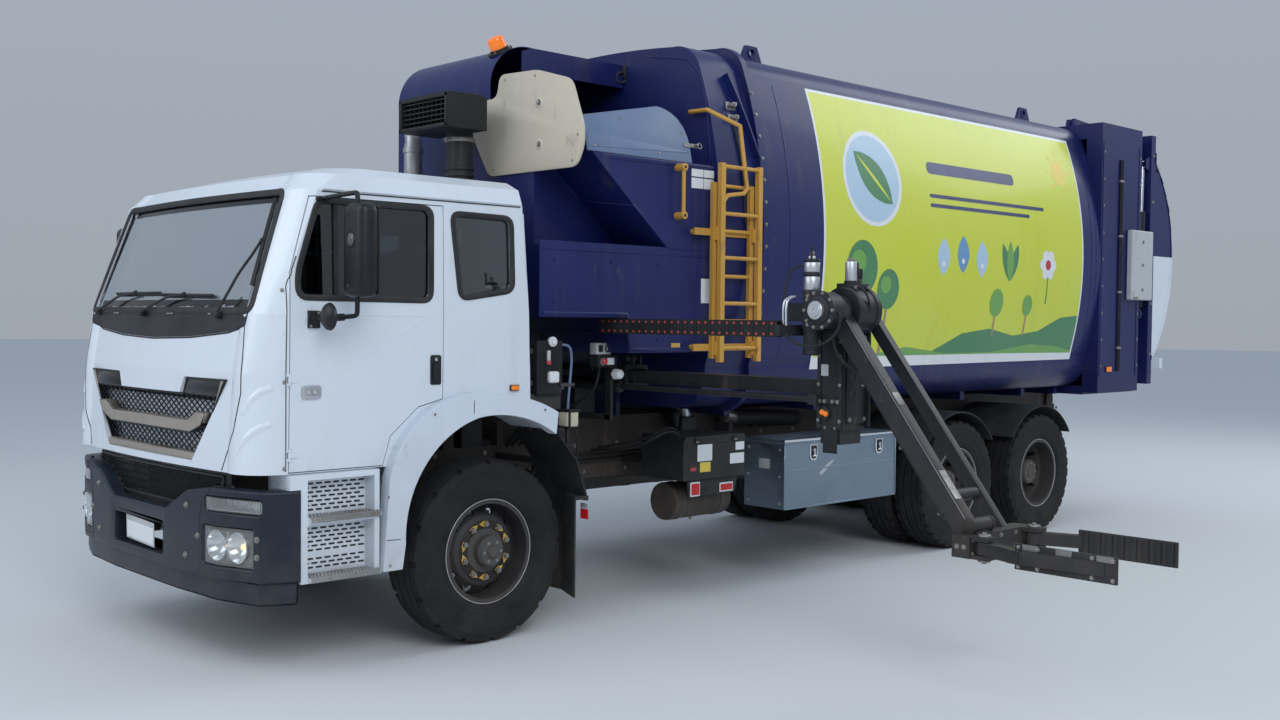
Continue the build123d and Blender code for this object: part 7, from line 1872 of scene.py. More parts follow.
        add_cord("hose_drum",
                 [(-1.1, 2.783, 1.9), (-1.092, 2.812, 1.868), (-1.07, 2.8, 1.78), (-1.04, 2.7, 1.712),
                  (-1.005, 2.59, 1.722), (-0.985, 2.53, 1.76), (-0.982, 2.514, 1.785)], 0.0075, "mast",
                 "flap_rubber")
        add_cord("hose_upright",
                 [(-1.112, 2.545, 2.15), (-1.105, 2.49, 2.165), (-1.07, 2.455, 2.09), (-1.03, 2.462, 1.96),
                  (-1.005, 2.48, 1.87), (-0.99, 2.492, 1.828)], 0.0065, "mast", "flap_rubber")

    def valves(self, bm):
        """Valve block, pale canister and black valve caps on the rear drum."""
        top = PIVOT.z + 0.122
        add_block(bm, (-1.45, 2.62, top - 0.02), (-1.29, 2.73, top + 0.03), 0.006, 2, 0)
        add_rod(bm, (-1.33, 2.69, top + 0.026), (-1.33, 2.69, top + 0.044), 0.038, 28, 0.004, 0)
        add_rod(bm, (-1.33, 2.69, top + 0.04), (-1.33, 2.69, top + 0.15), 0.032, 28, 0.005, 2)
        add_rod(bm, (-1.33, 2.69, top + 0.146), (-1.33, 2.69, top + 0.168), 0.024, 6, 0.004, 1)
        for x, height in ((-1.4, 0.15), (-1.436, 0.115)):
            add_rod(bm, (x, 2.665, top + 0.026), (x, 2.665, top + height * 0.55), 0.017, 18, 0.003, 3)
            add_rod(bm, (x, 2.665, top + height * 0.5), (x, 2.665, top + height), 0.021, 20, 0.005, 4)
        for x in (-1.312, -1.425):
            add_rod(bm, (x, 2.726, top + 0.006), (x, 2.748, top + 0.006), 0.011, 6, 0.002, 1)
        loop = [(-1.312, 2.744, top + 0.006), (-1.312, 2.775, top + 0.008), (-1.33, 2.8, top - 0.03),
                (-1.35, 2.806, top - 0.08), (-1.362, 2.802, top - 0.13)]
        add_hose(bm, loop, 0.0065, 8, 5, 3)

    def arm(self):
        """Bolts, clips, worn edges and hoses of the arm, and the jaws' motor on the head."""
        bm = bmesh.new()
        for x, way, radius in ((-1.1798, 1, 0.062), (-1.5252, -1, 0.044)):
            for k in range(8):
                angle = math.tau * k / 8 + 0.2
                foot = Vector((x, PIVOT.y + radius * math.cos(angle), PIVOT.z + radius * math.sin(angle)))
                add_bolts(bm, [foot], (way, 0, 0), 0.008, 0.009, 1)
        for clip in (0.443, 0.843, 1.243):
            for dx in (-0.022, 0.022):
                foot = on_arm(clip, -1.215 + dx, 0.077)
                add_bolts(bm, [foot], ARM_UNDER, 0.0065, 0.008, 1)
        turn = Matrix.Rotation(ARM_LEAN - math.pi / 2, 4, "X")
        for distance, x0, x1, under, index in ((1.15, -1.2505, -1.1795, -0.0535, 2),
                                               (0.62, -1.2503, -1.1797, -0.0532, 3)):
            low = on_arm(distance, 0, under)
            size = 0.085 if index == 2 else 0.04
            part = bmesh.new()
            add_block(part, (x0 + 0.008, -size, -0.0015), (x1 - 0.008, size, 0.0015), 0.001, 1, index)
            bmesh.ops.transform(part, matrix=Matrix.Translation((0, low.y, low.z)) @ turn, verts=part.verts)
            merge_kept(bm, part)
        for x in (-1.1795, -1.2505):
            ridge = [on_arm(0.1, x, -0.046), on_arm(1.4, x, -0.046)]
            add_rod(bm, ridge[0], ridge[1], 0.0032, 8, 0.0, 3)
        for x in (-1.228, -1.202):
            add_hose(bm,
                     [on_arm(1.288, x, 0.067), on_arm(1.34, x, 0.075), on_arm(1.4, x, 0.052),
                      on_arm(1.452, x, 0.07), Vector((x - 0.03, 3.585, 0.842))], 0.0085, 8, 4, 3)
        y, z = 3.575, 0.842
        add_rod(bm, (-1.33, y, z), (-1.15, y, z), 0.036, 28, 0.005, 0)
        for x in (-1.335, -1.16):
            add_rod(bm, (x, y, z), (x + 0.012, y, z), 0.041, 28, 0.003, 0)
        add_block(bm, (-1.3, 3.545, 0.803), (-1.18, 3.605, 0.815), 0.003, 1, 0)
        add_bolts(bm, [(x, 3.6302, z) for x in (-1.62, -1.5, -1.36, -1.22, -1.1) for z in (0.715, 0.785)],
                  (0, 1, 0), 0.01, 0.009, 1)
        for x in (-1.652, -1.072):
            way = 1 if x > -1.3 else -1
            add_bolts(bm, [(x, 3.56, 0.75), (x, 3.6, 0.75)], (way, 0, 0), 0.01, 0.009, 1)
        for s in (1, -1):
            x = PIVOT.x + s * JAW_PIN_OUT
            for z, way in ((0.805, 1), (0.695, -1)):
                add_rod(bm, (x, 3.68, z), (x, 3.68, z + way * 0.012), 0.032, 24, 0.003, 1)
                add_bolts(bm, [(x, 3.68, z + way * 0.012)], (0, 0, way), 0.012, 0.01, 1)
        new_piece("arm_fittings", bm,
                  ("lifter_paint", "bolt_steel", "bolt_steel", "steel_worn", "flap_rubber"), "lift_arm",
                  sharp=38)
        for x, dip in ((-1.228, 0.155), (-1.202, 0.13)):
            route = [on_arm(0.075, x, 0.055), on_arm(0.115, x, dip * 0.8), on_arm(0.2, x, dip),
                     on_arm(0.29, x, dip * 0.85), on_arm(0.345, x, 0.072), on_arm(0.385, x, 0.067)]
            add_cord("hose_arm_" + ("inner" if x < -1.21 else "outer"), route, 0.009, "lift_arm",
                     "flap_rubber")

    def jaws(self):
        """Rubber ribs inside the pads, bolts outside them and worn edges."""
        for name, s in (("front", 1), ("rear", -1)):
            bm = bmesh.new()
            face = PIVOT.x + s * JAW_FACE_OUT
            for k in range(8):
                y = 3.915 + 0.062 * k
                add_block(bm, (face - s * 0.0005, y, 0.692), (face - s * 0.01, y + 0.034, 0.808), 0.004, 2,
                          0)
            for y in (3.91, 4.01, 4.28, 4.38):
                for z in (0.705, 0.795):
                    add_bolts(bm, [(face + s * 0.0122, y, z)], (s, 0, 0), 0.008, 0.007, 1)
            for y in (3.93, 4.1, 4.3):
                add_block(bm, (face + s * 0.0118, y, 0.783), (face + s * 0.0135, y + 0.08, 0.811), 0.001, 1,
                          2)
            new_piece(f"jaw_{name}_pads", bm, ("flap_rubber", "bolt_steel", "steel_worn"), "jaw_" + name,
                      sharp=38)

    def chain(self):
        """Drag chain of overlapping links with rows of red pins."""
        bm = bmesh.new()
        z = 1.808
        for i in range(26):
            y = 2.4795 - 0.055 * i
            for s in (1, -1):
                shift = 0.0022 if i % 2 else 0.0
                x = -0.97 + s * (0.0262 + shift)
                plate = rounded_corners(oblong(y + 0.01, z - 0.046, y - 0.058, z + 0.046), 0.016, 3)
                add_outline(bm, plate, "front", x - s * 0.003, x + s * 0.0022, 0.0, 0)
                for dz in (-0.029, 0.029):
                    add_rod(bm, (x, y - 0.024, z + dz), (x + s * 0.0052, y - 0.024, z + dz), 0.0078, 12,
                            0.0, 1)
                add_rod(bm, (x, y - 0.024, z), (x + s * 0.0036, y - 0.024, z), 0.012, 14, 0.0, 0)
            for dz in (-0.043, 0.037):
                add_block(bm, (-0.994, y - 0.04, z + dz), (-0.946, y - 0.012, z + dz + 0.006), 0.0015, 1, 0)
        for k in range(3):
            x = -0.985 + 0.015 * k
            add_rod(bm, (x, 1.06, z - 0.01), (x, 2.47, z - 0.01), 0.0068, 8, 0.0, 2)
        new_piece("drag_chain", bm, ("trim_black", "link_red", "flap_rubber"), body_of("energy_chain"),
                  ("energy_chain",), sharp=38)

    def slide(self):
        """Bolts, wear pads and cylinder ends of the cross slide."""
        bm = bmesh.new()
        for x in (-1.44, -1.284):
            add_bolts(bm, [(x, y, 1.5412) for y in (0.7, 0.8, 0.9)], (0, 0, 1), 0.009, 0.008, 1)
        add_bolts(bm, [(-1.2658, y, z) for y in (0.62, 0.76, 0.9) for z in (1.44, 1.52)], (1, 0, 0), 0.009,
                  0.008, 1)
        add_block(bm, (-1.266, 0.935, 1.415), (-1.256, 0.9495, 1.545), 0.003, 1, 0)
        for z0, z1 in ((1.5405, 1.556), (1.405, 1.4195)):
            add_block(bm, (-1.462, 0.915, z0), (-1.262, 0.9498, z1), 0.004, 2, 0)
        for x in (-1.335, -1.4):
            add_block(bm, (x - 0.01, 0.83, 1.553), (x + 0.01, 0.945, 1.615), 0.004, 2, 0)
            add_rod(bm, (x - 0.012, 0.9, 1.592), (x + 0.012, 0.9, 1.592), 0.02, 22, 0.003, 1)
        add_rod(bm, (-1.39, 0.9, 1.592), (-1.345, 0.9, 1.592), 0.022, 24, 0.003, 2)
        for y in (-0.548, 0.905):
            add_turned(bm, oblong(0.0335, -0.012, 0.04, 0.014),
                       (-1.24, y, 1.415), (0, 1, 0), 36, 0, closed=True)
        add_rod(bm, (-1.225, 0.86, 1.448), (-1.215, 0.86, 1.475), 0.012, 14, 0.002, 1)
        new_piece("slide_fittings", bm, ("lifter_paint", "bolt_steel", "cast_dark"),
                  body_of("slide_housing"), sharp=38)


# Rear end

class GARBAGETRUCK_OT_rear(bpy.types.Operator):
    """Ribs, bolts, lamps and blank plate of the tailgate, and the flanges, hoses and latches of the posts"""
    bl_idname = "garbage_truck.rear"
    bl_label = "Rear end"

    def execute(self, context):
        dressed("gate_barrels", "lifter_paint", 0.003)
        dressed("hoist_barrels", "lifter_paint", 0.003)
        self.gate()
        self.lamps()
        self.posts()
        return {"FINISHED"}

    def gate(self):
        """Welded edges, ribs and bolts of the tailgate."""
        bm = bmesh.new()
        skin = ("tailgate",)
        for s in (1, -1):
            arc = [(-8.15, 1.375), (-8.3, 1.535), (-8.46, 1.79), (-8.57, 2.06), (-8.625, 2.33),
                   (-8.638, 2.56), (-8.61, 2.83), (-8.52, 3.12), (-8.38, 3.37), (-8.2, 3.535)]
            add_band(bm, follow(arc, "side", s * BESIDE, skin, 0.05), 0.018, 0.005, 1, shape="round")
            for z in (1.55, 2.05, 2.55, 3.05, 3.5):
                spot, normal = land(skin, (-8.048, s * BESIDE, z), (0, -s, 0))
                add_bolts(bm, [spot], normal, 0.012, 0.011, 2)
        for low, high in ((1.62, 2.22), (2.72, 3.42)):
            for y in (-0.62, 0.0, 0.62):
                add_band(bm, follow([(y, low), (y, high)], "front", -9.4, skin, 0.06), 0.04, 0.008, 1,
                         shape="flat")
        new_piece("tailgate_ribs", bm, ("cab_white", "tailgate_paint", "bolt_steel"), "tailgate",
                  sharp=45)

    def lamps(self):
        """Lamp clusters in black housings and the blank plate between them."""
        bm = bmesh.new()
        x = -8.5602
        for s in (1, -1):
            add_block(bm, (x + 0.01, s * 0.56, 1.405), (x - 0.01, s * 1.14, 1.495), 0.004, 2, 0)
            for y0, y1, index in ((0.985, 1.13, 2), (0.845, 0.975, 3), (0.71, 0.835, 2), (0.575, 0.7, 1)):
                add_block(bm, (x - 0.006, s * y0, 1.413), (x - 0.024, s * y1, 1.487), 0.007, 3, index)
                ring = oblong(s * (y0 + 0.02), 1.425, s * (y1 - 0.02), 1.475)
                add_outline(bm, ring, "front", x - 0.023, x - 0.0255, 0.001, index)
            add_block(bm, (x - 0.001, s * 0.43, 1.43), (x - 0.008, s * 0.53, 1.47), 0.003, 1, 2)
        add_block(bm, (x - 0.001, -0.19, 1.405), (x - 0.008, 0.19, 1.495), 0.003, 1, 0)
        add_block(bm, (x - 0.007, -0.182, 1.412), (x - 0.01, 0.182, 1.488), 0.001, 1, 4)
        for y in (-0.21, 0.21):
            add_block(bm, (x - 0.001, y - 0.012, 1.47), (x - 0.02, y + 0.012, 1.49), 0.004, 2, 5)
        new_piece("rear_lamps", bm,
                  ("trim_black", "lens_clear", "lens_red", "lens_amber", "sign_white", "chrome"),
                  "tailgate", sharp=40)

    def posts(self):
        """Bolted flanges, latches, clipped hoses and side markers of the rear frame."""
        skin = ("rear_frame",)
        bm = bmesh.new()
        for s in (1, -1):
            for x in (-7.03, -7.75):
                spots = follow([(x, 1.35), (x, 3.55)], "side", s * BESIDE, skin, 0.2)
                add_band(bm, spots, 0.018, 0.006, 0, shape="round")
                for k in range(9):
                    spot, normal = land(skin, (x - 0.018, s * BESIDE, 1.45 + 0.25 * k), (0, -s, 0))
                    add_bolts(bm, [spot], normal, 0.01, 0.009, 2)
            for z in (2.18, 2.42, 2.64):
                spot, normal = land(("lock_covers",), (-7.74, s * 1.7, z), (0, -s, 0))
                add_rod(bm, spot - normal * 0.002, spot + normal * 0.006, 0.016, 20, 0.002, 2)
                add_bolts(bm, [spot + normal * 0.005], normal, 0.009, 0.007, 2)
            spot, normal = land(("lock_covers",), (-7.6, s * 1.7, 2.1), (0, -s, 0))
            add_block(bm, spot + Vector((-0.05, -0.004, -0.012)), spot + Vector((0.05, 0.008, 0.012)),
                      0.003, 1, 2)
            for dx in (0.0, 0.03):
                line = [(-7.36 - dx, z) for z in (1.4, 1.9, 2.4, 2.9, 3.4)]
                landed = follow(line, "side", s * BESIDE, skin, 0.25)
                add_hose(bm, [place + normal * 0.01 for place, normal in landed], 0.0095, 8, 3, 3)
            for z in (1.62, 2.15, 2.68, 3.2):
                spot, normal = land(skin, (-7.375, s * BESIDE, z), (0, -s, 0))
                low, high = spot + Vector((-0.035, 0, -0.01)), spot + Vector((0.04, s * 0.022, 0.01))
                add_block(bm, low, high, 0.003, 1, 2)
            spot, normal = land(skin, (-7.2, s * BESIDE, 1.42), (0, -s, 0))
            add_block(bm, spot + Vector((-0.055, -0.001 * s, -0.028)),
                      spot + Vector((0.055, s * 0.01, 0.028)), 0.004, 2, 4)
            add_block(bm, spot + Vector((-0.05, s * 0.006, -0.023)),
                      spot + Vector((0.05, s * 0.014, 0.023)), 0.004, 2, 5)
        new_piece("rear_frame_fittings", bm,
                  ("body_blue", "cover_grey", "bolt_steel", "flap_rubber", "trim_black", "lens_amber"),
                  "bed", sharp=40)


# Boxes, tanks and hoses under the body

# Just inside the chassis rail's face, where brackets start, and a little deeper, where hoses start
RAIL_FACE = 0.428
RAIL_IN = 0.425


class GARBAGETRUCK_OT_underbody(bpy.types.Operator):
    """Details of the boxes and tanks, fittings behind the cab, lamp, button boxes and chassis fittings"""
    bl_idname = "garbage_truck.underbody"
    bl_label = "Boxes and tanks"

    def execute(self, context):
        dressed("battery_box", "trim_black", 0.014, 3)
        dressed("tool_box", "box_alu", 0.006, 2)
        dressed("tanks", "chassis_paint", 0.016, 3)
        self.battery()
        self.tools()
        self.tank_straps()
        self.behind_cab()
        self.work_lamp()
        self.button_boxes()
        self.chassis()
        return {"FINISHED"}

    def battery(self):
        """Lid seam, blank labels, valance with reflectors and the catches of the battery box."""
        bm = bmesh.new()
        y = 1.2002
        add_block(bm, (-2.143, y - 0.002, 1.036), (-1.542, y + 0.006, 1.046), 0.002, 1, 0)
        add_block(bm, (-2.13, y - 0.002, 0.905), (-1.555, y + 0.0015, 0.911), 0.001, 1, 0)
        for x0, x1, z0, z1, index in ((-1.675, -1.815, 0.920, 1.030, 1), (-2.045, -2.130, 0.975, 1.030, 1),
                                      (-1.990, -2.130, 0.885, 0.955, 1), (-1.600, -1.672, 0.855, 0.915, 4),
                                      (-1.700, -1.800, 0.848, 0.912, 2), (-1.608, -1.664, 0.862, 0.884, 3)):
            add_block(bm, (x0, y - 0.001, z0), (x1, y + (0.0025 if index == 3 else 0.0018), z1), 0.0006, 1,
                      index)
        add_outline(bm, rounded_corners([(-2.085, 0.8), (-1.6, 0.8), (-1.62, 0.69), (-2.06, 0.69)], 0.02),
                    "side", 1.168, 1.184, 0.003, 0)
        for x0, x1, z0, z1 in ((-1.625, -1.715, 0.69, 0.785), (-1.905, -2.035, 0.7, 0.762)):
            add_block(bm, (x0, 1.183, z0), (x1, 1.19, z1), 0.002, 1, 1)
            # The red reflectors use the glowing red lens: a painted glow, since they are no lamps.
            add_block(bm, (x0 - 0.008, 1.186, z0 + 0.01), (x1 + 0.008, 1.1935, z1 - 0.01), 0.003, 2, 5)
        for x in (-1.66, -2.03):
            add_block(bm, (x - 0.018, y - 0.001, 1.04), (x + 0.018, y + 0.014, 1.078), 0.004, 2, 0)
            add_rod(bm, (x - 0.014, y + 0.012, 1.05), (x + 0.014, y + 0.012, 1.05), 0.005, 10, 0.001, 6)
        add_hose(bm,
                 [(-1.6, 1.1, 1.08), (-1.57, 1.1, 1.115), (-1.5, 1.08, 1.12), (-1.44, 1.0, 1.06),
                  (-1.43, 0.8, 0.98), (-1.43, RAIL_IN, 0.95)], 0.01, 10, 7, 3)
        add_hose(bm,
                 [(-1.7, 1.0, 1.083), (-1.68, 1.0, 1.125), (-1.58, 0.98, 1.13), (-1.5, 0.9, 1.05),
                  (-1.49, RAIL_IN, 0.96)], 0.01, 10, 7, 3)
        new_piece("battery_box_details", bm,
                  ("trim_black", "sign_white", "sun_yellow", "sign_red", "seam_dark_and_hole_shade", "lens_red",
                   "bolt_steel", "flap_rubber"), body_of("battery_box"), sharp=38)

    def tools(self):
        """Folded edges, a lid lip, two latches in shield-shaped bezels and a worn patch on the tool box."""
        bm = bmesh.new()
        y = 1.2152
        add_block(bm, (-3.862, y - 0.002, 0.519), (-3.852, y + 0.004, 0.984), 0.002, 1, 0)
        add_block(bm, (-2.548, y - 0.002, 0.519), (-2.538, y + 0.004, 0.984), 0.002, 1, 0)
        add_block(bm, (-3.862, y - 0.002, 0.518), (-2.538, y + 0.004, 0.53), 0.002, 1, 0)
        add_band(bm, follow([(-2.56, 0.79), (-3.84, 0.79)], "side", 1.8, ("tool_box",), 0.2), 0.02, 0.002,
                 0, shape="ridge")
        add_block(bm, (-3.868, 1.2245, 0.996), (-2.532, 1.2285, 1.0115), 0.002, 1, 2)
        for x in (-2.857, -3.64):
            shield = [(x - 0.044, 0.968), (x + 0.044, 0.968), (x + 0.044, 0.88), (x + 0.024, 0.85),
                      (x - 0.024, 0.85), (x - 0.044, 0.88)]
            add_outline(bm, rounded_corners(shield, 0.01, 3), "side", y - 0.001, y + 0.007, 0.002, 2)
            inner = [(x - 0.032, 0.957), (x + 0.032, 0.957), (x + 0.032, 0.886), (x + 0.018, 0.864),
                     (x - 0.018, 0.864), (x - 0.032, 0.886)]
            add_outline(bm, rounded_corners(inner, 0.008, 3), "side", y + 0.004, y + 0.0078, 0.0, 3)
            add_rod(bm, (x, y + 0.006, 0.925), (x, y + 0.016, 0.925), 0.013, 20, 0.002, 2)
            add_block(bm, (x - 0.007, y + 0.01, 0.885), (x + 0.007, y + 0.018, 0.93), 0.003, 2, 2)
            add_rod(bm, (x - 0.02, y + 0.013, 0.884), (x + 0.02, y + 0.013, 0.884), 0.006, 12, 0.002, 2)
        patch = [(-2.93, 0.755), (-3.02, 0.815), (-3.1, 0.845), (-3.075, 0.815), (-3.0, 0.765),
                 (-2.95, 0.735)]
        add_outline(bm, patch, "side", y - 0.0005, y + 0.0006, 0.0, 1)
        add_block(bm, (-2.5398, 0.98, 0.8), (-2.5378, 1.08, 0.87), 0.0006, 1, 4)
        add_bolts(bm, [(-2.5395, yy, z) for yy in (0.88, 1.17) for z in (0.56, 0.75, 0.94)], (1, 0, 0),
                  0.007, 0.006, 1)
        new_piece("tool_box_details", bm,
                  ("box_alu", "lamp_silver", "chrome", "mirror_black", "cover_grey"), body_of("tool_box"),
                  sharp=38)

    def tank_straps(self):
        """Straps, end seams, caps and drain cocks of the tanks."""
        bm = bmesh.new()
        for x in (-2.05, -1.68):
            add_turned(bm, [(0.1245, -0.016), (0.1285, -0.015), (0.1285, 0.015), (0.1245, 0.016)],
                       (x, 0.96, 0.64), (1, 0, 0), 56, 0, closed=True)
        for x in (-2.112, -1.618):
            add_torus(bm, (x, 0.96, 0.64), (1, 0, 0), 0.1235, 0.004, 56, 8, 1)
        for x in (-2.9, -3.28, -2.42):
            add_turned(bm, [(0.2992, -0.022), (0.3035, -0.021), (0.3035, 0.021), (0.2992, 0.022)],
                       (x, -0.86, 0.76), (1, 0, 0), 72, 0, closed=True)
        for x in (-3.375, -2.325):
            add_torus(bm, (x, -0.86, 0.76), (1, 0, 0), 0.2975, 0.006, 72, 8, 1)
        add_turned(
            bm, [(0.052, 0.0), (0.055, 0.004), (0.055, 0.045), (0.05, 0.05), (0.02, 0.052), (0.0, 0.052)],
            (-2.55, -1.005, 1.018), (0, -0.5, 0.86), 32, 2)
        add_rod(bm, (-1.86, 0.96, 0.516), (-1.86, 0.96, 0.494), 0.012, 6, 0.002, 3)
        add_rod(bm, (-2.13, 0.96, 0.7), (-2.16, 0.96, 0.7), 0.014, 6, 0.002, 3)
        add_hose(bm,
                 [(-2.155, 0.96, 0.7), (-2.22, 0.958, 0.705), (-2.28, 0.9, 0.76), (-2.3, 0.7, 0.82),
                  (-2.3, RAIL_IN, 0.85)], 0.008, 8, 4, 3)
        new_piece("tank_straps", bm,
                  ("cast_dark", "chassis_paint", "mirror_black", "bolt_steel", "flap_rubber"), "truck",
                  sharp=38)

    def behind_cab(self):
        """Bottles, boxes, filters and looped hoses behind the cab."""
        bm = bmesh.new()
        add_block(bm, (-0.6, 0.98, 1.395), (-0.4, 1.1, 1.72), 0.01, 2, 0)
        for z in (1.45, 1.64):
            add_block(bm, (-0.44, 1.0, z), (-0.283, 1.06, z + 0.03), 0.004, 1, 4)
        add_block(bm, (-0.62, 1.0, 1.3), (-0.38, 1.06, 1.4), 0.006, 2, 4)
        add_rod(bm, (-0.515, 1.09, 1.712), (-0.515, 1.115, 1.712), 0.03, 24, 0.004, 1)
        add_rod(bm, (-0.515, 1.112, 1.712), (-0.515, 1.126, 1.712), 0.018, 20, 0.003, 1)
        add_rod(bm, (-0.485, 1.105, 1.59), (-0.485, 1.105, 1.66), 0.012, 16, 0.003, 2)
        add_rod(bm, (-0.485, 1.105, 1.6), (-0.485, 1.105, 1.575), 0.016, 16, 0.003, 3)
        add_block(bm, (-0.555, 1.09, 1.465), (-0.48, 1.13, 1.535), 0.014, 3, 1)
        add_rod(bm, (-0.6, 1.02, 1.44), (-0.6, 1.09, 1.44), 0.022, 6, 0.003, 5)
        add_hose(bm,
                 [(-0.598, 1.07, 1.69), (-0.655, 1.095, 1.7), (-0.672, 1.1, 1.62), (-0.66, 1.1, 1.5),
                  (-0.64, 1.1, 1.31), (-0.634, 1.11, 1.25)], 0.008, 10, 6, 3)
        add_block(bm, (-0.69, 1.02, 1.44), (-0.58, 1.11, 1.46), 0.004, 1, 4)
        for k, x in enumerate((-0.7, -0.74, -0.8, -0.86, -0.92, -0.97)):
            y = 0.72 + 0.035 * (k % 3)
            route = [(x, RAIL_IN, 1.02), (x - 0.02, y - 0.1, 1.22), (x + 0.02, y, 1.34 - 0.03 * k),
                     (x, y + 0.03, 1.1), (x - 0.02, y, 0.88), (x - 0.05, y - 0.16, 0.8),
                     (x - 0.06, RAIL_IN, 0.86)]
            add_hose(bm, route, sizes().hose_radius + 0.002 * (1 - k % 3), 10, 7, 4)
        for z, radius in ((1.02, 0.055), (1.16, 0.05)):
            add_rod(bm, (-1.02, 0.46, z), (-1.02, 0.6, z), radius, 28, 0.008, 4)
            add_rod(bm, (-1.02, 0.6, z), (-1.02, 0.615, z), radius * 0.45, 6, 0.003, 5)
        add_block(bm, (-1.12, RAIL_FACE, 0.96), (-0.92, 0.47, 1.25), 0.005, 1, 4)
        new_piece("behind_cab_fittings", bm,
                  ("mirror_black", "sign_white", "cover_grey", "sign_red", "cast_dark", "bolt_steel",
                   "flap_grey", "flap_rubber"), "truck", sharp=38)

    def work_lamp(self):
        """Square lamp with ribbed lenses on its post, and the reflector on the mud flap."""
        bm = bmesh.new()
        add_block(bm, (-0.64, 1.13, 1.085), (-0.56, 1.17, 1.1), 0.003, 1, 0)
        add_block(bm, (-0.606, 1.138, 1.01), (-0.588, 1.162, 1.2), 0.003, 1, 0)
        add_block(bm, (-0.65, 1.092, 1.195), (-0.578, 1.192, 1.3), 0.01, 3, 0)
        add_block(bm, (-0.58, 1.102, 1.205), (-0.57, 1.182, 1.29), 0.004, 2, 1)
        add_block(bm, (-0.642, 1.19, 1.205), (-0.586, 1.199, 1.29), 0.004, 2, 1)
        for k in range(6):
            add_block(bm, (-0.5702, 1.106 + 0.0125 * k, 1.21), (-0.5685, 1.11 + 0.0125 * k, 1.286), 0.0005,
                      1, 1)
            add_block(bm, (-0.638 + 0.009 * k, 1.1985, 1.21), (-0.634 + 0.009 * k, 1.2002, 1.286), 0.0005,
                      1, 1)
        add_block(bm, (-0.66, 1.085, 1.292), (-0.57, 1.2, 1.306), 0.004, 2, 0)
        # The mud flap's reflector uses the glowing red lens: a painted glow, since it is no lamp.
        add_block(bm, (-0.7, 1.155, 0.64), (-0.7075, 1.225, 0.7), 0.002, 1, 2)
        add_block(bm, (-0.7, 1.155, 0.704), (-0.706, 1.225, 0.735), 0.002, 1, 3)
        new_piece("work_lamp", bm, ("trim_black", "lens_cream", "lens_red", "cover_grey"), "truck",
                  sharp=38)

    def button_boxes(self):
        """Two boxes with stop buttons and a ribbed horn, on a post beside the slide."""
        bm = bmesh.new()
        add_block(bm, (-1.145, 0.9, 1.2), (-1.12, 0.96, 1.62), 0.005, 1, 0)
        add_block(bm, (-1.14, 0.38, 1.2), (-1.12, 0.95, 1.24), 0.004, 1, 0)
        add_block(bm, (-1.15, 0.37, 1.02), (-1.11, 0.43, 1.238), 0.004, 1, 0)
        add_block(bm, (-1.13, 0.93, 1.545), (-0.965, 1.01, 1.622), 0.01, 2, 0)
        add_rod(bm, (-1.005, 1.006, 1.583), (-1.005, 1.02, 1.583), 0.024, 26, 0.002, 4)
        add_turned(bm, [(0.0, 0.03), (0.014, 0.028), (0.02, 0.022), (0.02, 0.008), (0.0, 0.006)],
                   (-1.005, 1.012, 1.583), (0, 1, 0), 28, 2)
        add_block(bm, (-1.1, 1.009, 1.562), (-1.04, 1.012, 1.605), 0.001, 1, 1)
        ribs = [(0.02, 0.0)]
        for k in range(5):
            ribs += [(0.034 - 0.001 * k, 0.006 + 0.014 * k), (0.026, 0.013 + 0.014 * k)]
        add_turned(bm, [(0.0, 0.0), *ribs, (0.014, 0.075), (0.0, 0.075)], (-1.15, 0.965, 1.5), (0.2, 1, 0),
                   28, 1)
        add_block(bm, (-1.185, 0.94, 1.462), (-1.115, 0.968, 1.545), 0.006, 2, 0)
        add_block(bm, (-1.09, 0.925, 1.625), (-0.965, 0.995, 1.7), 0.008, 2, 3)
        add_rod(bm, (-1.058, 0.993, 1.663), (-1.058, 1.0, 1.663), 0.024, 26, 0.002, 0)
        add_rod(bm, (-1.058, 0.999, 1.663), (-1.058, 1.004, 1.663), 0.016, 22, 0.002, 3)
        add_block(bm, (-1.015, 0.993, 1.642), (-0.98, 1.001, 1.686), 0.004, 2, 0)
        add_hose(bm,
                 [(-1.03, 0.95, 1.548), (-1.03, 0.94, 1.48), (-1.04, 0.88, 1.38), (-1.06, 0.7, 1.3),
                  (-1.06, 0.44, 1.2)], 0.009, 8, 5, 3)
        new_piece("button_boxes", bm,
                  ("trim_black", "sign_white", "sign_red", "cover_grey", "lamp_silver", "flap_rubber"),
                  "truck", sharp=38)

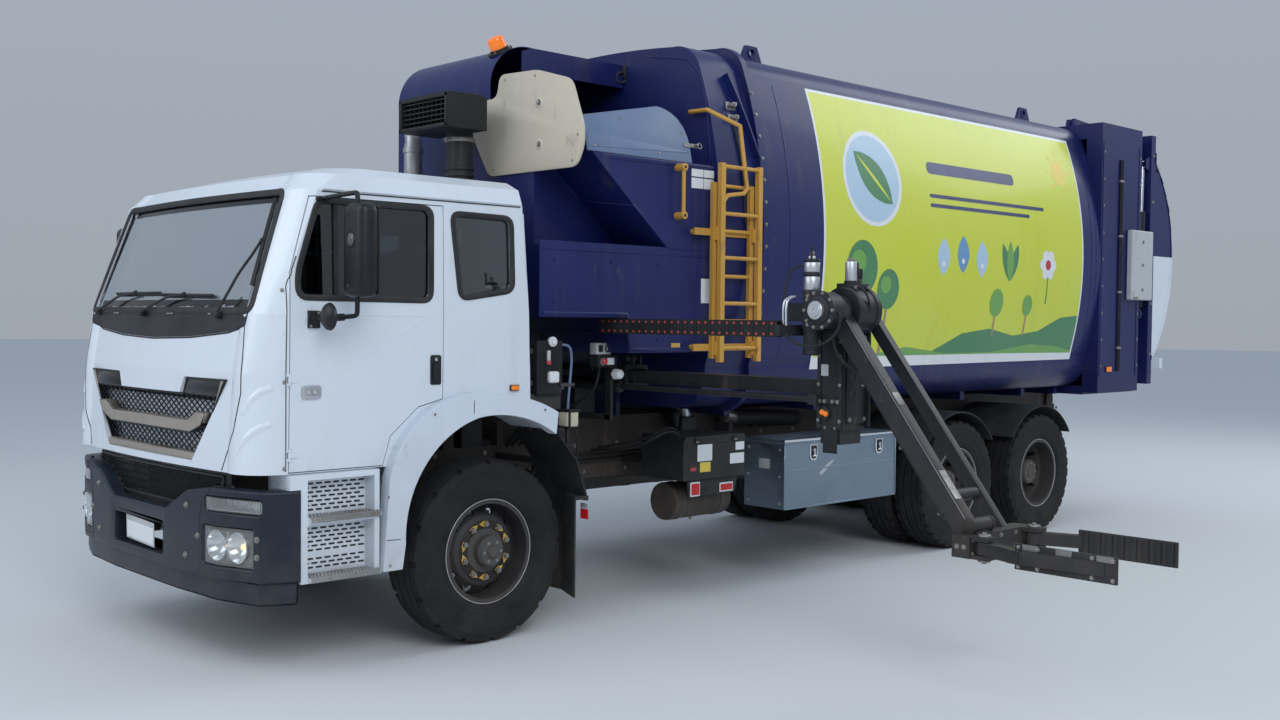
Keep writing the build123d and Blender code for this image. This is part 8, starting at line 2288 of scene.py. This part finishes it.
    def chassis(self):
        """Filters, pipes, air lines, bolts and shock absorbers along the chassis rails."""
        bm = bmesh.new()
        add_rod(bm, (-2.256, 0.5, 1.15), (-2.256, 0.5, 1.3), 0.052, 28, 0.006, 1)
        add_rod(bm, (-2.256, 0.5, 1.298), (-2.256, 0.5, 1.33), 0.06, 28, 0.006, 0)
        add_block(bm, (-2.33, RAIL_FACE, 0.98), (-2.18, 0.56, 1.15), 0.008, 2, 0)
        add_rod(bm, (-2.14, 0.52, 1.08), (-2.14, 0.52, 1.19), 0.036, 24, 0.005, 4)
        add_rod(bm, (-2.62, 0.56, 1.15), (-2.74, 0.54, 1.125), 0.05, 30, 0.004, 2)
        add_rod(bm, (-2.735, 0.541, 1.126), (-3.6, 0.43, 1.075), 0.056, 30, 0.004, 3)
        add_block(bm, (-3.1, 0.4, 1.03), (-3.04, 0.47, 1.12), 0.004, 1, 0)
        add_block(bm, (-2.7, RAIL_FACE, 0.99), (-2.66, 0.58, 1.1), 0.004, 1, 0)
        for s in (1, -1):
            for k in range(24):
                x = 1.0 - 0.38 * k
                add_bolts(bm, [(x, s * 0.4302, 0.99), (x - 0.08, s * 0.4302, 0.81)], (0, s, 0), 0.011,
                          0.009, 5)
            for dz, radius in ((0.0, 0.009), (0.028, 0.007), (-0.03, 0.011)):
                line = [(-0.9 - 0.8 * k, s * (0.443 + 0.004 * (k % 2)),
                         0.905 + dz + 0.008 * math.sin(k * 1.7)) for k in range(9)]
                add_hose(bm, line, radius, 8, 6, 3)
            low, high = Vector((-0.36, s * 0.55, 0.55)), Vector((-0.3, s * 0.47, 0.94))
            add_rod(bm, low, low.lerp(high, 0.6), 0.03, 24, 0.004, 7)
            add_rod(bm, low.lerp(high, 0.45), high, 0.036, 24, 0.004, 4)
            for spot in (low, high):
                add_rod(bm, spot - Vector((0, 0.03, 0)), spot + Vector((0, 0.03, 0)), 0.024, 18, 0.004, 0)
        new_piece("chassis_fittings", bm,
                  ("cast_dark", "lamp_silver", "bar_beige", "rim_steel", "mirror_black", "bolt_steel",
                   "flap_rubber", "cover_grey"), "truck", sharp=38)


# Stacks behind the cab

class GARBAGETRUCK_OT_stacks(bpy.types.Operator):
    """Air intake with its clamp band, steel sleeve and louvres, and the exhaust with its clamp"""
    bl_idname = "garbage_truck.stacks"
    bl_label = "Intake and exhaust"

    def execute(self, context):
        dressed("air_intake", "trim_black", 0.014, 3)
        dressed("exhaust_stack", "exhaust_steel", 0.004, 2)
        bm = bmesh.new()
        centre = (-0.42, 0.28, 0)
        sleeve = [(0.0855, 2.3), (0.0895, 2.302), (0.0895, 2.6), (0.0855, 2.602)]
        add_turned(bm, sleeve, centre, (0, 0, 1), 56, 1, closed=True)
        for z, height, radius, index in (
                (2.604, 0.05, 0.0985, 0), (2.7, 0.02, 0.0925, 0), (2.74, 0.02, 0.0925, 0),
                (2.78, 0.02, 0.0925, 0), (2.96, 0.03, 0.0965, 2), (2.655, 0.018, 0.093, 2)):
            ring = [(0.0845, z), (radius - 0.003, z), (radius, z + 0.004), (radius, z + height - 0.004),
                    (radius - 0.003, z + height), (0.0845, z + height)]
            add_turned(bm, ring, centre, (0, 0, 1), 56, index, closed=True)
        add_block(bm, (-0.335, 0.265, 2.964), (-0.31, 0.295, 2.986), 0.003, 1, 2)
        add_rod(bm, (-0.322, 0.245, 2.975), (-0.322, 0.315, 2.975), 0.005, 8, 0.001, 2)
        add_block(bm, (-0.1705, -0.026, 3.205), (-0.1645, 0.496, 3.226), 0.004, 2, 0)
        add_block(bm, (-0.1705, -0.026, 3.024), (-0.1645, 0.496, 3.045), 0.004, 2, 0)
        for y in (-0.026, 0.473):
            add_block(bm, (-0.1705, y, 3.024), (-0.1645, y + 0.023, 3.226), 0.004, 2, 0)
        for k in range(10):
            y = 0.02 + 0.048 * k
            add_block(bm, (-0.236, y - 0.002, 3.048), (-0.186, y + 0.002, 3.202), 0.001, 1, 0)
        add_block(bm, (-0.292, 0.003, 3.048), (-0.286, 0.467, 3.202), 0.001, 1, 3)
        add_outline(bm,
                    rounded_corners(oblong(-0.46, -0.02, -0.18, 0.49), 0.03),
                    "plan", 3.2295, 3.2395, 0.004, 0)
        stack = (-0.43, -0.26, 0)
        for z, radius in ((2.1, 0.066), (2.55, 0.066), (2.94, 0.067)):
            ring = [(0.0595, z), (radius, z + 0.002), (radius, z + 0.032), (0.0595, z + 0.034)]
            add_turned(bm, ring, stack, (0, 0, 1), 44, 4, closed=True)
        end = Vector((-0.5, -0.34, 3.14))
        way = Vector((-0.053, -0.062, 0.045)).normalized()
        ring = [(0.047, -0.02), (0.0565, -0.02), (0.0575, 0.0), (0.0575, 0.006), (0.047, 0.006)]
        add_turned(bm, ring, end, way, 40, 4, closed=True)
        add_rod(bm, end - way * 0.004, end + way * 0.0012, 0.0475, 32, 0.0, 3)
        new_piece("stack_fittings", bm,
                  ("trim_black", "sleeve_steel", "bolt_steel", "seam_dark_and_hole_shade", "exhaust_steel"), "truck",
                  sharp=38)
        return {"FINISHED"}


# Mesh in the lower grille

class GARBAGETRUCK_OT_lower_grille(bpy.types.Operator):
    """Diamond mesh in front of the lower grille's slats, with its rim"""
    bl_idname = "garbage_truck.lower_grille"
    bl_label = "Lower grille"

    def execute(self, context):
        bm = bmesh.new()
        corners = ((1.4535, 0.4), (1.4155, 0.82), (1.4045, 0.85))

        def depth(y):
            """How far forwards the sheet's face is at a distance from the middle."""
            reach = abs(y)
            for (x0, y0), (x1, y1) in zip(corners, corners[1:]):
                if reach <= y1:
                    return x0 + (x1 - x0) * max(0.0, reach - y0) / (y1 - y0)
            return corners[-1][0]

        def half_at(z):
            """Half the width of the opening at a height."""
            for (y0, z0), (y1, z1) in (((0.395, 0.845), (0.605, 0.94)), ((0.605, 0.94), (0.8, 0.975))):
                if z <= z1:
                    return y0 + (y1 - y0) * (z - z0) / (z1 - z0)
            return 0.8

        bar = sizes().mesh_bar
        pitch, slope = 0.029, 0.62
        low, high = 0.85, 1.0195
        count = 6
        for way in (1, -1):
            for i in range(-36, 37):
                line = []
                for k in range(count + 1):
                    z = low + (high - low) * k / count
                    line.append((i * pitch + way * (z - low) / slope, z))
                inside = [(y, z) for y, z in line if abs(y) <= half_at(z)]
                if len(inside) < 2:
                    continue
                for (y0, z0), (y1, z1) in zip(inside, inside[1:]):
                    x0, x1 = depth(y0) + 0.002 * way, depth(y1) + 0.002 * way
                    add_rod(bm, (x0, y0, z0), (x1, y1, z1), bar / 2, 5, 0.0, 0)
        edge = [(0.395, 0.845), (0.605, 0.94), (0.8, 0.975), (0.8, 1.022)]
        outline = [*edge, *[(-y, z) for y, z in reversed(edge)]]
        spots = [(Vector((depth(y) - 0.002, y, z)), Vector((1, 0, 0))) for a,
                 b in zip(outline, outline[1:] + outline[:1]) for y,
                 z in ((a[0] + (b[0] - a[0]) * t / 6, a[1] + (b[1] - a[1]) * t / 6) for t in range(6))]
        add_band(bm, spots, 0.016, 0.008, 0, closed=True)
        new_piece("lower_grille_mesh", bm, ("mirror_black",), body_of("grille"), sharp=38)
        return {"FINISHED"}


# Inside the cab

def add_cushion(bm, low, high, crown, index=0, tilt=0.0, channels=3):
    """Crowned cushion: its sides pull in between the corners, with sewn channels across."""
    part = bmesh.new()
    size = [abs(b - a) for a, b in zip(low, high)]
    bmesh.ops.create_cube(part, size=1.0, matrix=Matrix.Diagonal((*size, 1)))
    bmesh.ops.subdivide_edges(part, edges=part.edges[:], cuts=13, use_grid_fill=True)
    half = [s / 2 for s in size]
    thin = min(range(3), key=lambda k: size[k])
    flat = [k for k in range(3) if k != thin]
    for vert in part.verts:
        share = [vert.co[k] / half[k] for k in range(3)]
        fall = max(0.0, (1 - share[flat[0]] ** 2) * (1 - share[flat[1]] ** 2))
        swell = 1 - crown + crown * fall ** 0.5
        vert.co[thin] *= swell
        for k in flat:
            other = flat[1] if k == flat[0] else flat[0]
            vert.co[k] *= 1 - 0.035 * (1 - share[other] ** 2)
            vert.co[k] *= 1 - 0.06 * abs(share[thin]) ** 3
        groove = math.cos(math.pi * channels * (share[flat[1]] + 1))
        if abs(share[flat[0]]) < 0.72:
            vert.co[thin] *= 1 - 0.035 * max(0.0, groove) ** 6
    bmesh.ops.smooth_vert(part, verts=part.verts, factor=0.5, use_axis_x=True, use_axis_y=True,
                          use_axis_z=True)
    middle = Matrix.Translation((Vector(low) + Vector(high)) / 2) @ Matrix.Rotation(tilt, 4, "Y")
    merge(bm, part, index, middle)


class GARBAGETRUCK_OT_interior(bpy.types.Operator):
    """Dashboard, steering wheel, levers and two padded seats with belts"""
    bl_idname = "garbage_truck.interior"
    bl_label = "Inside the cab"

    def execute(self, context):
        self.dash()
        self.seats()
        return {"FINISHED"}

    def dash(self):
        """Rounded dashboard with vents and dials, column, wheel and pedestal."""
        bm = bmesh.new()
        add_outline(bm,
                    rounded_corners([(1.02, 1.545), (1.3, 1.545), (1.345, 1.7), (1.3, 1.812), (1.16, 1.832),
                                     (1.035, 1.8), (1.02, 1.7)], 0.03), "side", -1.01, 1.01, 0.01, 0)
        add_outline(bm, rounded_corners([(1.0, 1.7), (1.06, 1.7), (1.12, 1.838), (1.05, 1.838)], 0.015),
                    "side", 0.36, 0.78, 0.008, 0)
        for y in (0.46, 0.57, 0.68):
            add_turned(bm, [(0.04, 0.0), (0.046, 0.002), (0.046, 0.008), (0.04, 0.01)], (1.0, y, 1.765),
                       (-1, 0, 0), 28, 1, closed=True)
            add_rod(bm, (1.005, y, 1.765), (0.997, y, 1.765), 0.04, 28, 0.0, 2)
        for y in (-0.85, -0.3, 0.05, 0.9):
            add_block(bm, (1.012, y - 0.06, 1.735), (1.022, y + 0.06, 1.785), 0.006, 2, 2)
            for k in range(4):
                add_block(bm, (1.008, y - 0.055, 1.741 + 0.011 * k), (1.014, y + 0.055, 1.744 + 0.011 * k),
                          0.001, 1, 1)
        add_block(bm, (0.45, -0.22, 1.4005), (1.1, 0.22, 1.5), 0.03, 3, 0)
        add_rod(bm, (0.72, 0.14, 1.49), (0.7, 0.15, 1.66), 0.009, 12, 0.002, 1)
        add_turned(bm, [(0.0, 0.05), (0.018, 0.045), (0.024, 0.025), (0.016, 0.0), (0.0, 0.0)],
                   (0.7, 0.15, 1.65), (0, 0, 1), 24, 0)
        add_rod(bm, (1.02, 0.56, 1.7), (0.848, 0.56, 1.882), 0.03, 24, 0.006, 0)
        centre, way = Vector((0.835, 0.56, 1.895)), Vector((-0.18, 0, 0.19)).normalized()
        add_torus(bm, centre, way, 0.215, 0.0155, 64, 14, 3)
        add_turned(bm, [(0.0, 0.02), (0.04, 0.016), (0.052, 0.004), (0.05, -0.014), (0.0, -0.016)], centre,
                   way, 32, 0)
        tilt = facing(way)
        for angle in (0.35, math.pi - 0.35, -math.pi / 2):
            tip = centre + tilt.to_3x3() @ Vector((0.205 * math.cos(angle), 0.205 * math.sin(angle), 0))
            add_rod(bm, centre, tip, 0.013, 10, 0.002, 0)
        for s in (1, -1):
            add_hose(bm,
                     [(0.93, 0.56, 1.805), (0.93, 0.56 + s * 0.06, 1.83), (0.92, 0.56 + s * 0.15, 1.86)],
                     0.007, 8, 0, 3)
        new_piece("dashboard", bm, ("dash_grey", "trim_black", "frit_black", "screen_rubber"), "truck",
                  ("cab_interior",), sharp=42)

    def seats(self):
        """Seat cushions and backs with headrests, on bases with belts."""
        cushions = bmesh.new()
        frames = bmesh.new()
        for y in (0.56, -0.56):
            add_cushion(cushions, (0.135, y - 0.245, 1.64), (0.635, y + 0.245, 1.795), 0.3, 0)
            add_cushion(cushions, (0.03, y - 0.235, 1.815), (0.155, y + 0.235, 2.26), 0.34, 0)
            add_cushion(cushions, (0.04, y - 0.125, 2.275), (0.145, y + 0.125, 2.395), 0.4, 0)
            add_block(frames, (0.16, y - 0.215, 1.56), (0.61, y + 0.215, 1.65), 0.015, 2, 0)
            add_block(frames, (0.2, y - 0.17, 1.4006), (0.57, y + 0.17, 1.565), 0.02, 2, 0)
            for dy in (-0.05, 0.05):
                add_rod(frames, (0.092, y + dy, 2.245), (0.092, y + dy, 2.3), 0.006, 10, 0.0, 1)
            side = 1 if y > 0 else -1
            belt = [(0.158, y + side * 0.2, 2.2), (0.175, y + side * 0.1, 2.05),
                    (0.18, y - side * 0.05, 1.88)]
            for a, b in zip(belt, belt[1:]):
                low, high = Vector(a), Vector(b)
                add_hose(frames, [low, low.lerp(high, 0.5), high], 0.011, 8, 2, 3)
            for dy in (-0.235, 0.235):
                add_outline(frames,
                            rounded_corners([(0.1, 1.69), (0.2, 1.69), (0.2, 1.8), (0.1, 1.84)], 0.02),
                            "side", y + dy - 0.006, y + dy + 0.006, 0.003, 0)
        seat = new_piece("seat_cushions", cushions, ("seat_cloth",), "truck", sharp=180)
        new_piece("seat_frames", frames, ("trim_black", "chrome", "seat_belt"), "truck",
                  sharp=40)


PIECE_OPERATORS = [GARBAGETRUCK_OT_finishes, GARBAGETRUCK_OT_frame_finishes, GARBAGETRUCK_OT_studio,
                   GARBAGETRUCK_OT_tyres, GARBAGETRUCK_OT_hubs, GARBAGETRUCK_OT_cab_panels,
                   GARBAGETRUCK_OT_glazing, GARBAGETRUCK_OT_door_trim, GARBAGETRUCK_OT_grille_trim,
                   GARBAGETRUCK_OT_bumper_trim, GARBAGETRUCK_OT_mirrors, GARBAGETRUCK_OT_steps,
                   GARBAGETRUCK_OT_banner, GARBAGETRUCK_OT_body_trim, GARBAGETRUCK_OT_lifter,
                   GARBAGETRUCK_OT_rear, GARBAGETRUCK_OT_underbody, GARBAGETRUCK_OT_stacks,
                   GARBAGETRUCK_OT_lower_grille, GARBAGETRUCK_OT_interior,]


class GARBAGETRUCK_PT_panel(bpy.types.Panel):
    """Lists the truck's sizes, colours and pieces"""
    bl_label = "Garbage truck"
    bl_idname = "GARBAGETRUCK_PT_panel"
    bl_space_type = "VIEW_3D"
    bl_region_type = "UI"
    bl_category = "Garbage truck"

    def draw(self, context):
        for holder in (colours(), sizes()):
            box = self.layout.box()
            for name in holder.__annotations__:
                box.prop(holder, name)
        for operator in PIECE_OPERATORS:
            self.layout.operator(operator.bl_idname)


CLASSES = [TruckColours, TruckSizes, *PIECE_OPERATORS, GARBAGETRUCK_PT_panel]


def register():
    for item in CLASSES:
        bpy.utils.register_class(item)
    bpy.types.Scene.truck_colours = bpy.props.PointerProperty(type=TruckColours)
    bpy.types.Scene.truck_sizes = bpy.props.PointerProperty(type=TruckSizes)


def unregister():
    del bpy.types.Scene.truck_sizes
    del bpy.types.Scene.truck_colours
    for item in reversed(CLASSES):
        bpy.utils.unregister_class(item)


def main():
    """Registers the add-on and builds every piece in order."""
    register()
    for operator in PIECE_OPERATORS:
        family, name = operator.bl_idname.split(".")
        getattr(getattr(bpy.ops, family), name)()


if __name__ == "__main__":
    main()
